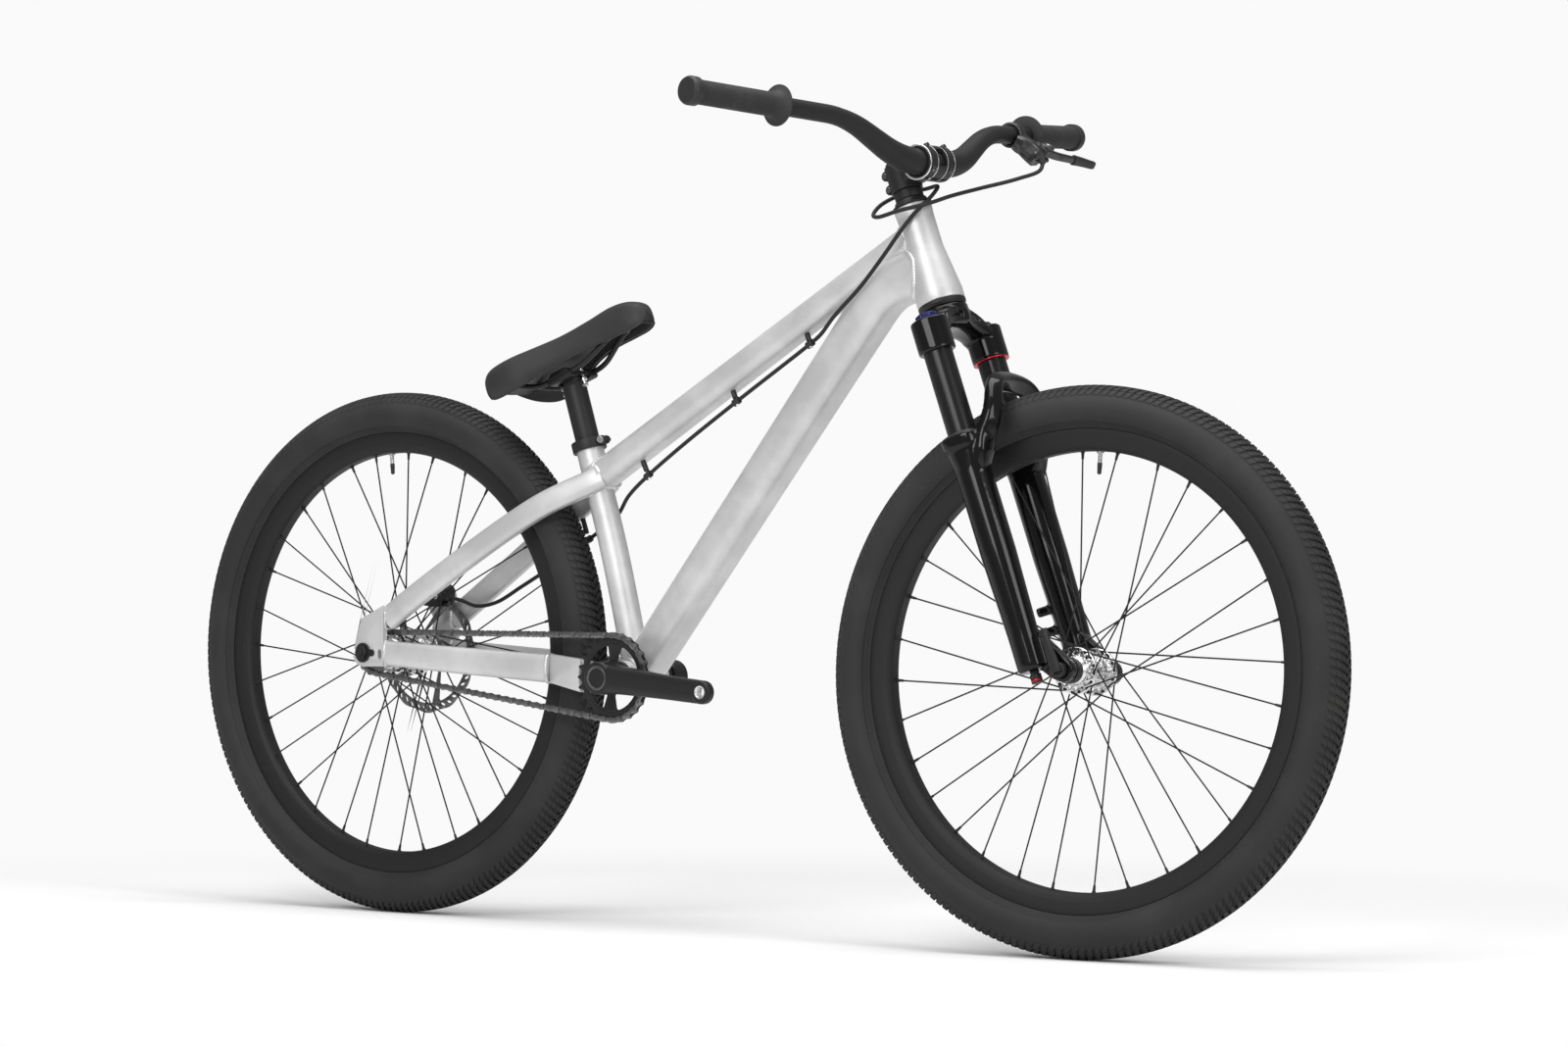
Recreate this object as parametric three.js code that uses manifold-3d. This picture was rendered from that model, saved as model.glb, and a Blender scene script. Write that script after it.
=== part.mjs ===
// Dirt jump bike: an aluminium hardtail with a short suspension fork, one gear and a rear disc brake.
// Sizes are in millimetres. +X points forward, +Y to the rider's left and +Z up.
// The wheels stand on the ground and the origin ends up at the bottom centre of the whole bike.

import * as THREE from 'three';
import { mergeVertices } from 'three/addons/utils/BufferGeometryUtils.js';
import Module from 'manifold-3d';

const wasm = await Module();
wasm.setup();

// Driving dimensions

const fit = 0.3;               // clearance between pieces that seat on each other
const overrun = 5;             // how far a cutter runs past what it cuts
const degree = Math.PI / 180;

const tyreRadius = 336;        // ground to axle
const tyreWidth = 57;
const tyreHeight = 52;         // edge of the rim to the tread
const rimRadius = tyreRadius - tyreHeight;
const rimDepth = 26;
const rimWidth = 30;
const rimWall = 2.6;
const spokesPerWheel = 32;
const spokeRadius = 1.1;
const nippleRadius = 2.1;

const wheelbase = 1068;
const bottomBracketDrop = 23;
const headAngle = 69 * degree;
const forkOffset = 42;         // axle ahead of the steering axis
const photographedSteer = 6.7 * degree; // the wheel is turned to the left, the bar is square to the frame
const crownHeight = 473;       // axle to crown race, along the steering axis

const chainPitch = 12.7;
const ringTeeth = 26;
const cogTeeth = 13;
const tyreToShaft = 58;        // least room from the tyre to the middle of the crank spindle
const chainLinks = 2 * Math.ceil((tyreRadius + tyreToShaft) / chainPitch + (ringTeeth + cogTeeth) / 4);
const chainLine = 50;          // middle of the chain, out from the centre plane

const frontHubWidth = 100;
const rearHubWidth = 135;
const crankLength = 170;
const crankAngle = -4.5 * degree;

// Vectors, directions and the frames that pieces are placed in

const point = (x, y, z) => new THREE.Vector3(x, y, z);
const alongX = point(1, 0, 0);
const alongY = point(0, 1, 0);
const alongZ = point(0, 0, 1);
const sides = [['right', -1], ['left', 1]];

// A right-handed placing: the shape's own Z goes along one direction and its X as near another as it can.
function placing(origin, zWay, xWay = alongX) {
  const z = zWay.clone().normalize();
  const x = xWay.clone().addScaledVector(z, -xWay.dot(z)).normalize();
  const y = z.clone().cross(x);
  return new THREE.Matrix4().makeBasis(x, y, z).setPosition(origin);
}

// Solids

const weldDistance = 1e-4;

// A closed mesh as a solid, turned the right way out.
function solid(geometry) {
  const bare = new THREE.BufferGeometry();
  bare.setAttribute('position', geometry.getAttribute('position').clone());
  if (geometry.index) {
    bare.setIndex(geometry.index.clone());
  }
  const welded = mergeVertices(bare, weldDistance);
  const corners = welded.index.array;
  const kept = [];
  for (let i = 0; i < corners.length; i += 3) {
    const [a, b, c] = [corners[i], corners[i + 1], corners[i + 2]];
    if (a !== b && b !== c && c !== a) {
      kept.push(a, b, c);
    }
  }
  const places = new Float32Array(welded.getAttribute('position').array);
  const outward = signedVolume(places, kept) > 0;
  if (!outward) {
    for (let i = 0; i < kept.length; i += 3) {
      [kept[i + 1], kept[i + 2]] = [kept[i + 2], kept[i + 1]];
    }
  }
  return new wasm.Manifold(new wasm.Mesh({ numProp: 3, vertProperties: places, triVerts: new Uint32Array(kept) }));
}

function signedVolume(places, corners) {
  const at = (i) => point(places[3 * i], places[3 * i + 1], places[3 * i + 2]);
  let total = 0;
  for (let i = 0; i < corners.length; i += 3) {
    total += at(corners[i]).dot(at(corners[i + 1]).cross(at(corners[i + 2])));
  }
  return total;
}

const joined = (first, ...rest) => rest.reduce((whole, next) => whole.add(next), first);
const cut = (first, ...rest) => rest.reduce((whole, next) => whole.subtract(next), first);

// A body of revolution from [radius, height] pairs, its axis along Z. A profile that leaves the axis is closed.
function revolve(profile, segments, place = new THREE.Matrix4()) {
  const outline = profile.map(([radius, height]) => new THREE.Vector2(radius, height));
  const onAxis = outline[0].x === 0 && outline[outline.length - 1].x === 0;
  if (!onAxis) {
    outline.push(outline[0].clone());
  }
  const geometry = new THREE.LatheGeometry(outline, segments);
  geometry.rotateX(Math.PI / 2);
  geometry.applyMatrix4(place);
  return solid(geometry);
}

const rod = (radius, from, to, segments, place) =>
  revolve([[0, from], [radius, from], [radius, to], [0, to]], segments, place);

const pipe = (outer, inner, from, to, segments, place) =>
  revolve([[inner, from], [outer, from], [outer, to], [inner, to]], segments, place);

// The corner radius of a faceted bore whose flats clear a round piece that turns in it.
const around = (radius, segments) => (radius + fit) / Math.cos(Math.PI / segments);

// A round bar between two points.
function bar(start, end, radius, segments, endRadius = radius) {
  const way = end.clone().sub(start);
  const length = way.length();
  const side = Math.abs(way.y) > Math.abs(way.x) ? alongX : alongY;
  return revolve([[0, 0], [radius, 0], [endRadius, length], [0, length]], segments, placing(start, way, side));
}

// A plate from an outline in X and Z, filling from one Y to another.
function plate(outline, fromY, toY) {
  const shape = Array.isArray(outline)
    ? new THREE.Shape(outline.map(([x, z]) => new THREE.Vector2(x, z)))
    : outline;
  const geometry = new THREE.ExtrudeGeometry(shape, {
    depth: toY - fromY,
    bevelEnabled: false,
    curveSegments: plateCurveSteps,
  });
  geometry.rotateX(Math.PI / 2);
  geometry.translate(0, toY, 0);
  return solid(geometry);
}

const plateCurveSteps = 2;

// Skins a row of rings that all have the same number of points, with a fan over each end.
function loft(rings) {
  const around = rings[0].length;
  const places = rings.flat().flatMap((spot) => spot.toArray());
  const corners = [];
  for (let ring = 0; ring + 1 < rings.length; ring += 1) {
    for (let i = 0; i < around; i += 1) {
      const a = ring * around + i;
      const b = ring * around + (i + 1) % around;
      corners.push(a, b, b + around, a, b + around, a + around);
    }
  }
  [rings[0], rings[rings.length - 1]].forEach((ring, end) => {
    const middle = ring.reduce((sum, spot) => sum.add(spot), point(0, 0, 0)).divideScalar(around);
    const hub = places.length / 3;
    places.push(...middle.toArray());
    const base = end === 0 ? 0 : (rings.length - 1) * around;
    for (let i = 0; i < around; i += 1) {
      const a = base + i;
      const b = base + (i + 1) % around;
      corners.push(...(end === 0 ? [hub, b, a] : [hub, a, b]));
    }
  });
  const geometry = new THREE.BufferGeometry();
  geometry.setAttribute('position', new THREE.Float32BufferAttribute(places, 3));
  geometry.setIndex(corners);
  return solid(geometry);
}

// One ring of a loft: a rounded outline square to the path. A squareness of 2 is an ellipse, 4 a soft box.
function ring(centre, way, across, halfWidth, halfHeight, squareness, count) {
  const along = way.clone().normalize();
  const wide = across.clone().addScaledVector(along, -across.dot(along)).normalize();
  const high = along.clone().cross(wide);
  const power = 2 / squareness;
  return Array.from({ length: count }, (_, i) => {
    const turn = 2 * Math.PI * i / count;
    const x = Math.sign(Math.cos(turn)) * Math.abs(Math.cos(turn)) ** power * halfWidth;
    const y = Math.sign(Math.sin(turn)) * Math.abs(Math.sin(turn)) ** power * halfHeight;
    return centre.clone().addScaledVector(wide, x).addScaledVector(high, y);
  });
}

// Sweeps a rounded section along points. size(share) gives its half width and half height at a share of the way.
function sweep(path, size, { across = alongY, squareness = 2, count = 12 } = {}) {
  const rings = path.map((spot, i) => {
    const before = path[Math.max(i - 1, 0)];
    const after = path[Math.min(i + 1, path.length - 1)];
    const [halfWidth, halfHeight] = size(i / (path.length - 1));
    return ring(spot, after.clone().sub(before), across, halfWidth, halfHeight, squareness, count);
  });
  return loft(rings);
}

// A path through corner points, each inner corner rounded from a given distance before it to the same after it.
function rounded(corners, reach, steps) {
  const path = [corners[0]];
  for (let i = 1; i + 1 < corners.length; i += 1) {
    const back = corners[i - 1].clone().sub(corners[i]);
    const on = corners[i + 1].clone().sub(corners[i]);
    const room = Math.min(reach, back.length() / 2, on.length() / 2);
    const start = corners[i].clone().addScaledVector(back.normalize(), room);
    const end = corners[i].clone().addScaledVector(on.normalize(), room);
    path.push(...new THREE.QuadraticBezierCurve3(start, corners[i], end).getPoints(steps));
  }
  path.push(corners[corners.length - 1]);
  return path;
}

const blend = (from, to, share) => from + (to - from) * share;

// Finishes

const finish = (colour, roughness, metalness) => ({ colour, roughness, metalness });
const rawAluminium = finish(0xc9cbcd, 0.38, 0.9);
const polished = finish(0xd4d6d8, 0.18, 1);
const steel = finish(0x55585c, 0.4, 0.9);
const blackMetal = finish(0x161617, 0.45, 0.6);
const glossBlack = finish(0x0d0d0f, 0.15, 0.3);
const blackPlastic = finish(0x1a1a1b, 0.6, 0);
const rubber = finish(0x1c1c1d, 0.85, 0);
const saddleCloth = finish(0x1a1a1b, 0.75, 0);
const redMetal = finish(0xa01f26, 0.35, 0.7);
const blueMetal = finish(0x39498a, 0.35, 0.7);

const bike = new THREE.Group();
const steering = new THREE.Group();
const cockpit = new THREE.Group();

// Names a solid, gives it its finish and hangs it in a group.
function piece(name, shape, look, group = bike) {
  const mesh = shape.getMesh();
  const geometry = new THREE.BufferGeometry();
  geometry.setAttribute('position', new THREE.Float32BufferAttribute(mesh.vertProperties, 3));
  geometry.setIndex(new THREE.Uint32BufferAttribute(mesh.triVerts, 1));
  geometry.computeVertexNormals();
  const material = new THREE.MeshStandardMaterial({
    color: look.colour,
    roughness: look.roughness,
    metalness: look.metalness,
    flatShading: true,
  });
  const node = new THREE.Mesh(geometry, material);
  node.name = name;
  group.add(node);
  return node;
}

// Chain drive: the stay length follows from a whole number of links

const pitchRadius = (teeth) => chainPitch / (2 * Math.sin(Math.PI / teeth));
const ringPitchRadius = pitchRadius(ringTeeth);
const cogPitchRadius = pitchRadius(cogTeeth);
const wrapGain = (centres) => Math.asin((ringPitchRadius - cogPitchRadius) / centres);
const straightRun = (centres) => Math.sqrt(centres ** 2 - (ringPitchRadius - cogPitchRadius) ** 2);

// How many pitches a chain has round both sprockets at a centre distance.
function pitchesRound(centres) {
  const ringWrap = (Math.PI + 2 * wrapGain(centres)) * ringTeeth / (2 * Math.PI);
  const cogWrap = (Math.PI - 2 * wrapGain(centres)) * cogTeeth / (2 * Math.PI);
  return 2 * straightRun(centres) / chainPitch + ringWrap + cogWrap;
}

// The centre distance at which the chain closes, by repeated correction.
function chainstayFor(links) {
  const correctionRounds = 12;
  let centres = links * chainPitch / 2;
  for (let i = 0; i < correctionRounds; i += 1) {
    centres += (links - pitchesRound(centres)) * chainPitch / 2;
  }
  return centres;
}

const chainstayLength = chainstayFor(chainLinks);
const axleHeight = tyreRadius;
const rearAxle = point(0, 0, axleHeight);
const bottomBracketX = Math.sqrt(chainstayLength ** 2 - bottomBracketDrop ** 2);
const bottomBracket = point(bottomBracketX, 0, axleHeight - bottomBracketDrop);
const chainRise = Math.atan2(-bottomBracketDrop, bottomBracketX);

// Steering axis, with its own directions: ahead, across and up the axis from a foot beside the front axle

const frontAxle = point(wheelbase, 0, axleHeight);
const axisUp = point(-Math.cos(headAngle), 0, Math.sin(headAngle));
const axisAhead = point(Math.sin(headAngle), 0, Math.cos(headAngle));
const axisFoot = frontAxle.clone().addScaledVector(axisAhead, -forkOffset);
const onAxis = (ahead, y, up) =>
  axisFoot.clone().addScaledVector(axisAhead, ahead).addScaledVector(axisUp, up).add(point(0, y, 0));
const axisPlacing = placing(axisFoot, axisUp, axisAhead);

steering.matrixAutoUpdate = false;
steering.matrix.copy(axisPlacing).multiply(new THREE.Matrix4().makeRotationZ(photographedSteer));
cockpit.matrixAutoUpdate = false;
cockpit.matrix.makeRotationZ(-photographedSteer);
steering.add(cockpit);
bike.add(steering);

// Brake hose: a loop round the steerer, then clips under the top tube and along the left stay to the caliper

const hoseRadius = 2.5;
const hoseSides = 8;
const hoseSteps = 28;

// Front stretch, from the lever round the steerer, as places ahead of, across and over the middle of the bar
const hoseLoop = [
  [4.6, 221.6, 20.5],
  [9.9, 222.6, 15.9],
  [13.4, 214, 5.3],
  [7.4, 175, -7.7],
  [-6.6, 115, -22.7],
  [-1.6, 50, -35.7],
  [13.4, -24, -50.7],
  [-11.6, -43, -58.7],
  [-42.6, -43, -65.7],
  [-61.6, -28, -61.7],
  [-68.6, -6, -49.7],
  [-66.6, 15, -39.7],
  [-54.6, 33, -30.7],
  [-32.6, 37, -27.7],
  [-5.6, 25, -25.7],
  [5.4, 3, -35.7],
  [4.4, -11, -46.7],
  [-5.6, -22, -61.7],
  [-20.6, -30, -83.7],
  [-40.6, -33, -109.7],
  [-77.6, -31, -147.7],
];

// Its end along the top tube, ahead of, across and over the rear axle, up to the first clip
const hoseTail = [
  [713, -24, 420],
  [686, -12, 401],
  [677.4, -10, 395.3],
];

// Rear stretch, measured the same way, from the first clip to the caliper
const hoseRun = [
  [676.7, -10, 394.8],
  [666.7, -9.4, 388.7],
  [656.7, -8.8, 382.6],
  [553, -8, 319.5],
  [470, -8, 267],
  [413, -6, 229],
  [370, 8, 203],
  [342, 23, 181],
  [316, 32, 167],
  [280, 39, 148],
  [215, 46, 114],
  [160, 50, 87],
  [118, 49, 66],
  [88, 46, 61],
  [62, 44, 68],
  [33.8, 45, 72],
];

const placesFrom = (origin, list) => list.map(([ahead, y, up]) => point(ahead, y, up).add(origin));
const hoseFrontRoute = () =>
  [...placesFrom(onAxis(stemReach, 0, barHeight), hoseLoop), ...placesFrom(rearAxle, hoseTail)];
const hoseRearRoute = placesFrom(rearAxle, hoseRun);

// The places on the rear stretch that a clip holds
const topTubeClips = [1, 3, 5];
const seatstayClips = [9, 10];

// Head tube and headset

const lowerCupHeight = 8;
const headTubeLength = 125;
const headTubeWall = 3.4;
const headTubeFoot = crownHeight + lowerCupHeight;
const headTubeTop = headTubeFoot + headTubeLength;
const headTubeLowerRadius = 29.3;
const headTubeUpperRadius = 22.9;
const headTubeWaistRadius = 22.2;
const headRingHeight = 13;
const headTaperTopShare = 0.56;
const headSegments = 12;

// The head tube's outside, and with a margin the cutter that copes the tubes that meet it.
function headTubeOutside(margin) {
  const taperTop = headTubeFoot + headTubeLength * headTaperTopShare;
  return [
    [headTubeLowerRadius + margin, headTubeFoot - margin],
    [headTubeLowerRadius + margin, headTubeFoot + headRingHeight],
    [headTubeWaistRadius + margin, taperTop],
    [headTubeWaistRadius + margin, headTubeTop - headRingHeight],
    [headTubeUpperRadius + margin, headTubeTop - headRingHeight / 2],
    [headTubeUpperRadius + margin, headTubeTop + margin],
  ];
}

const solidOfOutside = (outside, segments, place) =>
  revolve([[0, outside[0][1]], ...outside, [0, outside[outside.length - 1][1]]], segments, place);
const headTubeCutter = solidOfOutside(headTubeOutside(fit), headSegments, axisPlacing);

function headTube() {
  const outside = headTubeOutside(0);
  const inside = outside.map(([radius, height]) => [radius - headTubeWall, height]).reverse();
  return revolve([...outside, ...inside], headSegments, axisPlacing);
}

const steererRadius = 14.3;
const steererLowerRadius = 19.9;
const steererTaperLength = 70;
const bearingGap = 0.6;
const cupSkirt = 6;
const cupLip = 1.5;

function lowerCup() {
  const outer = headTubeLowerRadius - headTubeWall - fit;
  const inner = around(steererLowerRadius, headSegments) + bearingGap;
  const seat = headTubeFoot - fit;
  return revolve([
    [inner, seat + cupSkirt],
    [outer, seat + cupSkirt],
    [outer, seat],
    [headTubeLowerRadius, seat],
    [headTubeLowerRadius - cupLip, crownHeight + fit],
    [inner, crownHeight + fit],
  ], headSegments, axisPlacing);
}

const upperCupHeight = 9;

function upperCup() {
  const outer = headTubeUpperRadius - headTubeWall - fit;
  const inner = steererRadius + bearingGap;
  const seat = headTubeTop + fit;
  return revolve([
    [inner, seat - cupSkirt],
    [outer, seat - cupSkirt],
    [outer, seat],
    [headTubeUpperRadius, seat],
    [headTubeUpperRadius - cupLip, seat + upperCupHeight / 2],
    [spacerRadius, seat + upperCupHeight],
    [inner, seat + upperCupHeight],
  ], headSegments, axisPlacing);
}

const spacerRadius = 17.5;

// Bottom bracket shell and cups

const shellRadius = 21;
const shellBore = 17.4;
const shellWidth = 73;
const shellSegments = 12;
const cupReach = 7;
const cupInset = 12;
const cupRadius = 20.4;
const spindleRadius = 14.4;
const shellPlacing = placing(bottomBracket, alongY);
const shellCutter = rod(shellRadius + fit, -shellWidth, shellWidth, shellSegments, shellPlacing);

const bottomBracketShell = () =>
  pipe(shellRadius, shellBore, -shellWidth / 2, shellWidth / 2, shellSegments, shellPlacing);

function bottomBracketCup(side) {
  const face = shellWidth / 2 + fit;
  const inner = spindleRadius + bearingGap;
  const place = placing(bottomBracket, alongY.clone().multiplyScalar(side));
  return revolve([
    [inner, face - cupInset],
    [shellBore - fit, face - cupInset],
    [shellBore - fit, face],
    [cupRadius, face],
    [cupRadius, face + cupReach],
    [inner, face + cupReach],
  ], shellSegments, place);
}

// Seat tube, a curved tube from the shell to the collar

const seatTubeRadius = 17.45;
const seatTubeWall = 1.8;
const seatTubeAngle = 71.5 * degree;
const seatTubeSetback = 84.5;     // shell back to the tube's top
const seatTubeRise = 291;         // shell up to the tube's top
const seatTubeTop = point(bottomBracketX - seatTubeSetback, 0, bottomBracket.z + seatTubeRise);
const seatTubeKnee = 0.42;        // share of the height at which the tube begins to bend
const seatTubeUp = point(-Math.cos(seatTubeAngle), 0, Math.sin(seatTubeAngle));
const seatTubeSteps = 5;
const tubeCount = 12;
const slotWidth = 3;
const slotLength = 22;

function seatTubePath() {
  const rise = seatTubeTop.z - bottomBracket.z;
  const knee = seatTubeTop.clone().addScaledVector(seatTubeUp, -rise * (1 - seatTubeKnee) / seatTubeUp.z);
  return [seatTubeTop, ...new THREE.QuadraticBezierCurve3(
    seatTubeTop.clone().lerp(knee, 1 / 2), knee, bottomBracket).getPoints(seatTubeSteps)];
}

const seatTubeSkin = (radius, stretch) => {
  const path = seatTubePath();
  path[0] = path[0].clone().addScaledVector(seatTubeUp, stretch);
  return sweep(path, () => [radius, radius], { count: tubeCount });
};

const seatLean = new THREE.Matrix4().makeRotationY(seatTubeAngle - Math.PI / 2).setPosition(seatTubeTop);

function seatTube() {
  const slot = plate([
    [0, -slotLength],
    [seatTubeRadius * 2, -slotLength],
    [seatTubeRadius * 2, overrun],
    [0, overrun],
  ], -slotWidth / 2, slotWidth / 2);
  return cut(seatTubeSkin(seatTubeRadius, 0), seatTubeSkin(seatTubeRadius - seatTubeWall, overrun), shellCutter,
    slot.transform(seatLean.elements));
}

const seatTubeCutter = seatTubeSkin(seatTubeRadius + fit, overrun);

// The point on the seat tube's centre line at a height.
function onSeatTube(height) {
  const path = seatTubePath();
  const i = path.findIndex((spot) => spot.z < height);
  const [high, low] = [path[i - 1], path[i]];
  return low.clone().lerp(high, (height - low.z) / (high.z - low.z));
}

// Top tube

const topTubeDrop = 45;         // seat tube top down to the top tube's centre line
const topTubeHeadDrop = 33;     // head tube top down to the same, along the axis
const topTubeHalf = 19.5;
const topTubeHeadHalf = 17.5;
const topTubeSquareness = 2.6;
const mainWall = 2;
const mainSteps = 2;

const topTubeStart = onSeatTube(seatTubeTop.z - topTubeDrop);
const topTubeEnd = onAxis(0, 0, headTubeTop - topTubeHeadDrop);

function topTubeSkin(margin) {
  const start = topTubeStart.clone().lerp(topTubeEnd, -Math.max(margin, 0) / topTubeStart.distanceTo(topTubeEnd));
  const path = Array.from({ length: mainSteps + 1 }, (_, i) => start.clone().lerp(topTubeEnd, i / mainSteps));
  const size = (share) => {
    const half = blend(topTubeHalf, topTubeHeadHalf, share) + margin;
    return [half, half];
  };
  return sweep(path, size, { squareness: topTubeSquareness, count: tubeCount });
}

// A clip for the brake hose: a post from inside the tube that carries it, bored for the hose near its end.
const clipWall = 1.7;
const clipRadius = 4.5;
const clipSides = 8;

function hoseClip(hoseSpot, tubeSpot) {
  const way = tubeSpot.clone().sub(hoseSpot).normalize();
  const end = hoseSpot.clone().addScaledVector(way, -hoseRadius - fit - clipWall);
  return bar(end, tubeSpot, clipRadius, clipSides);
}

const hoseCutter = () => hose(hoseRearRoute, hoseRadius + fit * 1.5);

// The point of the top tube's centre line that is nearest to a spot.
const onTopTube = (spot) => new THREE.Line3(topTubeStart, topTubeEnd).closestPointToPoint(spot, true, point(0, 0, 0));

function topTube() {
  const clips = topTubeClips.map((index) => {
    const spot = hoseRearRoute[index];
    return hoseClip(spot, onTopTube(spot));
  });
  const outside = joined(topTubeSkin(0), ...clips);
  return cut(outside, topTubeSkin(-mainWall), headTubeCutter, seatTubeCutter, hoseCutter());
}

const topTubeCutter = topTubeSkin(fit);

// Down tube, straight up from the shell and bent level below the head tube to clear the fork crown

const downTubeHeadRise = 42;    // foot of the head tube up to the down tube's centre line
const downTubeBendShare = 0.922;
const downTubeBowShare = 0.0555;  // height of the bend over the straight line, as a share of its length
const downTubeFootHalves = [24, 25];
const downTubeMidHalves = [26, 28.5];
const downTubeHeadHalves = [23, 33];
const downTubeMidShare = 0.45;
const downTubeSquareness = 3;
const downTubeReach = 60;
const bendSteps = 2;

function downTubePath() {
  const end = onAxis(0, 0, headTubeFoot + downTubeHeadRise);
  const straight = end.clone().sub(bottomBracket);
  const bend = bottomBracket.clone().addScaledVector(straight, downTubeBendShare)
    .addScaledVector(point(-straight.z, 0, straight.x), downTubeBowShare);
  const middle = bottomBracket.clone().lerp(bend, downTubeMidShare);
  const bent = rounded([bottomBracket, bend, end], downTubeReach, bendSteps);
  return [bent[0], middle, ...bent.slice(1)];
}

function downTubeSkin(margin) {
  const path = downTubePath();
  const size = (share) => {
    const lower = share < downTubeMidShare;
    const from = lower ? downTubeFootHalves : downTubeMidHalves;
    const to = lower ? downTubeMidHalves : downTubeHeadHalves;
    const part = lower ? share / downTubeMidShare : (share - downTubeMidShare) / (1 - downTubeMidShare);
    return from.map((half, i) => blend(half, to[i], part) + margin);
  };
  return sweep(path, size, { squareness: downTubeSquareness, count: tubeCount });
}

const downTube = () =>
  cut(downTubeSkin(0), downTubeSkin(-mainWall), headTubeCutter, shellCutter, seatTubeCutter, topTubeCutter);

// Dropouts: plates that close the ends of the two stays of a side, with an open slot for the axle

const dropoutInner = rearHubWidth / 2;
const dropoutThickness = 7;
const stayEndX = 34;
const seatstayFootRise = 42;
const chainstayHalfHeight = 16;
const seatstayHalfHeight = 15.5;
const seatstayFootSlope = 32 * degree;
const dropoutRound = 17;
const dropoutSegments = 12;
const axleBoltRadius = 10.8;
const axleRadius = 5;

// The outline follows the ends of the stays and rounds the axle. The left one has a lug up to the caliper.
function dropoutOutline(lugHeight) {
  const shape = new THREE.Shape();
  const top = seatstayFootRise + seatstayHalfHeight / Math.cos(seatstayFootSlope);
  const back = dropoutRound * Math.tan(seatstayFootSlope / 2);
  shape.moveTo(stayEndX - fit, -chainstayHalfHeight);
  shape.lineTo(stayEndX - fit, top);
  if (lugHeight > top) {
    shape.lineTo(stayEndX - dropoutRound / 2, lugHeight);
    shape.lineTo(-dropoutRound, lugHeight);
    shape.lineTo(-dropoutRound, top);
  }
  shape.lineTo(-back, seatstayFootRise);
  shape.absarc(0, 0, dropoutRound, Math.PI - seatstayFootSlope / 2, Math.PI * 3 / 2, false);
  shape.closePath();
  return shape;
}

// A plate between two distances out from the centre plane, on one side of the bike.
const sidePlate = (outline, side, from, to) =>
  plate(outline, Math.min(from * side, to * side), Math.max(from * side, to * side));

function dropout(side) {
  const outer = dropoutInner + dropoutThickness;
  const lugHeight = side > 0 ? caliperRadius + caliperHeight / 4 : 0;
  const blank = sidePlate(dropoutOutline(lugHeight), side, dropoutInner, outer);
  const bore = rod(axleRadius + fit, -outer - overrun, outer + overrun, dropoutSegments,
    placing(point(0, 0, 0), alongY));
  const slot = sidePlate([
    [0, -axleRadius - fit],
    [-dropoutRound * 2, -axleRadius - fit],
    [-dropoutRound * 2, axleRadius + fit],
    [0, axleRadius + fit],
  ], side, dropoutInner - overrun, outer + overrun);
  return cut(blank, bore, slot).translate(rearAxle.toArray());
}

// Chainstays and seatstays

const chainstayDropoutY = 64;
const chainstayYokeY = 43.5;
const chainstayHalfWidth = 9.5;
const chainstayYokeHalf = 18;
const yokeSetback = 48;         // tyre's edge back to where the stays meet the yoke
const yokeX = tyreRadius - yokeSetback;
const yokeDrop = 14;
const stayCount = 8;
const staySteps = 3;
const stayKneeShare = 0.46;

// Everything behind the flat ends of the stays, where the dropouts are.
const behindStays = () => plate([
  [-tyreRadius, 0],
  [stayEndX, 0],
  [stayEndX, tyreRadius * 2],
  [-tyreRadius, tyreRadius * 2],
], -rearHubWidth, rearHubWidth);

// Everything ahead of the chainstays' flat front ends, where the yoke is.
const aheadOfStays = () => plate([
  [yokeX - fit, 0],
  [wheelbase, 0],
  [wheelbase, tyreRadius * 2],
  [yokeX - fit, tyreRadius * 2],
], -rearHubWidth, rearHubWidth);

function chainstay(side) {
  const start = rearAxle.clone().add(point(stayEndX - overrun, chainstayDropoutY * side, 0));
  const end = rearAxle.clone().add(point(yokeX + overrun, chainstayYokeY * side, -yokeDrop));
  const knee = point(blend(start.x, end.x, stayKneeShare), start.y, blend(start.z, end.z, 1 / 2));
  const path = new THREE.QuadraticBezierCurve3(start, knee, end).getPoints(staySteps);
  const size = (share) => [chainstayHalfWidth, blend(chainstayHalfHeight, chainstayYokeHalf, share)];
  return cut(sweep(path, size, { squareness: downTubeSquareness, count: stayCount }), behindStays(),
    aheadOfStays());
}

const seatstayTopDrop = 49;     // seat tube top down to where the seatstays meet it
const seatstayTopY = 19;
const seatstayTyreX = 262;
const seatstayTyreY = 40;
const seatstayRotorX = 68;
const seatstayBow = 8;
const seatstayHalfWidth = 8.5;

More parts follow.
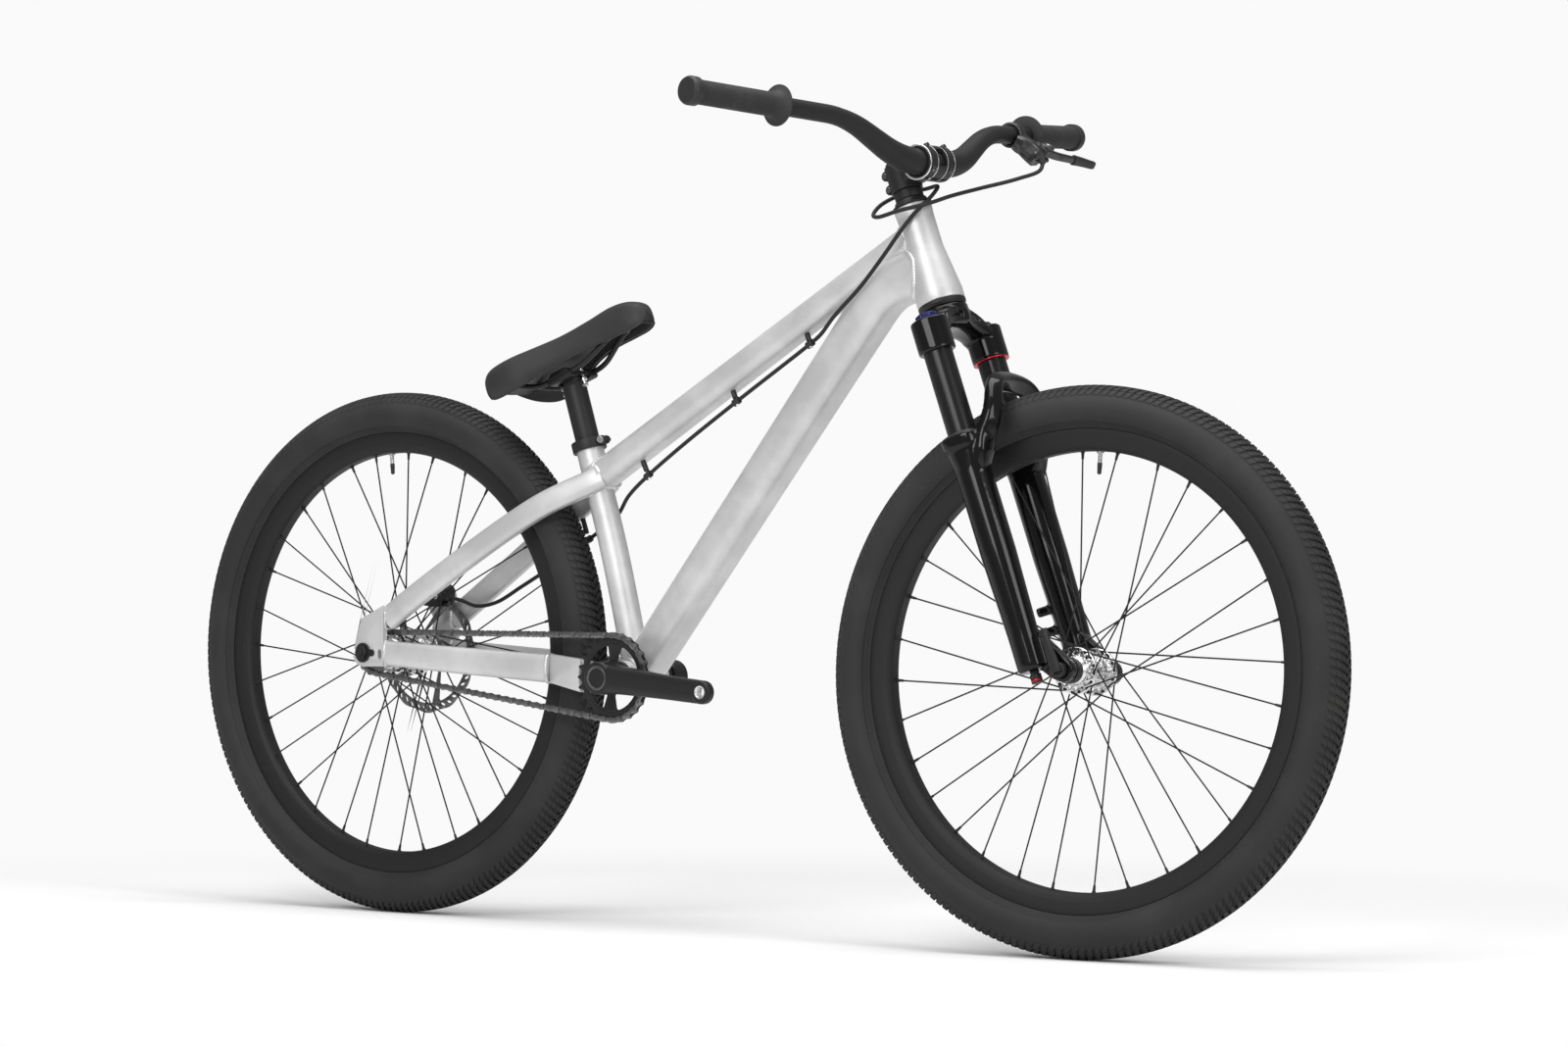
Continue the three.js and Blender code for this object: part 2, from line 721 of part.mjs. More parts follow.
function seatstay(side) {
  const start = rearAxle.clone().add(point(stayEndX - overrun * 3, chainstayDropoutY * side,
    seatstayFootRise - overrun * 3 * Math.tan(seatstayFootSlope)));
  const end = onSeatTube(seatTubeTop.z - seatstayTopDrop).add(point(0, seatstayTopY * side, 0));
  const alongStay = (x, y, bow) =>
    point(x, y * side, blend(start.z, end.z, (x - start.x) / (end.x - start.x)) + bow);
  const besideRotor = alongStay(seatstayRotorX, chainstayDropoutY, seatstayBow / 2);
  const besideTyre = alongStay(seatstayTyreX, seatstayTyreY, seatstayBow);
  const path = new THREE.CatmullRomCurve3([start, besideRotor, besideTyre, end]).getPoints(staySteps + 3);
  const stay = sweep(path, () => [seatstayHalfWidth, seatstayHalfHeight],
    { squareness: downTubeSquareness, count: stayCount });
  const half = sidePlate([
    [stayEndX, 0],
    [end.x + seatTubeRadius, 0],
    [end.x + seatTubeRadius, tyreRadius * 2],
    [stayEndX, tyreRadius * 2],
  ], side, fit / 2, rearHubWidth);
  const clips = side < 0 ? [] : seatstayClips.map((index) => {
    const spot = hoseRearRoute[index];
    const i = path.findIndex((next) => next.x > spot.x);
    const near = new THREE.Line3(path[i - 1], path[i]).closestPointToPoint(spot, true, point(0, 0, 0));
    return hoseClip(spot, near);
  });
  return cut(joined(stay, ...clips), seatTubeCutter, topTubeCutter, hoseCutter()).intersect(half);
}

// Yoke, a machined fork between the chainstays and the shell that leaves room for the tyre and the chainring

const yokeThickness = 10;
const yokeInnerY = 35;
const yokeBridge = 14;
const yokeTyreGap = 9;

function yoke() {
  const back = yokeX;
  const bridgeBack = tyreRadius + yokeTyreGap;
  const shellBack = bottomBracketX - shellRadius;
  const top = axleHeight - yokeDrop + chainstayYokeHalf;
  const foot = axleHeight - yokeDrop - chainstayYokeHalf;
  const frontTop = bottomBracket.z + shellRadius;
  const frontFoot = bottomBracket.z - shellRadius;
  const arms = sides.map(([, side]) => sidePlate([
    [back, foot],
    [bridgeBack, frontFoot],
    [shellBack + yokeThickness, frontFoot + yokeThickness],
    [shellBack + yokeThickness, frontTop - yokeThickness],
    [bridgeBack, frontTop],
    [back, top],
  ], side, yokeInnerY, yokeInnerY + yokeThickness));
  const bridge = plate([
    [bridgeBack, frontFoot + yokeThickness],
    [shellBack + yokeBridge, frontFoot + yokeThickness],
    [shellBack + yokeBridge, frontTop - yokeThickness],
    [bridgeBack, frontTop - yokeThickness],
  ], -yokeInnerY - yokeThickness, yokeInnerY + yokeThickness);
  const ringRoom = rod(ringPitchRadius + chainPitch / 2, yokeInnerY + yokeThickness / 2, shellWidth, shellSegments,
    placing(bottomBracket, alongY.clone().negate()));
  return cut(joined(bridge, ...arms), shellCutter, seatTubeCutter, downTubeSkin(fit), ringRoom);
}

// Rear axle with its bolts outside the dropouts

const axleBoltReach = 8;
const axleBoltHead = 6;

function rearAxleRod() {
  const face = dropoutInner + dropoutThickness + fit;
  const place = placing(rearAxle, alongY);
  return revolve([
    [0, -face - axleBoltReach],
    [axleBoltHead, -face - axleBoltReach],
    [axleBoltRadius, -face - axleBoltReach / 2],
    [axleBoltRadius, -face],
    [axleRadius, -face],
    [axleRadius, face],
    [axleBoltRadius, face],
    [axleBoltRadius, face + axleBoltReach / 2],
    [axleBoltHead, face + axleBoltReach],
    [0, face + axleBoltReach],
  ], dropoutSegments, place);
}

// Seat collar with its pinch bolt at the front

const collarHeight = 13;
const collarWall = 4;
const collarEarReach = 13;
const collarEarHalf = 8;
const collarEarThickness = 5;
const boltRadius = 2.6;
const boltHeadRadius = 4.4;
const boltHeadHeight = 4;
const seatPlacing = placing(seatTubeTop, seatTubeUp, alongX);

function seatCollar() {
  const inner = seatTubeRadius + fit;
  const outer = inner + collarWall;
  const low = -collarHeight * 2 / 3;
  const high = low + collarHeight;
  const band = pipe(outer, inner, low, high, tubeCount, seatPlacing);
  const middle = (low + high) / 2;
  const ears = sides.map(([, side]) => sidePlate([
    [inner + collarWall / 2, middle - collarEarHalf / 2],
    [inner + collarEarReach, middle - collarEarHalf / 2],
    [inner + collarEarReach, middle + collarEarHalf / 2],
    [inner + collarWall / 2, middle + collarEarHalf / 2],
  ], side, slotWidth / 2, slotWidth / 2 + collarEarThickness).transform(seatLean.elements));
  const half = slotWidth / 2 + collarEarThickness;
  const boltAt = point(inner + collarEarReach / 2 + collarWall / 2, 0, middle);
  const bolt = joined(
    rod(boltRadius, -half - boltHeadHeight, half + boltHeadHeight, headSegments / 2, placing(boltAt, alongY)),
    rod(boltHeadRadius, half, half + boltHeadHeight, headSegments / 2, placing(boltAt, alongY)),
    rod(boltHeadRadius, -half - boltHeadHeight, -half, headSegments / 2, placing(boltAt, alongY)),
  ).transform(seatLean.elements);
  return joined(band, ...ears, bolt);
}

// Seatpost with the cradle that carries the saddle rails

const seatpostRadius = seatTubeRadius - seatTubeWall - fit;
const seatpostWall = 2.4;
const seatpostRise = 90;         // seat tube top up to the rail clamp
const seatpostInsertion = 60;
const cradleHalfLength = 20;
const cradleRadius = 12.5;
const neckDrop = 9;
const cradleHalfWidth = 27;
const railRadius = 3.5;
const railY = 22;
const saddleTilt = 21.5 * degree;
const railPlacing = new THREE.Matrix4().makeRotationY(-saddleTilt).setPosition(
  seatTubeTop.clone().addScaledVector(seatTubeUp, seatpostRise));
const onRails = (along, y, up) => point(along, y, up).applyMatrix4(railPlacing);

const railSegments = 8;
const railBores = () => sides.map(([, side]) =>
  rod(around(railRadius, railSegments), -cradleHalfLength - overrun, cradleHalfLength + overrun, railSegments,
    railPlacing.clone().multiply(placing(point(0, railY * side, 0), alongX, alongY))));

const railAxis = railPlacing.clone().multiply(placing(point(0, 0, 0), alongY));

// The post ends in a trough in which the cradle can tilt.
function seatpost() {
  const post = revolve([
    [0, seatpostRise - neckDrop],
    [0, seatpostRise - neckDrop * 3],
    [seatpostRadius - seatpostWall, seatpostRise - neckDrop * 3 - seatpostWall],
    [seatpostRadius - seatpostWall, -seatpostInsertion],
    [seatpostRadius, -seatpostInsertion],
    [seatpostRadius, seatpostRise - neckDrop],
  ].reverse(), tubeCount, seatPlacing);
  const trough = rod(around(cradleRadius + fit, troughSegments), -cradleHalfWidth, cradleHalfWidth, troughSegments,
    railAxis);
  return cut(post, trough);
}

const troughSegments = 24;

// The cradle under the rails, round below, with an ear for a bolt at either end.
function saddleCradle() {
  const half = new THREE.Shape();
  half.absarc(0, 0, cradleRadius, -Math.PI + troughTurn, -troughTurn, false);
  half.lineTo(cradleHalfLength, -cradleRadius / 3);
  half.lineTo(cradleHalfLength, -fit);
  half.lineTo(-cradleHalfLength, -fit);
  half.lineTo(-cradleHalfLength, -cradleRadius / 3);
  half.closePath();
  const block = plate(half, -cradleHalfWidth, cradleHalfWidth).transform(railPlacing.elements);
  const boltEnd = cradleHalfLength - boltRadius - fit;
  const bolts = [-1, 1].map((end) => bar(onRails(end * boltEnd, 0, -cradleRadius * cradleEarShare),
    onRails(end * boltEnd, 0, -fit * 2), boltRadius, clipSides));
  return cut(joined(block, ...bolts), ...railBores());
}

const troughTurn = 22 * degree;
const cradleEarShare = 0.5;

function clampCap() {
  const outline = [
    [-cradleHalfLength, 0],
    [cradleHalfLength, 0],
    [cradleHalfLength / 2, railRadius + cradleRadius / 3],
    [-cradleHalfLength / 2, railRadius + cradleRadius / 3],
  ];
  return cut(plate(outline, -cradleHalfWidth, cradleHalfWidth).transform(railPlacing.elements), ...railBores());
}

// Saddle: bent rails, a hard base and a padded cover, in the rails' own tilted frame

// Along the saddle from tail to nose: place, half width, top and lower edge
const saddleStations = [
  { along: -108, half: 30, top: 38, edge: 20 },
  { along: -99, half: 50, top: 44, edge: 8 },
  { along: -80, half: 64, top: 47, edge: 0 },
  { along: -50, half: 66, top: 49, edge: -1 },
  { along: -20, half: 56, top: 51, edge: 4 },
  { along: 20, half: 38, top: 53, edge: 13 },
  { along: 60, half: 27, top: 55, edge: 18 },
  { along: 100, half: 23, top: 55, edge: 19 },
  { along: 127, half: 20, top: 49, edge: 20 },
  { along: 142, half: 10, top: 37, edge: 24 },
];
const coverDepth = 24;
const coverWall = 8;
const basePlate = 3;
const sideShares = [[0.94, 0], [1, 0.38], [0.93, 0.72], [0.66, 0.93]];
const hollowShare = 0.8;

// One section of the cover: rounded sides over the crown, and an arched hollow below.
function coverRing({ along, half, top, edge }) {
  const depth = top - edge;
  const under = Math.max(top - coverDepth, edge + basePlate);
  const right = sideShares.map(([out, up]) => [half * out, edge + depth * up]);
  const crown = [0, top];
  const left = right.map(([y, up]) => [-y, up]).reverse();
  const inner = half - Math.min(coverWall, half / 3);
  const hollow = [[-inner, edge], [-inner * hollowShare, under], [0, under],
    [inner * hollowShare, under], [inner, edge]];
  return [...right, crown, ...left, ...hollow].map(([y, up]) => onRails(along, y, up));
}

const saddleCover = () => loft(saddleStations.map(coverRing));

// The base follows the hollow of the cover, a plate thick, between the first and the last full stations.
function baseRing({ along, half, top, edge }) {
  const under = Math.max(top - coverDepth, edge + basePlate) - fit;
  const inner = (half - Math.min(coverWall, half / 3)) * hollowShare - fit;
  const upper = [[-inner, under], [0, under], [inner, under]];
  const lower = upper.map(([y, up]) => [y, up - basePlate]).reverse();
  return [...upper, ...lower].map(([y, up]) => onRails(along, y, up));
}

const saddleBase = () => loft(saddleStations.slice(1, -1).map(baseRing));

const railTail = [-74, 24, 16.9];
const railBack = [-38, railY, 0];
const railFront = [38, railY, 0];
const railRise = [84, 12, 20];
const railNose = [104, 6, 22.9];
const railReach = 16;
const railSteps = 2;

function saddleRails() {
  const half = [railTail, railBack, railFront, railRise, railNose];
  const right = half.map(([along, y, up]) => onRails(along, -y, up));
  const left = half.map(([along, y, up]) => onRails(along, y, up)).reverse();
  const path = rounded([...right, ...left], railReach, railSteps);
  return sweep(path, () => [railRadius, railRadius], { across: alongZ, count: railSegments - 2 });
}

// Fork, in the steering frame: ahead, across, up the axis from the foot beside the axle

const legSpacing = 130;
const legAhead = 9;
const stanchionRadius = 17.5;
const stanchionWall = 2.5;
const crownClampDrop = 23;        // crown race down to the top of the leg clamps
const crownClampHeight = 41;
const crownClampTop = crownHeight - crownClampDrop;
const crownClampFoot = crownClampTop - crownClampHeight;
const crownClampWall = 5;
const crownHalfShares = [1, 0.74, 0.4];
const crownCount = 10;
const legSegments = 12;
const legY = legSpacing / 2;
const forkTravel = 100;
const sealTop = crownClampFoot - forkTravel - overrun;
const stanchionOverlap = 60;      // length of the tube inside the lowers
const stanchionFoot = sealTop - stanchionOverlap;
const legAxis = (side) => placing(point(legAhead, legY * side, 0), alongZ);

// Crown body from one leg clamp to the other: low at the legs and arched over the tyre in the middle.
function crownRing(share) {
  const y = legY * share;
  const out = Math.abs(share);
  const top = blend(crownClampTop, crownHeight, Math.sqrt(Math.max(0, 1 - (out / crownShoulderShare) ** 2)));
  const foot = blend(crownClampFoot, crownArchTop, Math.sqrt(1 - out ** 2));
  const halfDeep = blend(stanchionRadius + crownClampWall, crownHalfDepth, 1 - out) * crownWaist(out);
  const centre = point(blend(crownMiddleAhead, legAhead, out), y, (top + foot) / 2);
  return ring(centre, alongY, alongX, halfDeep, (top - foot) / 2, downTubeSquareness, crownCount);
}

const crownArchDrop = 30;
const crownArchTop = crownHeight - crownArchDrop;
const crownShoulderShare = 0.74;
const crownHalfDepth = 29;
const crownMiddleAhead = 2;
const crownWaistShare = 0.2;
const crownWaist = (out) => 1 - crownWaistShare * Math.sin(Math.PI * out);

function crown() {
  const shares = [...crownHalfShares.map((share) => -share), 0, ...crownHalfShares.toReversed()];
  const bridge = loft(shares.map(crownRing));
  const clamps = sides.map(([, side]) => rod(stanchionRadius + crownClampWall, crownClampFoot, crownClampTop,
    legSegments, legAxis(side)));
  const race = rod(headTubeLowerRadius, crownHeight - cupLip * 2, crownHeight, headSegments);
  const bores = sides.map(([, side]) => rod(stanchionRadius + fit, crownClampFoot - overrun * 8,
    crownClampTop - crownClampWall, legSegments, legAxis(side)));
  const steererHole = rod(steererLowerRadius + fit, crownArchTop - overrun * 8, crownHeight + overrun,
    headSegments);
  const airCap = rod(capRadius, crownClampTop, crownClampTop + capHeight, legSegments, legAxis(1));
  return cut(joined(bridge, ...clamps, race, airCap), ...bores, steererHole);
}

const capRadius = 13;
const capHeight = 6;
const dialRadius = 14.5;
const dialHeight = 8;

const compressionDial = () => rod(dialRadius, crownClampTop + fit, crownClampTop + fit + dialHeight, legSegments,
  legAxis(-1));

function stanchion(side) {
  return pipe(stanchionRadius, stanchionRadius - stanchionWall, stanchionFoot,
    crownClampTop - crownClampWall - fit, legSegments, legAxis(side));
}

const spacerHeight = 11;
const stemHeight = 34;
const barRise = 19;               // foot of the stem up to the bar clamp
const stemFoot = headTubeTop + upperCupHeight + spacerHeight + fit * 3;
const stemTop = stemFoot + stemHeight;
const barHeight = stemFoot + barRise;
const steererTop = stemTop - 1;
const steererWall = 2.2;

function steerer() {
  const foot = crownArchTop + cupLip;
  const taperFoot = crownHeight + cupSkirt;
  return revolve([
    [steererLowerRadius, foot],
    [steererLowerRadius, taperFoot],
    [steererRadius, taperFoot + steererTaperLength],
    [steererRadius, steererTop],
    [steererRadius - steererWall, steererTop],
    [steererRadius - steererWall, taperFoot + steererTaperLength],
    [steererLowerRadius - steererWall * 2, taperFoot],
    [steererLowerRadius - steererWall * 2, foot],
  ], headSegments);
}

// Fork lowers: two legs, a bridge over the tyre and the dropouts, one casting

const legTopRadius = 22.6;
const sealHeight = 13;
const legRadius = 21.3;
const legFootRadius = 18.5;
const legFoot = 10;
const legBoreFoot = stanchionFoot - forkTravel - overrun;
const frontDropoutInner = frontHubWidth / 2;
const frontDropoutThickness = 15;
const frontDropoutRound = 15;
const frontAxleRadius = 7.5;
const archSteps = 2;
const archHalfWidth = 8;
const archHalfHeight = 12;
const archSquareness = 3;
const archReach = 22;

function forkLeg(side) {
  const outside = [
    [legFootRadius - overrun, legFoot],
    [legFootRadius, legFoot + overrun],
    [legFootRadius, legFoot + frontDropoutRound * 3],
    [legRadius, (legFoot + sealTop) / 2],
    [legRadius, sealTop - sealHeight],
    [legTopRadius, sealTop - sealHeight],
    [legTopRadius - cupLip, sealTop],
  ];
  return solidOfOutside(outside, legSegments, legAxis(side));
}

const legBore = (side) => rod(stanchionRadius + fit, legBoreFoot, crownClampFoot, legSegments, legAxis(side));

// The lug that carries the axle ahead of the leg.
function forkDropout(side) {
  const shape = new THREE.Shape();
  shape.moveTo(legAhead + knobRadius + fit * 3, legFoot);
  shape.lineTo(legAhead, legFoot + frontDropoutRound * 3);
  shape.lineTo(legAhead + legFootRadius - overrun / 2, legFoot + frontDropoutRound * 3);
  shape.lineTo(forkOffset + frontDropoutRound, frontDropoutRound / 2);
  shape.absarc(forkOffset, 0, frontDropoutRound, Math.PI / 6, -Math.PI / 2, true);
  shape.closePath();
  return sidePlate(shape, side, frontDropoutInner + fit, frontDropoutInner + frontDropoutThickness);
}

const archCorners = [
  [legAhead + 12, legY + 4, sealTop - 26],
  [legAhead + 43, legY - 3, sealTop + 12],
  [legAhead + 45, legY - 20, sealTop + 50],
  [legAhead + 43, 0, sealTop + 57],
];

function forkArch() {
  const right = archCorners.map(([ahead, y, up]) => point(ahead, -y, up));
  const left = archCorners.slice(0, -1).map(([ahead, y, up]) => point(ahead, y, up)).reverse();
  const path = rounded([...right, ...left], archReach, archSteps);
  return sweep(path, () => [archHalfHeight, archHalfWidth],
    { across: point(1, 0, 1), squareness: archSquareness, count: stayCount });
}

const brakeTabs = [72, 98];      // heights of the two mounting posts on the left leg
const brakeTabRadius = 6;
const brakeTabReach = 12;

function lowers() {
  const legs = sides.map(([, side]) => forkLeg(side));
  const lugs = sides.map(([, side]) => forkDropout(side));
  const bores = sides.map(([, side]) => legBore(side));
  const tabs = brakeTabs.map((up) => bar(point(legAhead, legY, up),
    point(legAhead - legRadius - brakeTabReach, legY - brakeTabReach, up), brakeTabRadius, railSegments));
  const axleHole = rod(frontAxleRadius + fit, -frontHubWidth, frontHubWidth, legSegments,
    placing(point(forkOffset, 0, 0), alongY));
  return cut(joined(legs[0], legs[1], ...lugs, ...tabs, forkArch()), ...bores, axleHole);
}

const knobRadius = 7;
const knobLength = 14;
const reboundKnob = () => rod(knobRadius, legFoot - fit - knobLength, legFoot - fit, legSegments / 2, legAxis(-1));

// Front axle with the cam lever folded up beside the right leg

const axleHeadLength = 9;
const axleHeadRadius = 9;
const camLeverLength = 50;
const camLeverHalfWidth = 5;
const camLeverThickness = 6;
const frontAxlePlacing = placing(point(forkOffset, 0, 0), alongY);
const frontLugFace = frontDropoutInner + frontDropoutThickness;

function frontAxleRod() {
  return revolve([
    [0, -frontLugFace - fit - axleHeadLength],
    [axleHeadRadius, -frontLugFace - fit - axleHeadLength],
    [axleHeadRadius, -frontLugFace - fit],
    [frontAxleRadius, -frontLugFace - fit],
    [frontAxleRadius, frontLugFace],
    [0, frontLugFace],
  ], legSegments, frontAxlePlacing);
}

// The lever is modelled about its pivot just outside the axle's head.
const camPivotY = -frontLugFace - axleHeadLength - camLeverThickness / 2 - fit * 2;

function camLever() {
  const blade = plate([
    [-camLeverHalfWidth, 0],
    [camLeverHalfWidth, 0],
    [camLeverHalfWidth / 2, camLeverLength],
    [-camLeverHalfWidth / 2, camLeverLength],
  ], camPivotY - camLeverThickness / 2, camPivotY + camLeverThickness / 2);
  const pin = bar(point(-camLeverHalfWidth, camPivotY, 0), point(camLeverHalfWidth, camPivotY, 0),
    camLeverThickness / 2, railSegments);
  return joined(blade, pin).translate([forkOffset, 0, 0]);
}

// Stem, cap and spacer, in the cockpit frame

const stemReach = 41;
const stemClampRadius = 19.5;
const barClampRadius = 15.9;
const barClampOuter = 21.5;
const stemHalfWidth = 25;
const stemNeckHalf = 13;
const faceplateGap = 2.4;
const stemSegments = 12;

const spacer = () => pipe(spacerRadius, around(steererRadius, headSegments), headTubeTop + upperCupHeight + fit * 2,
  stemFoot - fit, headSegments);

const barAxis = placing(point(stemReach, 0, barHeight), alongY);

function stemBody() {
  const clamp = rod(stemClampRadius, stemFoot, stemTop, stemSegments);
  const neck = loft([0, 1 / 2, 1].map((share) => ring(
    point(stemReach * share, 0, blend((stemFoot + stemTop) / 2, barHeight, share)), alongX, alongY,
    blend(stemClampRadius - cupLip, stemHalfWidth - cupLip * 3, share), stemNeckHalf, archSquareness, crownCount)));
  const cradle = rod(barClampOuter, -stemHalfWidth, stemHalfWidth, stemSegments, barAxis);
  const front = plate([
    [stemReach, barHeight - barClampOuter * 2],
    [stemReach + barClampOuter * 2, barHeight - barClampOuter * 2],
    [stemReach + barClampOuter * 2, barHeight + barClampOuter * 2],
    [stemReach, barHeight + barClampOuter * 2],
  ], -stemHalfWidth - overrun, stemHalfWidth + overrun);
  const barBore = rod(barClampRadius + fit, -stemHalfWidth - overrun, stemHalfWidth + overrun, stemSegments,
    barAxis);
  const steererBore = rod(around(steererRadius, headSegments), stemFoot - overrun, stemTop + overrun, headSegments);
  return cut(joined(clamp, neck, cradle), front, barBore, steererBore);
}

const faceplateWindow = 9;

function faceplate() {
  const shell = pipe(barClampOuter, barClampRadius + fit, -stemHalfWidth, stemHalfWidth, stemSegments, barAxis);
  const back = plate([
    [stemReach + faceplateGap, barHeight - barClampOuter * 2],
    [stemReach - barClampOuter * 2, barHeight - barClampOuter * 2],
    [stemReach - barClampOuter * 2, barHeight + barClampOuter * 2],
    [stemReach + faceplateGap, barHeight + barClampOuter * 2],
  ], -stemHalfWidth - overrun, stemHalfWidth + overrun);
  const window = plate([
    [stemReach + barClampRadius / 2, barHeight - faceplateWindow],
    [stemReach + barClampOuter * 2, barHeight - faceplateWindow],
    [stemReach + barClampOuter * 2, barHeight + faceplateWindow],
    [stemReach + barClampRadius / 2, barHeight + faceplateWindow],
  ], -faceplateWindow, faceplateWindow);
  return cut(shell, back, window);
}

const stemCapHeight = 4;

function stemCap() {
  const seat = stemTop + fit;
  const plug = (steererRadius - steererWall) * Math.cos(Math.PI / headSegments) - fit;
  return revolve([
    [0, seat - cupSkirt],
    [plug, seat - cupSkirt],
    [plug, seat],
    [stemClampRadius - cupLip, seat],
    [stemClampRadius - cupLip * 2, seat + stemCapHeight],
    [0, seat + stemCapHeight],
  ], stemSegments);
}

// Handlebar, grips and their end caps

const barHalf = 390;
const barRiserTo = 247;           // tip in to the top of the riser
const barRiserFootShare = 0.4;    // foot of the riser, from the stem to its top
const barRiser = 49;
const barUpsweep = 28;
const barBacksweep = 33;
const barTipRadius = 11.1;
const barCorners = [
  [stemReach, 0, barHeight],
  [stemReach, (barHalf - barRiserTo) * barRiserFootShare, barHeight],
  [stemReach, barHalf - barRiserTo, barHeight + barRiser],
  [stemReach - barBacksweep, barHalf, barHeight + barRiser + barUpsweep],
];
const barReach = 34;
const barSteps = 2;
const barCount = 12;
const gripLength = 142;
const gripRadius = 14.6;
const gripEndRadius = 17.2;
const flangeRadius = 24.6;
const flangeThickness = 5;
const gripCapLength = 11;

function barPath(side) {
  return rounded(barCorners.map(([ahead, y, up]) => point(ahead, y * side, up)), barReach, barSteps);
}

// The bar is thick where the stem holds it and tapers along the first bend.
function handlebar() {
  const right = barPath(-1);
  const left = barPath(1);
  const path = [...right.slice(1).reverse(), ...left];
  const radiusAt = (y) => {
    const taperEnd = barCorners[2][1];
    const share = Math.min(1, Math.max(0, (Math.abs(y) - stemHalfWidth * 2) / (taperEnd - stemHalfWidth)));
    return blend(barClampRadius, barTipRadius, share);
  };
  const rings = path.map((spot, i) => {
    const way = path[Math.min(i + 1, path.length - 1)].clone().sub(path[Math.max(i - 1, 0)]);
    const radius = radiusAt(spot.y);
    return ring(spot, way, alongX, radius, radius, 2, barCount);
  });
  return loft(rings);
}

// The straight end of the bar as a placing whose Z runs outward from the inner end of the grip.
function gripPlacing(side) {
  const [bendAhead, bendY, bendUp] = barCorners[2];
  const [tipAhead, tipY, tipUp] = barCorners[3];
  const tip = point(tipAhead, tipY * side, tipUp);
  const way = tip.clone().sub(point(bendAhead, bendY * side, bendUp)).normalize();
  return placing(tip.clone().addScaledVector(way, -gripLength), way);
}

function grip(side) {
  const bore = barTipRadius + fit;
  return revolve([
    [bore, 0],
    [flangeRadius, 0],
    [flangeRadius, flangeThickness],
    [gripRadius + cupLip, flangeThickness + cupLip],
    [gripRadius, flangeThickness * 2],
    [gripRadius, gripLength - gripCapLength],
    [gripEndRadius, gripLength - gripCapLength],
    [gripEndRadius, gripLength + cupLip],
    [gripEndRadius - cupLip * 2, gripLength + cupLip * 2],
    [0, gripLength + cupLip * 2],
    [0, gripLength + fit],
    [bore, gripLength + fit],
  ], barCount, gripPlacing(side));
}

// Brake lever on the left of the bar, inboard of the grip

const leverClampFrom = -44;       // from the grip's inner end, towards the stem
const leverClampWidth = 14;
const leverClampOuter = 16;
const leverTilt = 51 * degree;    // how far the lever points down from square to the steering axis
const leverReach = 45;
const leverBlockHalf = 11;
const leverBlockDrop = 8;
const pivotInset = 16;            // the pivot, in from the grip's inner end
const pivotBoss = 7;
const pivotHalf = 5.2;
const pivotLugHalf = 9;
const bladeHalfHeight = 5.5;
const bladeHalfWidth = 4;
const leverFrame = gripPlacing(1);
const leverWay = point(Math.cos(leverTilt), 0, -Math.sin(leverTilt));
const leverAxis = point(Math.sin(leverTilt), 0, Math.cos(leverTilt));
const onLever = (reach, out, high) => point(0, 0, out).applyMatrix4(leverFrame)
  .addScaledVector(leverWay, reach).addScaledVector(leverAxis, high);
const leverPivot = onLever(leverReach, -pivotInset, 0);
const onPivot = (high) => leverPivot.clone().addScaledVector(leverAxis, high);

function leverBody() {
  const clampMiddle = leverClampFrom + leverClampWidth / 2;
  const clamp = pipe(leverClampOuter, barTipRadius + fit, leverClampFrom, leverClampFrom + leverClampWidth, barCount,
    leverFrame);
  const block = sweep([
    onLever(barTipRadius, clampMiddle, 0),
    onLever(leverReach / 2, clampMiddle + leverBlockDrop / 2, -leverBlockDrop / 2),
    onLever(leverReach, clampMiddle + leverBlockDrop, -leverBlockDrop),
  ], () => [leverBlockHalf, leverBlockHalf], { squareness: archSquareness, count: stayCount });
  const arm = bar(onLever(leverReach - leverBlockHalf, clampMiddle + leverBlockDrop, 0), leverPivot, pivotLugHalf,
    railSegments);
  const lug = bar(onPivot(-pivotLugHalf), onPivot(pivotLugHalf), pivotBoss + cupLip, railSegments);
  const slot = bar(onPivot(-bladeHalfHeight - fit), onPivot(bladeHalfHeight + fit), pivotBoss + cupLip * 2,
    railSegments);
  const barRoom = rod(barTipRadius + fit, leverClampFrom * 2, 0, barCount, leverFrame);
  return cut(joined(clamp, block, arm, lug), slot, barRoom);
}

// The blade from its pivot, in reach and in distance outwards
const bladeCorners = [
  [0, 0],
  [8, 14],
  [17, 46],
  [29, 88],
];

function leverBlade() {
  const spots = bladeCorners.map(([reach, along]) =>
    onLever(leverReach + reach, along - pivotInset, 0));
  const path = rounded(spots, archReach, railSteps);
  const blade = sweep(path, (share) => [blend(bladeHalfWidth, bladeHalfWidth * 3 / 4, share),
    blend(bladeHalfHeight, bladeHalfHeight * 3 / 4, share)],
  { across: leverWay, squareness: archSquareness, count: railSegments });
  const boss = bar(onPivot(-pivotHalf), onPivot(pivotHalf), pivotBoss, railSegments);
  return joined(boss, blade);
}

// Wheels

const wheelSegments = 32;
const rimFloor = rimRadius - rimDepth;
const beadSeat = rimRadius - 5;
const rimHalf = rimWidth / 2;

function rimProfile() {
  const half = [
    [rimFloor, rimHalf / 2],
    [rimFloor + rimDepth / 3, rimHalf - rimWall / 2],
    [rimRadius, rimHalf],
    [beadSeat, rimHalf - rimWall],
  ];
  return [...half, ...half.map(([radius, y]) => [radius, -y]).reverse()];
}

const treadCrown = 6;            // how much lower the tread's shoulders lie than its crown
const treadHalf = tyreWidth / 3;
const sideWall = 2.6;
const bellyRadius = (tyreRadius + rimRadius) / 2;

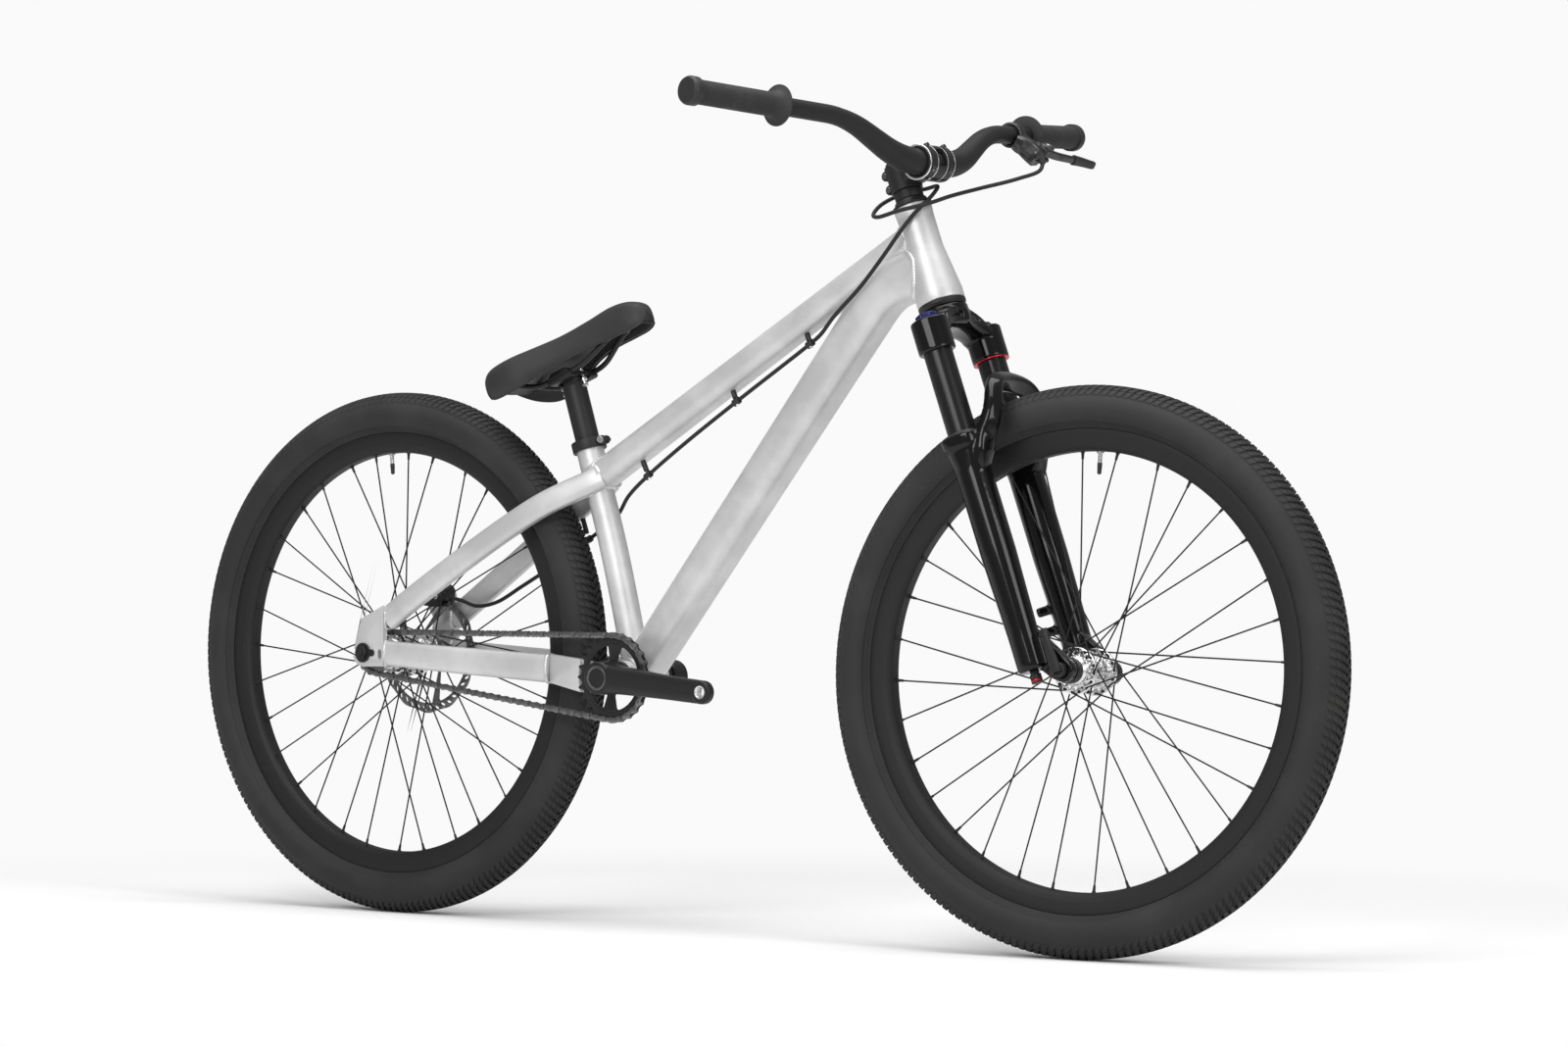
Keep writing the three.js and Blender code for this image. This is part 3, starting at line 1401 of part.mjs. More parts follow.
function tyreProfile() {
  const half = [
    [tyreRadius - treadCrown, treadHalf],
    [bellyRadius, tyreWidth / 2],
    [rimRadius + fit * 2, rimHalf],
    [beadSeat + fit, rimHalf - rimWall - fit * 2],
    [bellyRadius, tyreWidth / 2 - sideWall * 2],
  ];
  const inner = tyreRadius - sideWall * 2;
  return [[tyreRadius, 0], ...half, [inner, 0], ...half.map(([radius, y]) => [radius, -y]).reverse()];
}

const tyre = (place) => revolve(tyreProfile(), wheelSegments, place);

// Three-cross lacing. Each spoke runs from beside its flange, at the hole circle, to the rim's floor.
const holesPerFlange = spokesPerWheel / 2;
const crossings = 3;
const laceTurn = crossings * 2 * Math.PI / holesPerFlange;
const spokeSides = 3;

function spokeEnds(index, hub, phase) {
  const rimTurn = phase - index * 2 * Math.PI / spokesPerWheel;
  const side = index % 2 === 0 ? 1 : -1;
  const leading = index % 4 < 2 ? 1 : -1;
  const flangeTurn = rimTurn + leading * laceTurn;
  const flangeY = side > 0 ? hub.left : hub.right;
  const outerSide = side * leading > 0;
  const beside = (flangeThin / 2 + fit + spokeRadius + (outerSide ? spokeElbow : 0)) * leading;
  const start = point(hub.holes * Math.cos(flangeTurn), flangeY + beside, hub.holes * Math.sin(flangeTurn));
  const outwards = point(Math.cos(rimTurn), 0, Math.sin(rimTurn));
  const end = outwards.clone().multiplyScalar(rimFloor + rimWall).add(point(0, rimHalf / 4 * side, 0));
  return [start, end];
}

const flangeThin = 3.2;
const spokeElbow = 1.3;

const valveRadius = 3;
const valveLength = 40;

function lacedRim(hub, phase, valvePhase, place) {
  const rim = revolve(rimProfile(), wheelSegments, placing(point(0, 0, 0), alongY));
  const spokes = Array.from({ length: spokesPerWheel }, (_, i) =>
    bar(...spokeEnds(i, hub, phase), spokeRadius, spokeSides, nippleRadius));
  const outwards = point(Math.cos(valvePhase), 0, Math.sin(valvePhase));
  const valve = bar(outwards.clone().multiplyScalar(rimFloor + rimDepth / 2),
    outwards.clone().multiplyScalar(rimFloor - valveLength + rimDepth / 2), valveRadius, spokeSides + 2);
  const laced = wasm.Manifold.union([rim, valve, ...spokes]);
  return laced.transform(place.elements);
}

// Hub places are along the axle from the middle of the wheel, the left side positive
const frontHub = { right: -28, left: 22, holes: 25, rim: 28, barrel: 16.5, nose: 14, disc: 20, discFace: 40 };
const rearHub = { right: -20, left: 30, holes: 27, rim: 30, barrel: 18, nose: 13.5, disc: 22, discFace: 50.8 };
const hubSegments = 10;

// A hub as one turned body: nose, right flange, barrel, left flange and the seat of a rotor.
function hubShell(hub, halfWidth, bore, place) {
  const thin = flangeThin / 2;
  return revolve([
    [bore, -halfWidth + fit],
    [hub.nose, -halfWidth + fit],
    [hub.nose, hub.right - thin * 4],
    [hub.barrel, hub.right - thin * 4],
    [hub.barrel, hub.right - thin],
    [hub.rim, hub.right - thin],
    [hub.rim, hub.right + thin],
    [hub.barrel, hub.right + thin],
    [hub.barrel, hub.left - thin],
    [hub.rim, hub.left - thin],
    [hub.rim, hub.left + thin],
    [hub.barrel, hub.left + thin],
    [hub.disc, hub.discFace - thin * 2],
    [hub.disc, hub.discFace],
    [hub.nose, hub.discFace],
    [hub.nose, halfWidth - fit],
    [bore, halfWidth - fit],
  ], hubSegments, place);
}

// Rotor: a toothed rim carried by curved arms on a centre ring

const rotorRadius = 80;
const rotorThickness = 1.8;
const rotorY = 52;
const rotorTrack = 13;
const rotorArms = 5;
const rotorHub = 24;
const rotorWaves = 12;
const rotorWaveShare = 0.03;
const rotorHoleShare = 0.8;

function rotor() {
  const outline = new THREE.Shape();
  const steps = rotorWaves * 2;
  for (let i = 0; i < steps; i += 1) {
    const turn = 2 * Math.PI * i / steps;
    const radius = rotorRadius * (i % 2 === 0 ? 1 : 1 - rotorWaveShare);
    outline[i === 0 ? 'moveTo' : 'lineTo'](radius * Math.cos(turn), radius * Math.sin(turn));
  }
  outline.closePath();
  const inner = rotorRadius - rotorTrack;
  const sector = 2 * Math.PI / rotorArms;
  for (let i = 0; i < rotorArms; i += 1) {
    const turn = i * sector;
    const swirl = sector / 2;
    const hole = new THREE.Path();
    hole.absarc(0, 0, inner, turn, turn + sector * rotorHoleShare, false);
    hole.absarc(0, 0, rotorHub, turn + swirl + sector * rotorHoleShare, turn + swirl, true);
    hole.closePath();
    outline.holes.push(hole);
  }
  const disc = plate(outline, rotorY - rotorThickness / 2, rotorY + rotorThickness / 2);
  const bore = rod(rearHub.nose + fit, rotorY - overrun, rotorY + overrun, hubSegments,
    placing(point(0, 0, 0), alongY));
  return cut(disc, bore).translate(rearAxle.toArray());
}

// Caliper over the rotor, between the left stays, with its two pads

const caliperAngle = 85 * degree;
const caliperRadius = 75;
const caliperLength = 52;
const caliperHeight = 30;
const caliperInner = 13;
const caliperOuter = dropoutInner - fit - rotorY;
const padThickness = 4;
const padGap = 0.8;
const padLength = 24;
const padHeight = 14;
const caliperCentre = point(caliperRadius * Math.cos(caliperAngle), rotorY, caliperRadius * Math.sin(caliperAngle))
  .add(rearAxle);
const caliperTurn = new THREE.Matrix4().makeRotationY(Math.PI / 2 - caliperAngle).setPosition(caliperCentre);
const caliperSlotHalf = rotorThickness / 2 + padGap + padThickness + fit * 2;

const box = (fromX, toX, fromY, toY, fromZ, toZ) =>
  plate([[fromX, fromZ], [toX, fromZ], [toX, toZ], [fromX, toZ]], fromY, toY);

function caliper() {
  const half = caliperLength / 2;
  const low = -caliperHeight / 2;
  const shoulder = half * 3 / 4;
  const body = plate([
    [-half, low + caliperHeight / 3],
    [-shoulder, low],
    [shoulder, low],
    [half, low + caliperHeight / 3],
    [half, caliperHeight / 3],
    [shoulder, caliperHeight / 2],
    [-shoulder, caliperHeight / 2],
    [-half, caliperHeight / 3],
  ], -caliperInner, caliperOuter);
  const slot = box(-half - overrun, half + overrun, -rotorThickness / 2 - padGap, rotorThickness / 2 + padGap,
    low - overrun, caliperHeight / 4);
  const padRoom = box(-padLength / 2 - fit, padLength / 2 + fit, -caliperSlotHalf, caliperSlotHalf,
    low - overrun, padHeight / 2 + fit);
  return cut(body, slot, padRoom).transform(caliperTurn.elements);
}

function pad(side) {
  const near = rotorThickness / 2 + padGap;
  return sidePlate([
    [-padLength / 2, -padHeight / 2],
    [padLength / 2, -padHeight / 2],
    [padLength / 2, padHeight / 2],
    [-padLength / 2, padHeight / 2],
  ], side, near, near + padThickness).transform(caliperTurn.elements);
}

// Sprockets

// A tooth ring: rollers sit in round gaps between teeth that narrow to blunt tips.
function sprocketOutline(teeth, turn) {
  const radius = pitchRadius(teeth);
  const shape = new THREE.Shape();
  const valley = radius - rollerRadius;
  const tip = radius + toothTip;
  const step = 2 * Math.PI / teeth;
  const spots = [[valley, -gapShare], [valley, gapShare], [tip, 1 / 2 - tipShare], [tip, 1 / 2 + tipShare]];
  for (let i = 0; i < teeth; i += 1) {
    spots.forEach(([r, share], k) => {
      const angle = turn + (i + share) * step;
      shape[i + k === 0 ? 'moveTo' : 'lineTo'](r * Math.cos(angle), r * Math.sin(angle));
    });
  }
  shape.closePath();
  return shape;
}

const rollerRadius = 3.4;
const toothTip = 3.4;
const gapShare = 0.1;
const tipShare = 0.06;
const toothThickness = 2;

// Chain: the roller places round both sprockets, one pitch apart

function rollerAt(step) {
  const gain = wrapGain(chainstayLength);
  const ringWrap = (Math.PI + 2 * gain) * ringTeeth / (2 * Math.PI);
  const cogWrap = (Math.PI - 2 * gain) * cogTeeth / (2 * Math.PI);
  const run = straightRun(chainstayLength) / chainPitch;
  const top = Math.PI / 2 + gain;
  if (step < ringWrap) {
    const turn = top - step * 2 * Math.PI / ringTeeth;
    return [chainstayLength + ringPitchRadius * Math.cos(turn), ringPitchRadius * Math.sin(turn)];
  }
  if (step < ringWrap + run) {
    return alongRun(-top, (step - ringWrap) / run, true);
  }
  if (step < ringWrap + run + cogWrap) {
    const turn = -top - (step - ringWrap - run) * 2 * Math.PI / cogTeeth;
    return [cogPitchRadius * Math.cos(turn), cogPitchRadius * Math.sin(turn)];
  }
  return alongRun(top, (step - ringWrap - run - cogWrap) / run, false);
}

// A place along one of the two straight runs, which touch both pitch circles at the same turn.
function alongRun(turn, share, rearward) {
  const away = rearward ? 1 - share : share;
  const radius = blend(cogPitchRadius, ringPitchRadius, away);
  return [chainstayLength * away + radius * Math.cos(turn), radius * Math.sin(turn)];
}

// Chain places are laid out on a level line of centres, then tipped to the real one.
function onChain([along, up], y) {
  const cosine = Math.cos(chainRise);
  const sine = Math.sin(chainRise);
  return point(along * cosine - up * sine, y, along * sine + up * cosine).add(rearAxle);
}

const linkHalfHeight = 4;
const linkWaistHalf = 2.7;
const linkPlate = 1.2;
const linkSideMiddle = 3;         // from the chain's middle to the middle of a side plate, at a roller
const linkSideStep = 0.6;         // how far inner plates lie in and outer plates lie out, between rollers

// One side of the chain, as a closed ribbon: full height at each roller and waisted between. The plates
// between the rollers lie by turns inside and outside, as inner and outer links do.
function chainSide(rollers, side) {
  const stations = rollers.flatMap((spot, i) => {
    const next = rollers[(i + 1) % rollers.length];
    const step = i % 2 === 0 ? linkSideStep : -linkSideStep;
    return [
      { spot, half: linkHalfHeight, y: linkSideMiddle },
      { spot: spot.clone().lerp(next, 1 / 2), half: linkWaistHalf, y: linkSideMiddle + step },
    ];
  });
  const corners = [];
  const places = stations.flatMap(({ spot, half, y }, i) => {
    const before = stations[(i + stations.length - 1) % stations.length].spot;
    const after = stations[(i + 1) % stations.length].spot;
    const upward = after.clone().sub(before).normalize().cross(alongY).multiplyScalar(half);
    for (let k = 0; k < 4; k += 1) {
      const a = 4 * i + k;
      const b = 4 * i + (k + 1) % 4;
      const wrap = 4 * stations.length;
      corners.push(a, b, (b + 4) % wrap, a, (b + 4) % wrap, (a + 4) % wrap);
    }
    return [[1, 1], [1, -1], [-1, -1], [-1, 1]].flatMap(([high, out]) =>
      spot.clone().addScaledVector(upward, high)
        .addScaledVector(alongY, side * (y + out * linkPlate / 2)).toArray());
  });
  const geometry = new THREE.BufferGeometry();
  geometry.setAttribute('position', new THREE.Float32BufferAttribute(places, 3));
  geometry.setIndex(corners);
  return solid(geometry);
}

function chain() {
  const rollers = Array.from({ length: chainLinks }, (_, i) => onChain(rollerAt(i), -chainLine));
  const pins = rollers.map((spot, i) => {
    const before = rollers[(i + chainLinks - 1) % chainLinks];
    const after = rollers[(i + 1) % chainLinks];
    return rod(rollerRadius - fit, -linkSideMiddle, linkSideMiddle, rollerSides,
      placing(spot, alongY, before.clone().sub(after)));
  });
  return wasm.Manifold.union([...sides.map(([, side]) => chainSide(rollers, side)), ...pins]);
}

const rollerSides = 3;

// Rear cog on the hub's driver, and the chainring with its arms

const driverOuter = 17;
const cogDish = 3;

function rearCog() {
  const turn = -Math.PI / 2 - wrapGain(chainstayLength) + chainRise + cogPhase();
  const disc = plate(sprocketOutline(cogTeeth, turn), -chainLine - toothThickness / 2,
    -chainLine + toothThickness / 2);
  const boreRadius = around(rearHub.nose, hubSegments);
  const axis = placing(point(0, 0, 0), alongY);
  const carrier = pipe(driverOuter, boreRadius, -chainLine - cogDish, -chainLine + cogDish, hubSegments, axis);
  const bore = rod(boreRadius, -chainLine - overrun, -chainLine + overrun, hubSegments, axis);
  return joined(cut(disc, bore), carrier).translate(rearAxle.toArray());
}

// The first roller on the cog lies a part of a pitch round from where the lower run meets it.
function cogPhase() {
  const ringWrap = (Math.PI + 2 * wrapGain(chainstayLength)) * ringTeeth / (2 * Math.PI);
  const start = ringWrap + straightRun(chainstayLength) / chainPitch;
  return -(Math.ceil(start) - start) * 2 * Math.PI / cogTeeth;
}

const ringArms = 4;
const ringBand = 9;
const ringHub = 21;
const ringHoleShare = 0.66;

function chainring() {
  const turn = Math.PI / 2 + wrapGain(chainstayLength) + chainRise;
  const outline = sprocketOutline(ringTeeth, turn);
  const sector = 2 * Math.PI / ringArms;
  for (let i = 0; i < ringArms; i += 1) {
    const start = crankAngle + sector * (i + (1 - ringHoleShare) / 2);
    const end = start + sector * ringHoleShare;
    const hole = new THREE.Path();
    hole.absarc(0, 0, ringPitchRadius - rollerRadius - ringBand, start, end, false);
    hole.absarc(0, 0, ringHub, end, start, true);
    hole.closePath();
    outline.holes.push(hole);
  }
  const disc = plate(outline, -chainLine - toothThickness / 2, -chainLine + toothThickness / 2);
  const bore = rod(spindleRadius + fit, -chainLine - overrun, -chainLine + overrun, hubSegments,
    placing(point(0, 0, 0), alongY));
  return cut(disc, bore).translate(bottomBracket.toArray());
}

// Cranks. The right arm holds the spindle, which passes through the shell to the left arm.

const ringOuterFace = chainLine + toothThickness / 2;
const rightBossFrom = ringOuterFace + fit;
const rightBossTo = 82;
const leftBossFrom = 50;
const leftBossTo = 76;
const bossRadius = 21;
const eyeRadius = 14.5;
const eyeBore = 7.1;
const armThickness = 13;
const armMidHalf = 17;
const crankBoltRadius = 10.5;
const crankSegments = 10;
const spindleClear = 4;

// An arm as a row of sections from the boss to the pedal eye, its outer face bowed outwards.
function crankArm(side, bossFrom, bossTo, angle) {
  const way = point(Math.cos(angle), 0, Math.sin(angle));
  const eyeOuter = bossTo + 8;
  const stations = [
    { share: 0, half: bossRadius - 2, from: bossFrom, to: bossTo },
    { share: 0.25, half: armMidHalf, from: bossFrom + 4, to: bossTo + 2 },
    { share: 0.65, half: armMidHalf - 2, from: eyeOuter - armThickness - 4, to: eyeOuter - 2 },
    { share: 1, half: eyeRadius, from: eyeOuter - armThickness, to: eyeOuter },
  ];
  const arm = loft(stations.map(({ share, half, from, to }) => ring(
    way.clone().multiplyScalar(crankLength * share).add(point(0, side * (from + to) / 2, 0)),
    way, alongY, (to - from) / 2, half, downTubeSquareness + 1, crownCount)));
  const boss = rod(bossRadius, bossFrom, bossTo, crankSegments, placing(point(0, 0, 0), point(0, side, 0)));
  const eyePlace = placing(way.clone().multiplyScalar(crankLength), point(0, side, 0));
  const eye = rod(eyeRadius, eyeOuter - armThickness, eyeOuter, crankSegments, eyePlace);
  const bore = rod(eyeBore, 0, eyeOuter + overrun, crankSegments, eyePlace);
  return cut(joined(arm, boss, eye), bore);
}

function rightCrank() {
  const arm = crankArm(-1, rightBossFrom, rightBossTo, crankAngle);
  const spindle = rod(spindleRadius, -rightBossFrom - overrun, leftBossTo - spindleClear, crankSegments,
    placing(point(0, 0, 0), alongY));
  return joined(arm, spindle).translate(bottomBracket.toArray());
}

function leftCrank() {
  const arm = crankArm(1, leftBossFrom, leftBossTo, crankAngle + Math.PI);
  const spindleBore = rod(spindleRadius + fit, leftBossFrom - overrun, leftBossTo - spindleClear + fit,
    crankSegments, placing(point(0, 0, 0), alongY));
  const boltBore = rod(crankBoltRadius + fit, leftBossFrom, leftBossTo + overrun, crankSegments,
    placing(point(0, 0, 0), alongY));
  return cut(arm, spindleBore, boltBore).translate(bottomBracket.toArray());
}

const crankBoltReach = 1.5;
const crankBolt = () => rod(crankBoltRadius, leftBossTo - spindleClear + fit, leftBossTo + crankBoltReach,
  crankSegments, placing(bottomBracket, alongY));

// The hose as a tube along its route

function hose(route, radius = hoseRadius) {
  const curve = new THREE.CatmullRomCurve3(route, false, 'centripetal');
  const circle = new THREE.Shape();
  circle.absarc(0, 0, radius, 0, 2 * Math.PI, false);
  const geometry = new THREE.ExtrudeGeometry(circle, {
    steps: hoseSteps,
    curveSegments: hoseSides / 2,
    extrudePath: curve,
    bevelEnabled: false,
  });
  return solid(geometry);
}

// The whole bike

function addFrame() {
  piece('head_tube', headTube(), rawAluminium);
  piece('top_tube', topTube(), rawAluminium);
  piece('down_tube', downTube(), rawAluminium);
  piece('seat_tube', seatTube(), rawAluminium);
  piece('bottom_bracket_shell', bottomBracketShell(), rawAluminium);
  piece('chainstay_yoke', yoke(), rawAluminium);
  for (const [name, side] of sides) {
    piece(`dropout_${name}`, dropout(side), rawAluminium);
    piece(`chainstay_${name}`, chainstay(side), rawAluminium);
    piece(`seatstay_${name}`, seatstay(side), rawAluminium);
    piece(`bottom_bracket_cup_${name}`, bottomBracketCup(side), blackMetal);
  }
  piece('headset_lower_cup', lowerCup(), blackMetal);
  piece('headset_upper_cup', upperCup(), blackMetal);
  piece('rear_axle', rearAxleRod(), blackMetal);
  piece('seat_collar', seatCollar(), blackMetal);
  piece('brake_caliper', caliper(), blackMetal);
  piece('brake_pad_outer', pad(1), steel);
  piece('brake_pad_inner', pad(-1), steel);
  piece('brake_hose_rear', hose(hoseRearRoute), blackPlastic);
  piece('brake_hose_front', hose(hoseFrontRoute()), blackPlastic);
}

function addSeat() {
  piece('seatpost', seatpost(), blackMetal);
  piece('saddle_cradle', saddleCradle(), blackMetal);
  piece('saddle_clamp', clampCap(), blackMetal);
  piece('saddle_rails', saddleRails(), blackMetal);
  piece('saddle_base', saddleBase(), blackPlastic);
  piece('saddle_cover', saddleCover(), saddleCloth);
}

function addFork() {
  piece('steerer', steerer(), steel, steering);
  piece('fork_crown', crown(), glossBlack, steering);
  for (const [name, side] of sides) {
    piece(`stanchion_${name}`, stanchion(side), glossBlack, steering);
  }
  piece('compression_dial', compressionDial(), blueMetal, steering);
  piece('fork_lowers', lowers(), glossBlack, steering);
  piece('rebound_knob', reboundKnob(), redMetal, steering);
  piece('front_axle', frontAxleRod(), blackMetal, steering);
  piece('axle_lever', camLever(), blackMetal, steering);
}

function addCockpit() {
  piece('headset_spacer', spacer(), blackMetal, cockpit);
  piece('stem', stemBody(), blackMetal, cockpit);
  piece('stem_faceplate', faceplate(), blackMetal, cockpit);
  piece('stem_cap', stemCap(), blackMetal, cockpit);
  piece('handlebar', handlebar(), blackMetal, cockpit);
  for (const [name, side] of sides) {
    piece(`grip_${name}`, grip(side), rubber, cockpit);
  }
  piece('brake_lever_body', leverBody(), blackMetal, cockpit);
  piece('brake_lever_blade', leverBlade(), blackMetal, cockpit);
}

// Where the first spoke and the valve stand round each wheel
const rearPhase = 89 * degree;
const rearValvePhase = 94.7 * degree;
const frontPhase = 93.65 * degree;
const frontValvePhase = 88 * degree;

function addWheels() {
  const rearPlace = placing(rearAxle, alongY);
  const rearMove = new THREE.Matrix4().setPosition(rearAxle);
  const frontPlace = placing(point(forkOffset, 0, 0), alongY);
  const frontMove = new THREE.Matrix4().setPosition(point(forkOffset, 0, 0));
  const lean = Math.PI / 2 - headAngle;
  piece('rear_tyre', tyre(rearPlace), rubber);
  piece('rear_rim_and_spokes', lacedRim(rearHub, rearPhase, rearValvePhase, rearMove), blackMetal);
  piece('rear_hub', hubShell(rearHub, rearHubWidth / 2, around(axleRadius, hubSegments), rearPlace), polished);
  piece('brake_rotor', rotor(), steel);
  piece('rear_cog', rearCog(), steel);
  piece('front_tyre', tyre(frontPlace), rubber, steering);
  piece('front_rim_and_spokes', lacedRim(frontHub, frontPhase - lean, frontValvePhase - lean, frontMove), blackMetal,
    steering);
  piece('front_hub', hubShell(frontHub, frontHubWidth / 2, around(frontAxleRadius, hubSegments), frontPlace), polished,
    steering);
}

function addDrive() {
  piece('crank_arm_right', rightCrank(), blackMetal);
  piece('crank_arm_left', leftCrank(), blackMetal);
  piece('crank_bolt', crankBolt(), blackMetal);
  piece('chainring', chainring(), blackMetal);
  piece('chain', chain(), steel);
}

addFrame();
addSeat();
addFork();
addCockpit();
addWheels();
addDrive();

// The origin is the bottom centre of the bike's box.
bike.updateMatrixWorld(true);
const extent = new THREE.Box3().setFromObject(bike, true);
const middle = extent.getCenter(point(0, 0, 0));
bike.position.set(-middle.x, -middle.y, -extent.min.z);
bike.updateMatrixWorld(true);

export default bike;
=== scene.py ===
# %% [markdown]
# # A dirt jump bike, dressed for its photograph
# CAD gives every piece of the bike as a plain solid in its right place, with its joints. This lesson builds
# the pieces that show: round tubes with weld beads, laced wheels, a toothed drive and a cast fork. Each one
# stands for a solid and rides on the same moving body, so the dressed bike still steers, spins and brakes.

import math

import bmesh
import bpy
import numpy as np
from mathutils import Matrix, Vector


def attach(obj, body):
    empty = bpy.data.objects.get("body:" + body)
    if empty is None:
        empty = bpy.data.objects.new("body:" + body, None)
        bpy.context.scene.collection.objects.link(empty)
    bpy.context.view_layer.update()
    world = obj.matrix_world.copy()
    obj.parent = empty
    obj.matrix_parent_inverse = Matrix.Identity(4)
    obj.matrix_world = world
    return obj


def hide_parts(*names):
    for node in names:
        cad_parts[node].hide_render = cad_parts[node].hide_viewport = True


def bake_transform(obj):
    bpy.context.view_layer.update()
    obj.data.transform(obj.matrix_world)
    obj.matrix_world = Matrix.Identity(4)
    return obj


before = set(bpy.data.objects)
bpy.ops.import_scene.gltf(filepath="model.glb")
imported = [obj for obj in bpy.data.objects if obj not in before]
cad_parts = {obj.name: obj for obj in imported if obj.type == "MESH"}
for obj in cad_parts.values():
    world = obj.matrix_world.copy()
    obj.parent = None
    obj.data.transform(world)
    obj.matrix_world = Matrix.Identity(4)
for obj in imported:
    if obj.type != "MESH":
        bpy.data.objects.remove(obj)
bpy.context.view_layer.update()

# %% [markdown]
# ## The maker's drawing
# A frame builder draws in millimetres from the rear axle, x forward, y to the rider's left, z up from the
# floor. The solids are in metres from the middle of the bike's box. All shapes below are drawn in the first
# way, and one function turns them into the second. The fork is drawn along the steering axis, which leans
# back by 21 degrees, and the wheel in the photograph is turned 6.7 degrees to the left while the bar is
# square.

# %% Frames and named places
tyre_radius, wheelbase, fork_offset = 336, 1068, 42
box_middle = 532.8189              # how far the middle of the box lies ahead of the rear axle
chainstay_length, bracket_drop = 396.003, 23
bracket_ahead = math.sqrt(chainstay_length ** 2 - bracket_drop ** 2)
ahead, across, up = Vector((1, 0, 0)), Vector((0, 1, 0)), Vector((0, 0, 1))
origin = Vector((0, 0, 0))
rear_axle = Vector((0, 0, tyre_radius))
bottom_bracket = Vector((bracket_ahead, 0, tyre_radius - bracket_drop))
axis_up = Vector((-0.358368, 0, 0.93358))
axis_ahead = Vector((0.93358, 0, 0.358368))
axis_foot = Vector((wheelbase, 0, tyre_radius)) - axis_ahead * fork_offset
head_lean, steered = math.radians(21), math.radians(6.7)
both_sides = ((-1, "right"), (1, "left"))


def placing(spot, z_way, x_way):
    """The matrix that puts a shape's own Z along one direction and its X as near another as it can."""
    z = Vector(z_way).normalized()
    x = (Vector(x_way) - z * z.dot(Vector(x_way))).normalized()
    turn = Matrix((x, z.cross(x), z)).transposed().to_4x4()
    return Matrix.Translation(Vector(spot)) @ turn


cockpit = placing(axis_foot, axis_up, axis_ahead)
fork = cockpit @ Matrix.Rotation(steered, 4, "Z")
bench = Matrix.Identity(4)
beside = placing(origin, -across, ahead)     # for plates drawn on X and Z, with their thickness to the right
lathe = placing(origin, across, ahead)       # for profiles turned about an axle
print("steering axis foot", tuple(round(v, 1) for v in axis_foot))

# %% [markdown]
# ## Tools for shapes
# Most of a bike is skins over rings: a tube is rings along a line, a hub is a profile turned about an axis.
# One small class collects points, faces and a wrap, which is how far round and how far along each corner
# lies, in metres. Brushed metal needs that wrap, because its grain follows the tube and not the room.

# %% Rings, lines and profiles
def blend(a, b, share):
    return a + (b - a) * share


def ring(centre, way, wide_way, half_wide, half_high, squareness=2, count=48):
    """A rounded outline square to a direction: 2 is an ellipse, 4 a soft box."""
    along = Vector(way).normalized()
    wide = (Vector(wide_way) - along * along.dot(Vector(wide_way))).normalized()
    high = along.cross(wide)
    spots = []
    for i in range(count):
        c, s = math.cos(2 * math.pi * i / count), math.sin(2 * math.pi * i / count)
        x = math.copysign(abs(c) ** (2 / squareness), c) * half_wide
        y = math.copysign(abs(s) ** (2 / squareness), s) * half_high
        spots.append(Vector(centre) + wide * x + high * y)
    return spots


def circle(radius, height, count=96):
    turns = [2 * math.pi * i / count for i in range(count)]
    return [Vector((radius * math.cos(t), radius * math.sin(t), height)) for t in turns]


def bezier(a, b, c, steps):
    shares = [i / steps for i in range(steps + 1)]
    return [a * (1 - t) ** 2 + b * 2 * t * (1 - t) + c * t * t for t in shares]


def rounded(corners, reach, steps=8, closed=False):
    """A line through corners, each one rounded from a distance before it to the same after it."""
    corners = [Vector(c[:3]) if len(c) > 2 else Vector((c[0], c[1], 0)) for c in corners]
    line = [] if closed else [corners[0]]
    for i in range(0 if closed else 1, len(corners) - (0 if closed else 1)):
        here, before, after = corners[i], corners[i - 1], corners[(i + 1) % len(corners)]
        room = min(reach, (before - here).length * 0.48, (after - here).length * 0.48)
        line += bezier(here + (before - here).normalized() * room, here,
                       here + (after - here).normalized() * room, steps)
    return line if closed else line + [corners[-1]]


def smooth_line(points, steps=8):
    """A centripetal curve through points, as a bent hose or stay takes."""
    spots = [np.array(p, float) for p in points]
    spots = [2 * spots[0] - spots[1]] + spots + [2 * spots[-1] - spots[-2]]
    line = []
    for a, b, c, d in zip(spots, spots[1:], spots[2:], spots[3:]):
        ka, kb, kc = (max(np.linalg.norm(q - p), 1e-6) ** 0.5 for p, q in ((a, b), (b, c), (c, d)))
        start = ((b - a) / ka - (c - a) / (ka + kb) + (c - b) / kb) * kb
        end = ((c - b) / kb - (d - b) / (kb + kc) + (d - c) / kc) * kb
        for t in np.linspace(0, 1, steps, endpoint=False):
            line.append(Vector(b * (2 * t**3 - 3 * t**2 + 1) + start * (t**3 - 2 * t**2 + t)
                               + c * (3 * t**2 - 2 * t**3) + end * (t**3 - t**2)))
    return line + [Vector(spots[-2])]


def eased(profile, ease=0.8, steps=3, closed=True):
    """A profile of [across, along] corners with each corner rounded a little, as a turned edge is."""
    return [(p.x, p.y) for p in rounded(profile, ease, steps, closed)]


def arc(centre, radius, start, end, steps=14):
    """Points on a circle between two angles in degrees."""
    turns = [math.radians(blend(start, end, i / steps)) for i in range(steps + 1)]
    return [(centre[0] + radius * math.cos(t), centre[1] + radius * math.sin(t)) for t in turns]


def round_hole(radius, count, centre=(0, 0)):
    return arc(centre, radius, 0, 360 * (count - 1) / count, count - 1)


def polar(radius, turn, y=0.0):
    """A place round an axle: radius, turn from straight ahead towards straight up, distance to the left."""
    return Vector((radius * math.cos(turn), y, radius * math.sin(turn)))


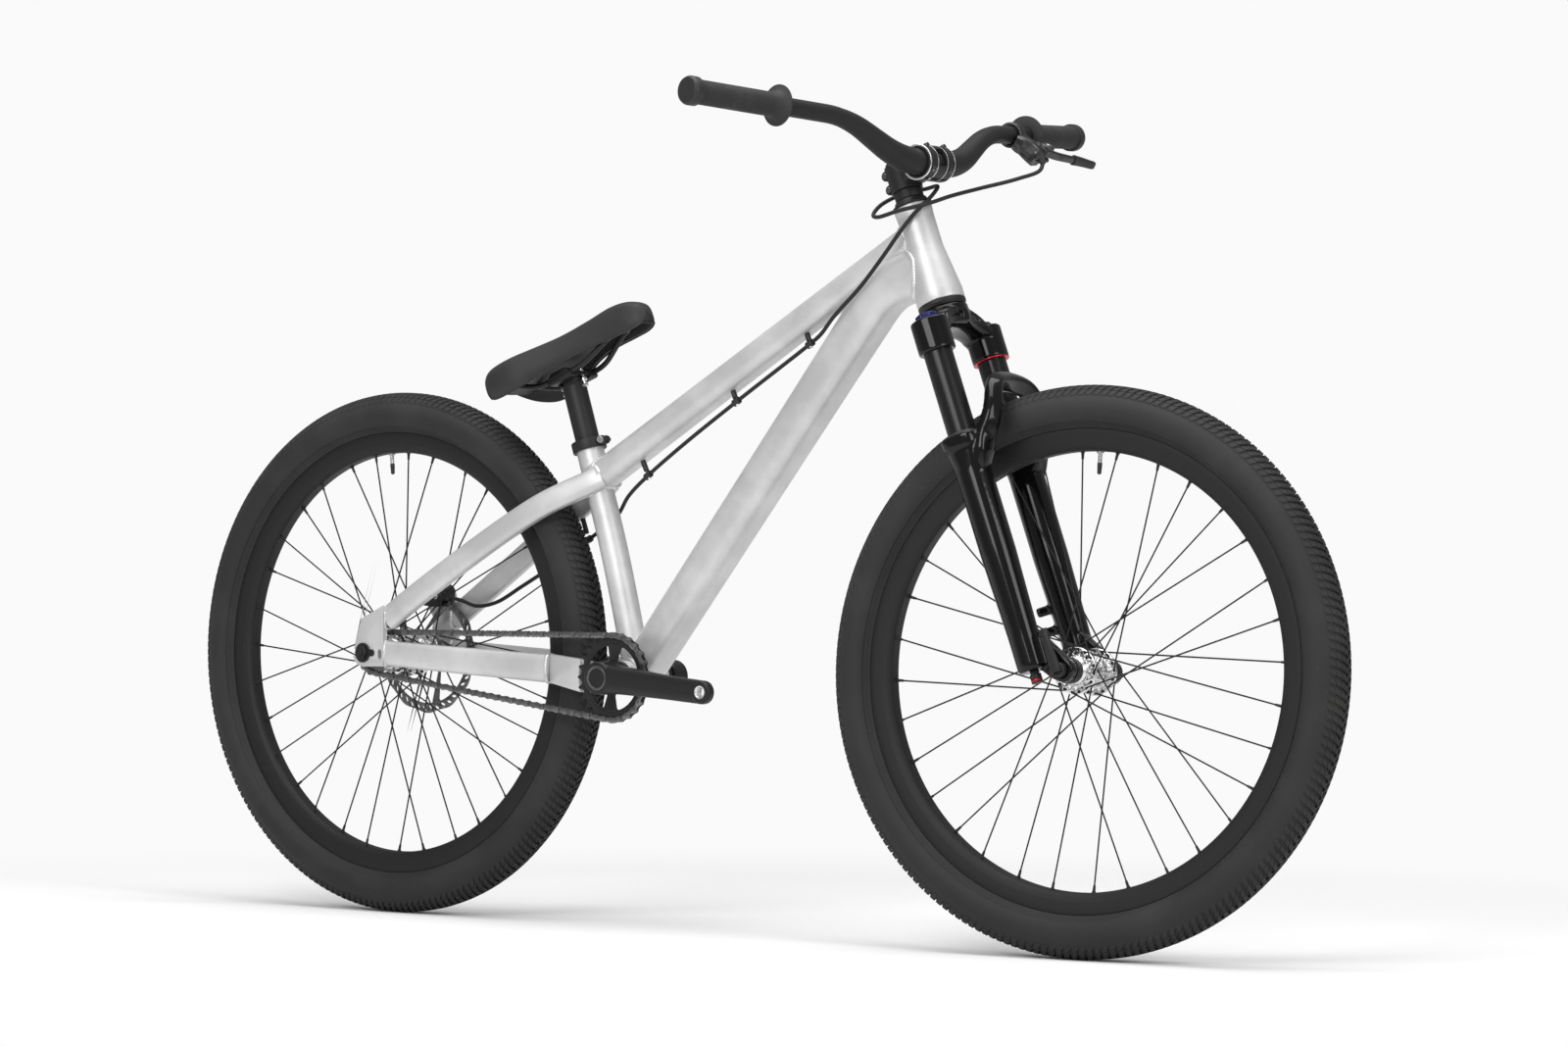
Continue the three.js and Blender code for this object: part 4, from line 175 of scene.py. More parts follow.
def sized(stations):
    """A size that runs through (share, half width, half height) stations."""
    shares = [s[0] for s in stations]
    return lambda share: [float(np.interp(share, shares, [s[k] for s in stations])) for k in (1, 2)]


def even_size(half_wide, half_high=None):
    """A size that stays the same all along."""
    return lambda share: [half_wide, half_wide if half_high is None else half_high]


# %% One piece under construction
def in_metres(spot):
    """A place on the drawing as a place among the solids."""
    return (spot[0] - box_middle) / 1000, spot[1] / 1000, spot[2] / 1000


class Form:
    """Points, faces and wrap of one piece, which is drawn in millimetres."""

    def __init__(self, place=bench):
        self.place = place
        self.points, self.faces, self.wraps = [], [], []

    def add(self, points, faces, wraps, place=None):
        first, place = len(self.points), self.place if place is None else place
        self.points += [place @ Vector(p) for p in points]
        self.faces += [[first + i for i in face] for face in faces]
        self.wraps += wraps
        return self

    def skin(self, rings, ends=True, loop=False, place=None):
        """Faces between rings that have the same number of points, with a flat end on each open one."""
        rows = np.array([[tuple(p) for p in r] for r in rings])
        count, size = len(rows), len(rows[0])
        around = np.linalg.norm(np.roll(rows, -1, axis=1) - rows, axis=2).mean(0)
        along = np.linalg.norm(np.roll(rows, -1, axis=0) - rows, axis=2).mean(1)
        u = np.concatenate([[0], np.cumsum(around)]) / 1000
        v = np.concatenate([[0], np.cumsum(along)]) / 1000
        faces, wraps = [], []
        for i in range(count if loop else count - 1):
            a, b = i * size, (i + 1) % count * size
            for j in range(size):
                k = (j + 1) % size
                faces.append([a + j, a + k, b + k, b + j])
                wraps += [(u[j], v[i]), (u[j + 1], v[i]), (u[j + 1], v[i + 1]), (u[j], v[i + 1])]
        if ends and not loop:
            for base in (0, (count - 1) * size):
                faces.append([base + j for j in range(size)])
                wraps += [(u[j], 0) for j in range(size)]
        return self.add(rows.reshape(-1, 3), faces, wraps, place)

    def sweep(self, line, size, wide=across, squareness=2, count=48, ends=True):
        """A section carried along a line. size(share of its length) gives its half width and half height."""
        steps = [(b - a).length for a, b in zip(line, line[1:])]
        share = np.concatenate([[0], np.cumsum(steps)]) / sum(steps)
        rings = []
        for i, spot in enumerate(line):
            way = line[min(i + 1, len(line) - 1)] - line[max(i - 1, 0)]
            rings.append(ring(spot, way, wide, *size(share[i]), squareness, count))
        self.rings = [[self.place @ p for p in r] for r in rings]
        return self.skin(rings, ends)

    def turn(self, profile, place=None, count=96, closed=True):
        """A profile of [radius, height] turned about Z, as on a lathe. An open one is capped."""
        return self.skin([circle(max(r, 0.02), h, count) for r, h in profile], not closed, closed, place)

    def rod(self, start, end, radius, count=24, ease=0.6, end_radius=None, place=None):
        """A round pin between two points, with a small chamfer at either end."""
        start, end = Vector(start), Vector(end)
        way, last = end - start, radius if end_radius is None else end_radius
        length, ease = way.length, min(ease, radius * 0.6, way.length * 0.3)
        side = ahead if abs(way.normalized().x) < 0.8 else across
        local = placing(start, way, side)
        return self.turn([(radius - ease, 0), (radius, ease), (last, length - ease), (last - ease, length)],
                         (self.place if place is None else place) @ local, count, closed=False)

    def plate(self, outline, low, high, ease=0.6, holes=(), place=None):
        """A flat plate from an outline, with holes and eased edges, by way of a filled 2D curve."""
        ease = min(ease, (high - low) * 0.45)
        curve = bpy.data.curves.new("outline", "CURVE")
        curve.dimensions, curve.fill_mode = "2D", "BOTH"
        for loop in [outline, *holes]:
            loop = [(p[0], p[1]) for p in loop]
            area = sum(a[0] * b[1] - b[0] * a[1] for a, b in zip(loop, loop[1:] + loop[:1]))
            if (area > 0) != (loop[0] == (outline[0][0], outline[0][1])):
                loop.reverse()
            line = curve.splines.new("POLY")
            line.points.add(len(loop) - 1)
            line.points.foreach_set("co", [v for x, y in loop for v in (x, y, 0, 1)])
            line.use_cyclic_u = True
        curve.extrude, curve.bevel_depth, curve.offset = (high - low) / 2 - ease, ease, -ease
        curve.bevel_resolution = 1
        holder = bpy.data.objects.new("outline", curve)
        bpy.context.scene.collection.objects.link(holder)
        cut = holder.evaluated_get(bpy.context.evaluated_depsgraph_get()).to_mesh()
        points = [(v.co.x, v.co.y, v.co.z + (low + high) / 2) for v in cut.vertices]
        faces = [list(f.vertices) for f in cut.polygons]
        wraps = [(points[i][0] / 1000, points[i][1] / 1000) for f in faces for i in f]
        self.add(points, faces, wraps, place)
        bpy.data.objects.remove(holder)
        bpy.data.curves.remove(curve)
        return self

    def mesh(self, name):
        """The piece as a Blender mesh in the solids' frame, its faces turned outwards."""
        mesh = bpy.data.meshes.new(name)
        mesh.from_pydata([in_metres(p) for p in self.points], [], self.faces)
        wrap = mesh.uv_layers.new(name="wrap")
        wrap.data.foreach_set("uv", [v for pair in self.wraps for v in pair])
        shaped = bmesh.new()
        shaped.from_mesh(mesh)
        bmesh.ops.remove_doubles(shaped, verts=shaped.verts, dist=2e-6)
        bmesh.ops.recalc_face_normals(shaped, faces=shaped.faces)
        shaped.to_mesh(mesh)
        shaped.free()
        return mesh


def show(piece, name, body, finish, *solids, crease=38):
    """Puts a piece on its moving body, in place of the solids it stands for. A piece without a body is left
    unattached.
    """
    mesh = piece.mesh(name) if isinstance(piece, Form) else piece
    mesh.materials.clear()
    mesh.materials.append(finish.material)
    mesh.shade_smooth()
    mesh.set_sharp_from_angle(angle=math.radians(crease))
    shown = bpy.data.objects.new(name, mesh)
    bpy.context.scene.collection.objects.link(shown)
    if body:
        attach(shown, body)
    if solids:
        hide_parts(*solids)
    print(f"{name}: {len(mesh.polygons)} faces on {body}")
    return shown


def cast(piece, name, grain, softness=3, cutters=()):
    """Melts overlapping closed shapes into one skin with soft inner corners, as a casting or forging has."""
    blank = bpy.data.objects.new(name, piece.mesh(name))
    bpy.context.scene.collection.objects.link(blank)
    melt = blank.modifiers.new("melt", "REMESH")
    melt.mode, melt.voxel_size = "VOXEL", grain / 1000
    for cutter in cutters:
        tool = bpy.data.objects.new("cutter", cutter.mesh("cutter"))
        bpy.context.scene.collection.objects.link(tool)
        mill = blank.modifiers.new("mill", "BOOLEAN")
        mill.operation, mill.object, mill.solver = "DIFFERENCE", tool, "EXACT"
    if cutters:
        again = blank.modifiers.new("again", "REMESH")
        again.mode, again.voxel_size = "VOXEL", grain / 1000
    soften = blank.modifiers.new("soften", "SMOOTH")
    soften.factor, soften.iterations = 0.5, softness
    seen = blank.evaluated_get(bpy.context.evaluated_depsgraph_get())
    mesh = bpy.data.meshes.new_from_object(seen)
    for item in [blank] + [m.object for m in blank.modifiers if m.type == "BOOLEAN"]:
        bpy.data.objects.remove(item)
    return mesh


print("tools ready")

# %% [markdown]
# ## Shader sums
# A finish is a little arithmetic over the surface: grain plus cloud, one minus a mask. The class below
# wraps a socket so that such a sum is written as Python and becomes Math nodes. Any other node comes from
# one method.

# %% Sockets that add up, and a finish that makes nodes
class Socket:
    """A value somewhere on a surface, which takes part in Python sums."""

    def __init__(self, finish, out):
        self.finish, self.out = finish, out

    def _sum(self, operation, first, second):
        return self.finish.node("Math", {"operation": operation}, {0: first, 1: second})

    def __add__(self, other):
        return self._sum("ADD", self, other)

    def __radd__(self, other):
        return self._sum("ADD", other, self)

    def __sub__(self, other):
        return self._sum("SUBTRACT", self, other)

    def __rsub__(self, other):
        return self._sum("SUBTRACT", other, self)

    def __mul__(self, other):
        return self._sum("MULTIPLY", self, other)

    def __rmul__(self, other):
        return self._sum("MULTIPLY", other, self)

    def between(self, low, high, start=0.0, end=1.0):
        """This value's way from low to high, eased, as a value from start to end."""
        return self.finish.node("MapRange", {"interpolation_type": "SMOOTHSTEP"},
                                {0: self, 1: low, 2: high, 3: start, 4: end})


class Finish:
    """One material under construction."""

    def __init__(self, name, slot, tree=None):
        self.slot = slot
        if tree is None:
            self.material = bpy.data.materials.new(name)
            self.material.use_nodes = True
            tree = self.material.node_tree
        tree.nodes.clear()
        self.tree = tree

    def node(self, kind, settings=None, values=None, out=0):
        """Adds a node: its settings first, then the values or links of its sockets."""
        made = self.tree.nodes.new("ShaderNode" + kind)
        for key, value in (settings or {}).items():
            setattr(made, key, value)
        for key, value in (values or {}).items():
            if isinstance(value, Socket):
                self.tree.links.new(value.out, made.inputs[key])
            elif value is not None:
                made.inputs[key].default_value = value
        return Socket(self, made.outputs[out])

    def place(self, stretch=(1, 1, 1), wrapped=False):
        """Where on the piece: its own metres, or round and along it, stretched."""
        start = self.node("TexCoord", out=2 if wrapped else 3)
        return self.node("VectorMath", {"operation": "MULTIPLY"}, {0: start, 1: stretch})

    def noise(self, scale, detail=3, stretch=(1, 1, 1), wrapped=False, roughness=0.5):
        return self.node("TexNoise", None, {"Vector": self.place(stretch, wrapped), "Scale": scale,
                                            "Detail": detail, "Roughness": roughness})

    def mix(self, share, first, second):
        return self.node("Mix", {"data_type": "RGBA"}, {0: share, 6: first, 7: second}, out=2)

    def surface(self, colour, roughness, metallic=0.0, height=None, depth=0.2, **more):
        """The shader itself. height is a bump of at most depth millimetres."""
        values = {"Base Color": colour, "Roughness": roughness, "Metallic": metallic}
        values.update({key.replace("_", " "): value for key, value in more.items()})
        if height is not None:
            bump = {"Height": height, "Distance": depth / 1000, "Strength": 1.0}
            values["Normal"] = self.node("Bump", None, bump)
        return self.end_in(self.node("BsdfPrincipled", None, values))

    def end_in(self, shader, kind="OutputMaterial"):
        end = self.tree.nodes.new("ShaderNode" + kind)
        self.tree.links.new(shader.out, end.inputs["Surface"])
        return self


def grey(value, warm=0.0):
    return (value * (1 + warm), value, value * (1 - warm), 1)


# %% [markdown]
# ## Bare aluminium
# The frame is raw aluminium: brushed by hand, so it shows cloudy patches and fine lines along each tube,
# and then clear coated. Grain comes from noise stretched along the wrap, clouds from slow noise in space,
# and the coat is a thin glossy layer on top. Welds are the same metal without the brushing.

# %% Aluminium finishes
def raw_aluminium():
    made = Finish("raw_aluminium", "raw_aluminium")
    grain = made.noise(1, 3, (1600, 34, 1), wrapped=True)
    clouds = made.noise(11, 4, roughness=0.6)
    fine = made.noise(260, 2)
    scuffs = made.noise(46, 6, (1, 1, 2.4), roughness=0.7).between(0.62, 0.74)
    tone = made.mix(clouds.between(0.34, 0.68), grey(0.59), grey(0.74))
    tone = made.mix(scuffs * 0.25, tone, grey(0.52))
    return made.surface(tone, 0.34 + 0.10 * grain + 0.14 * clouds + 0.1 * scuffs, 0.5,
                        grain * 0.5 + fine * 0.5, 0.02, Coat_Weight=0.2, Coat_Roughness=0.16)


def weld_metal():
    made = Finish("weld_metal", "raw_aluminium")
    scale = made.noise(420, 3)
    stain = made.noise(60, 3).between(0.45, 0.65)
    return made.surface(made.mix(stain, grey(0.80), grey(0.62)), 0.26 + 0.14 * scale, 0.6, scale, 0.05,
                        Coat_Weight=0.3, Coat_Roughness=0.15)


def polished_aluminium():
    made = Finish("polished_aluminium", "polished_aluminium")
    haze = made.noise(70, 3)
    dull = haze.between(0.5, 0.75)
    return made.surface(made.mix(dull, grey(0.86), grey(0.72)), 0.24 + 0.12 * dull, 1.0, haze, 0.001)


bare_metal = raw_aluminium()
bead_metal = weld_metal()
bright_metal = polished_aluminium()
print("aluminium finishes made")


# %% [markdown]
# ## Blacks, and what tells them apart
# Half of the bike is black, and only the surface separates one black from the next: satin anodising on the
# bar and stem, a deep wet gloss on the painted fork, dry rubber on the tyres, a fine pebbled cover on the
# saddle. Each finish below sets its own roughness, bump and wear, because colour alone would melt them
# together.

# %% Black and dark finishes
def satin_black(name="satin_black", slot="black_metal", tone=0.018, rough=0.36):
    made = Finish(name, slot)
    blast = made.noise(900, 2)
    cloud = made.noise(24, 4)
    rub = made.noise(38, 7, roughness=0.75).between(0.66, 0.76)
    colour = made.mix(rub * 0.35, grey(tone), grey(0.07))
    return made.surface(colour, rough + 0.08 * blast + 0.10 * cloud - 0.05 * rub, 0.1, blast, 0.012,
                        Specular_IOR_Level=0.34)


def gloss_black():
    made = Finish("gloss_black", "gloss_black")
    peel = made.noise(240, 2)
    swirl = made.noise(30, 7, roughness=0.75).between(0.6, 0.75)
    colour = made.mix(swirl * 0.2, grey(0.004), grey(0.02))
    return made.surface(colour, 0.2 + 0.10 * swirl, 0.0, peel, 0.006,
                        Specular_IOR_Level=0.1, Coat_Weight=0.5, Coat_Roughness=0.05)


def matt_plastic():
    made = Finish("matt_plastic", "black_plastic")
    spark = made.noise(1400, 1)
    dust = made.noise(34, 5).between(0.5, 0.8)
    return made.surface(made.mix(dust * 0.3, grey(0.017), grey(0.04)), 0.48 + 0.12 * dust, 0.0, spark, 0.02)


def tyre_rubber():
    made = Finish("tyre_rubber", "tyre_rubber")
    skin = made.noise(520, 3)
    bloom = made.noise(13, 5).between(0.4, 0.75)
    grit = made.noise(230, 4, roughness=0.7).between(0.62, 0.72)
    tone = made.mix(bloom, grey(0.022), grey(0.034, 0.02))
    tone = made.mix(grit * 0.35, tone, grey(0.075, 0.04))
    return made.surface(tone, 0.66 + 0.12 * bloom, 0.0, skin, 0.05, Specular_IOR_Level=0.35)


def grip_rubber():
    made = Finish("grip_rubber", "grip_rubber")
    tack = made.noise(700, 2)
    wear = made.noise(28, 5).between(0.5, 0.75)
    colour = made.mix(wear, grey(0.024), grey(0.032))
    return made.surface(colour, 0.62 - 0.12 * wear, 0.0, tack, 0.03, Specular_IOR_Level=0.4)


def saddle_cloth():
    made = Finish("saddle_cloth", "saddle_cloth")
    pebble = made.node("TexVoronoi", None, {"Vector": made.place(), "Scale": 900.0})
    sat_on = made.noise(16, 4).between(0.4, 0.7)
    return made.surface(made.mix(sat_on, grey(0.022), grey(0.030)), 0.60 - 0.12 * sat_on, 0.0,
                        pebble * 0.6 + made.noise(1300, 2) * 0.4, 0.10, Specular_IOR_Level=0.4)


def dark_steel(name="dark_steel", tone=0.14, slot="dark_steel"):
    made = Finish(name, slot)
    oil = made.noise(90, 4).between(0.42, 0.7)
    scratch = made.noise(300, 3)
    colour = made.mix(oil, grey(tone * 1.25), grey(tone * 0.7))
    return made.surface(colour, 0.28 + 0.2 * oil, 0.9, scratch, 0.02)


def anodised(name, slot, colour):
    made = Finish(name, slot)
    blast = made.noise(800, 2)
    fade = made.noise(60, 3)
    pale = tuple(min(1, c * 1.5) for c in colour[:3]) + (1,)
    shade = made.mix(fade.between(0.3, 0.8), colour, pale)
    return made.surface(shade, 0.26 + 0.14 * blast, 0.8, blast, 0.01)


anodised_black, fork_paint, moulded = satin_black(), gloss_black(), matt_plastic()
rim_black = satin_black("rim_black", "black_metal", 0.014, 0.44)
tread_rubber, tacky_rubber, cover_cloth = tyre_rubber(), grip_rubber(), saddle_cloth()
oiled_steel, bolt_steel = dark_steel(), dark_steel("bolt_steel", 0.42, "black_metal")
dial_blue = anodised("dial_blue", "blue_metal", (0.022, 0.022, 0.09, 1))
knob_red = anodised("knob_red", "red_metal", (0.50, 0.02, 0.035, 1))
print(len(bpy.data.materials), "materials so far")

# %% [markdown]
# ## Head tube and headset
# The head tube is a thick aluminium ring at each end with a taper between, because the lower bearing is
# larger than the upper one. A lathe would cut it in one go, and so does a turned profile. The two slim cups
# that hold the bearings are black anodised rings with a bevelled lip. Heights are measured along the
# steering axis.

# %% Head tube, cups and spacer
head_profile = [(29.3, 481), (29.3, 494), (22.2, 551), (22.2, 593), (22.9, 599.5), (22.9, 606)]
head_wall = 3.4
head_bore = [(r - head_wall, h) for r, h in reversed(head_profile)]
head_tube = Form(cockpit).turn(eased(head_profile + head_bore, 1.6))
show(head_tube, "head_tube_skin", "frame", bare_metal, "head_tube")

lower_cup = Form(cockpit).turn(eased([(21.5, 473.4), (27.6, 473.4), (28.6, 475.6), (29.3, 477), (29.3, 480.7),
                                      (25.4, 480.7), (25.4, 486), (21.5, 486)], 0.6))
show(lower_cup, "lower_cup_ring", "frame", anodised_black, "headset_lower_cup")
upper_cup = Form(cockpit).turn(eased([(14.9, 602), (19, 602), (19, 606.3), (24.2, 606.3), (24.2, 608.2),
                                      (21.4, 609.4), (19.4, 614), (17.5, 615.3), (14.9, 615.3)], 0.7))
show(upper_cup, "upper_cup_ring", "frame", anodised_black, "headset_upper_cup")
spacer = Form(cockpit).turn(eased([(14.6, 615.6), (17.5, 615.6), (17.5, 626.6), (14.6, 626.6)], 0.7))
show(spacer, "spacer_ring", "fork", anodised_black, "headset_spacer")
steerer = Form(cockpit).turn([(19.9, 444.5), (19.9, 479), (14.3, 549), (14.3, 659.6), (12.1, 659.6),
                              (12.1, 549), (15.5, 479), (15.5, 444.5)])
show(steerer, "steerer_tube", "fork", oiled_steel, "steerer")

# %% [markdown]
# ## Main tubes
# The down tube is hydroformed: pressed from inside until its section grows from an upright oval at the
# shell to a tall soft box at the head, with one bend near the front. The seat tube is straight where the
# post slides and then curves forward to clear the tyre. Sweeping a section whose size changes on the way
# gives both.

# %% Top tube and down tube
seat_top, seat_up = Vector((310.834, 0, 604)), Vector((-0.317305, 0, 0.948324))
head_centre = axis_foot + axis_up * 523
top_half_back, top_half_front = 19.5, 17.5


def on_seat_tube(height):
    return seat_top + seat_up * ((height - seat_top.z) / seat_up.z)


top_line = [on_seat_tube(559).lerp(axis_foot + axis_up * 573, i / 12) for i in range(13)]
top_way = (top_line[-1] - top_line[0]).normalized()
top_size = sized([(0, top_half_back, top_half_back), (1, top_half_front, top_half_front)])
top_tube = Form().sweep(top_line, top_size, squareness=2.6, count=64)
show(top_tube, "top_tube_skin", "frame", bare_metal, "top_tube")

straight = head_centre - bottom_bracket
down_bend = bottom_bracket + straight * 0.922 + Vector((-straight.z, 0, straight.x)) * 0.0555
down_spots = [bottom_bracket.lerp(down_bend, share) for share in (0, 0.4, 0.7, 1)] + [head_centre]
down_size = sized([(0, 24, 25), (0.45, 24.7, 26.3), (0.83, 25.5, 27.6), (0.92, 25, 29.6), (1, 23, 33)])
down_tube = Form().sweep(rounded(down_spots, 60, 10), down_size, squareness=3, count=72)
show(down_tube, "down_tube_skin", "frame", bare_metal, "down_tube")

# %% Seat tube and crank shell
seat_radius, seat_bore = 17.45, 15.65
shell_radius, shell_bore, shell_half = 21, 17.4, 36.5
seat_knee = seat_top - seat_up * (291 * 0.58 / seat_up.z)
seat_line = [seat_top, seat_top.lerp(seat_knee, 0.25)]
seat_line += bezier(seat_top.lerp(seat_knee, 0.5), seat_knee, bottom_bracket, 18)
seat_tube = Form().sweep(seat_line, even_size(seat_radius), count=64, ends=False)
seat_outside = seat_tube.rings
seat_tube.sweep(seat_line[:4], even_size(seat_bore), count=64, ends=False)
seat_tube.skin([seat_outside[0], seat_tube.rings[0]], ends=False)
show(seat_tube, "seat_tube_skin", "frame", bare_metal, "seat_tube")

shell_place = placing(bottom_bracket, across, ahead)
shell_profile = eased([(shell_bore, -shell_half), (shell_radius, -shell_half), (shell_radius, shell_half),
                       (shell_bore, shell_half)], 0.9)
show(Form(shell_place).turn(shell_profile), "crank_shell", "frame", bare_metal, "bottom_bracket_shell")
cup_profile = [(14.9, 30), (17, 30), (17, 36.8), (20.4, 36.8), (20.4, 43), (19.4, 43.8), (14.9, 43.8)]
for side, name in both_sides:
    cup = Form(shell_place).turn(eased([(r, side * out) for r, out in cup_profile], 0.6))
    show(cup, f"bearing_cup_{name}", "frame", anodised_black, f"bottom_bracket_cup_{name}")

# %% [markdown]
# ## Rear end
# Each stay is a rounded box tube bent in two places, so that it clears the chainring, the tyre and the
# rotor. The stays meet a forked plate behind the shell, milled from solid, and a dropout plate at the axle
# whose slot opens to the rear. Plates come from a drawn outline, so their milled windows are real holes.

# %% Chainstays and seatstays
stay_out = 64                        # how far out the stays run at the axle
dropout_front = 33.7                 # the dropout's front face, where both stays end
yoke_back = 288                      # the yoke's rear face, where the chainstays begin
stay_rings = {}


def on_plate(outline, side, inner, outer, ease=0.8, holes=(), form=None, place=beside):
    """A plate between two distances out from the middle of the bike, on one side."""
    low, high = sorted((-side * inner, -side * outer))
    return (form or Form()).plate(outline, low, high, ease, holes, place)


def chainstay(side, name):
    start = Vector((dropout_front + 0.3, side * stay_out, tyre_radius))
    knee = Vector((150, side * stay_out, 329))
    end = Vector((yoke_back - 0.3, side * 43.5, 322))
    stay_size = sized([(0, 9.5, 16), (1, 9.5, 18)])
    stay = Form().sweep(bezier(start, knee, end, 22), stay_size, squareness=3, count=48)
    stay_rings["chain", side] = stay.rings
    show(stay, f"chainstay_{name}_skin", "frame", bare_metal, f"chainstay_{name}")


seatstay_half = 15.5


def seatstay(side, name):
    start = Vector((19, side * stay_out, 368.63))
    end = on_seat_tube(555) + across * 19 * side
    rise = (end.z - start.z) / (end.x - start.x)
    bends = ((68, 64, 4), (262, 40, 8))
    spots = [Vector((x, side * y, start.z + rise * (x - start.x) + bow)) for x, y, bow in bends]
    buried = end + top_way * 18 - across * 7.5 * side
    line = [p for p in smooth_line([start, *spots, end, buried], 14) if p.x > dropout_front + 0.2]
    stay = Form().sweep(line, even_size(8.5, seatstay_half), squareness=3, count=48)
    stay_rings["seat", side] = stay.rings
    show(stay, f"seatstay_{name}_skin", "frame", bare_metal, f"seatstay_{name}")


for side, name in both_sides:
    chainstay(side, name)
    seatstay(side, name)

# %% Dropouts
seatstay_slope = math.radians(32)
foot_top = 42 + seatstay_half / math.cos(seatstay_slope)
dropout_radius, slot_half, slot_ahead = 17, 5.3, 15


def dropout(side, name):
    """A plate round the axle slot. The left one also carries the caliper's lug."""
    lug = [(25.5, 82.5), (-dropout_radius, 82.5), (-dropout_radius, foot_top)] if side > 0 else []
    slot_turn = math.degrees(math.asin(slot_half / dropout_radius))
    outline = [(dropout_front, -16), (dropout_front, foot_top)] + lug + [(-4.9, 42)]
    outline += arc((0, 0), dropout_radius, 164, 180 - slot_turn, 6)
    outline += arc((slot_ahead, 0), slot_half, 90, -90, 12)
    outline += arc((0, 0), dropout_radius, 180 + slot_turn, 270, 10)
    holes = [arc((27.6, 2), 2.9, 0, 180, 8) + arc((27.6, -5), 2.9, 180, 360, 8)]
    if side > 0:
        holes.append(round_hole(4.5, 24, (4, 69)))
    place = placing(rear_axle, -across, ahead)
    plate = on_plate(outline, side, 67.5, 74.5, 0.9, holes, place=place)
    show(plate, f"dropout_{name}_plate", "frame", bare_metal, f"dropout_{name}")


for side, name in both_sides:
    dropout(side, name)

# %% Yoke
yoke = Form()
yoke_front = bottom_bracket.x - shell_radius + 10
yoke_arm = [(yoke_back, 304), (345, 292), (yoke_front, 302), (yoke_front, 324), (345, 334), (yoke_back, 340)]
yoke_window = eased([(302, 312), (340, 306), (356, 313), (340, 322), (302, 330)], 6, 4)
on_plate(yoke_arm, 1, 35, 45, 1.4, [yoke_window], yoke)
on_plate(yoke_arm, -1, 35, 39.6, 1.2, [yoke_window], yoke)
chainring_bay = arc((bottom_bracket.x, bottom_bracket.z), 59, 196, 164, 12)
thick_back = [(yoke_back, 304), (338.5, 293.5), *chainring_bay, (337, 335), (yoke_back, 340)]
on_plate(thick_back, -1, 39.5, 45, 1.2, form=yoke)
yoke.plate([(345, 304), (388, 304), (388, 322), (345, 322)], -38, 38, 2.0, place=beside)
show(yoke, "yoke_plates", "frame", bare_metal, "chainstay_yoke")

# %% [markdown]
# ## Weld beads
# The tubes are joined by hand with a filler rod, which leaves a row of small overlapping puddles like a
# stack of tipped coins. Where a bead runs is found by following each line of a tube's skin until it enters
# the piece that it meets. The bead is then a thin ribbed tube along that line, so no joint needs a drawing
# of its own.

# %% Beads along the joints
def joint_line(rings, inside):
    """The closed line at which a tube's skin, followed from its first ring, enters another piece."""
    line = []
    for j in range(len(rings[0])):
        for a, b in zip(rings, rings[1:]):
            if inside(b[j]) and not inside(a[j]):
                low, high = a[j], b[j]
                for _ in range(14):
                    mid = low.lerp(high, 0.5)
                    low, high = (low, mid) if inside(mid) else (mid, high)
                line.append(low)
                break
    return line


def even(line, step):
    """The same closed line with its points an even step apart."""
    closed = line + [line[0]]
    far = np.concatenate([[0], np.cumsum([(b - a).length for a, b in zip(closed, closed[1:])])])
    places = np.linspace(0, far[-1], max(12, int(far[-1] / step)), endpoint=False)
    return [Vector([float(np.interp(s, far, [p[k] for p in closed])) for k in range(3)]) for s in places]


def bead(form, line, wide, half=4.2, high=2.2, pitch=3.4):
    """A ribbed weld bead along a closed line. wide is the direction that it spreads in."""
    path = even(line, pitch / 6)
    rings = []
    for i, spot in enumerate(path):
        puddle = 0.72 + 0.28 * abs(math.sin(math.pi * i / 6))
        way = path[(i + 1) % len(path)] - path[i - 1]
        rings.append(ring(spot, way, wide, half * (0.9 + 0.1 * puddle), high * puddle, 2, 8))
    return form.skin(rings, loop=True)


# %% Where one piece enters another
def in_head(p):
    local = cockpit.inverted() @ p
    radii, heights = zip(*head_profile[1:5])
    return math.hypot(local.x, local.y) < float(np.interp(local.z, heights, radii))


def in_top_tube(p):
    off = p - top_line[0]
    along = off.dot(top_way)
    high = (off - top_way * along - across * off.y).length
    half = top_half_back - 0.2
    return along > 0 and (abs(off.y) / half) ** 2.6 + (high / half) ** 2.6 < 1


def in_seat_tube(p):
    gaps = []
    for a, b in zip(seat_line, seat_line[1:]):
        share = max(0, min(1, (p - a).dot(b - a) / (b - a).length_squared))
        gaps.append((p - a.lerp(b, share)).length)
    return min(gaps) < seat_radius


def in_seat_cluster(p):
    return in_seat_tube(p) or in_top_tube(p)


def in_shell(p):
    return math.hypot(p.x - bottom_bracket.x, p.z - bottom_bracket.z) < shell_radius and abs(p.y) < shell_half


# %% All beads
def flat_at(points, x):
    """The same points moved onto an upright face of the frame."""
    return [Vector((x, p.y, p.z)) for p in points]


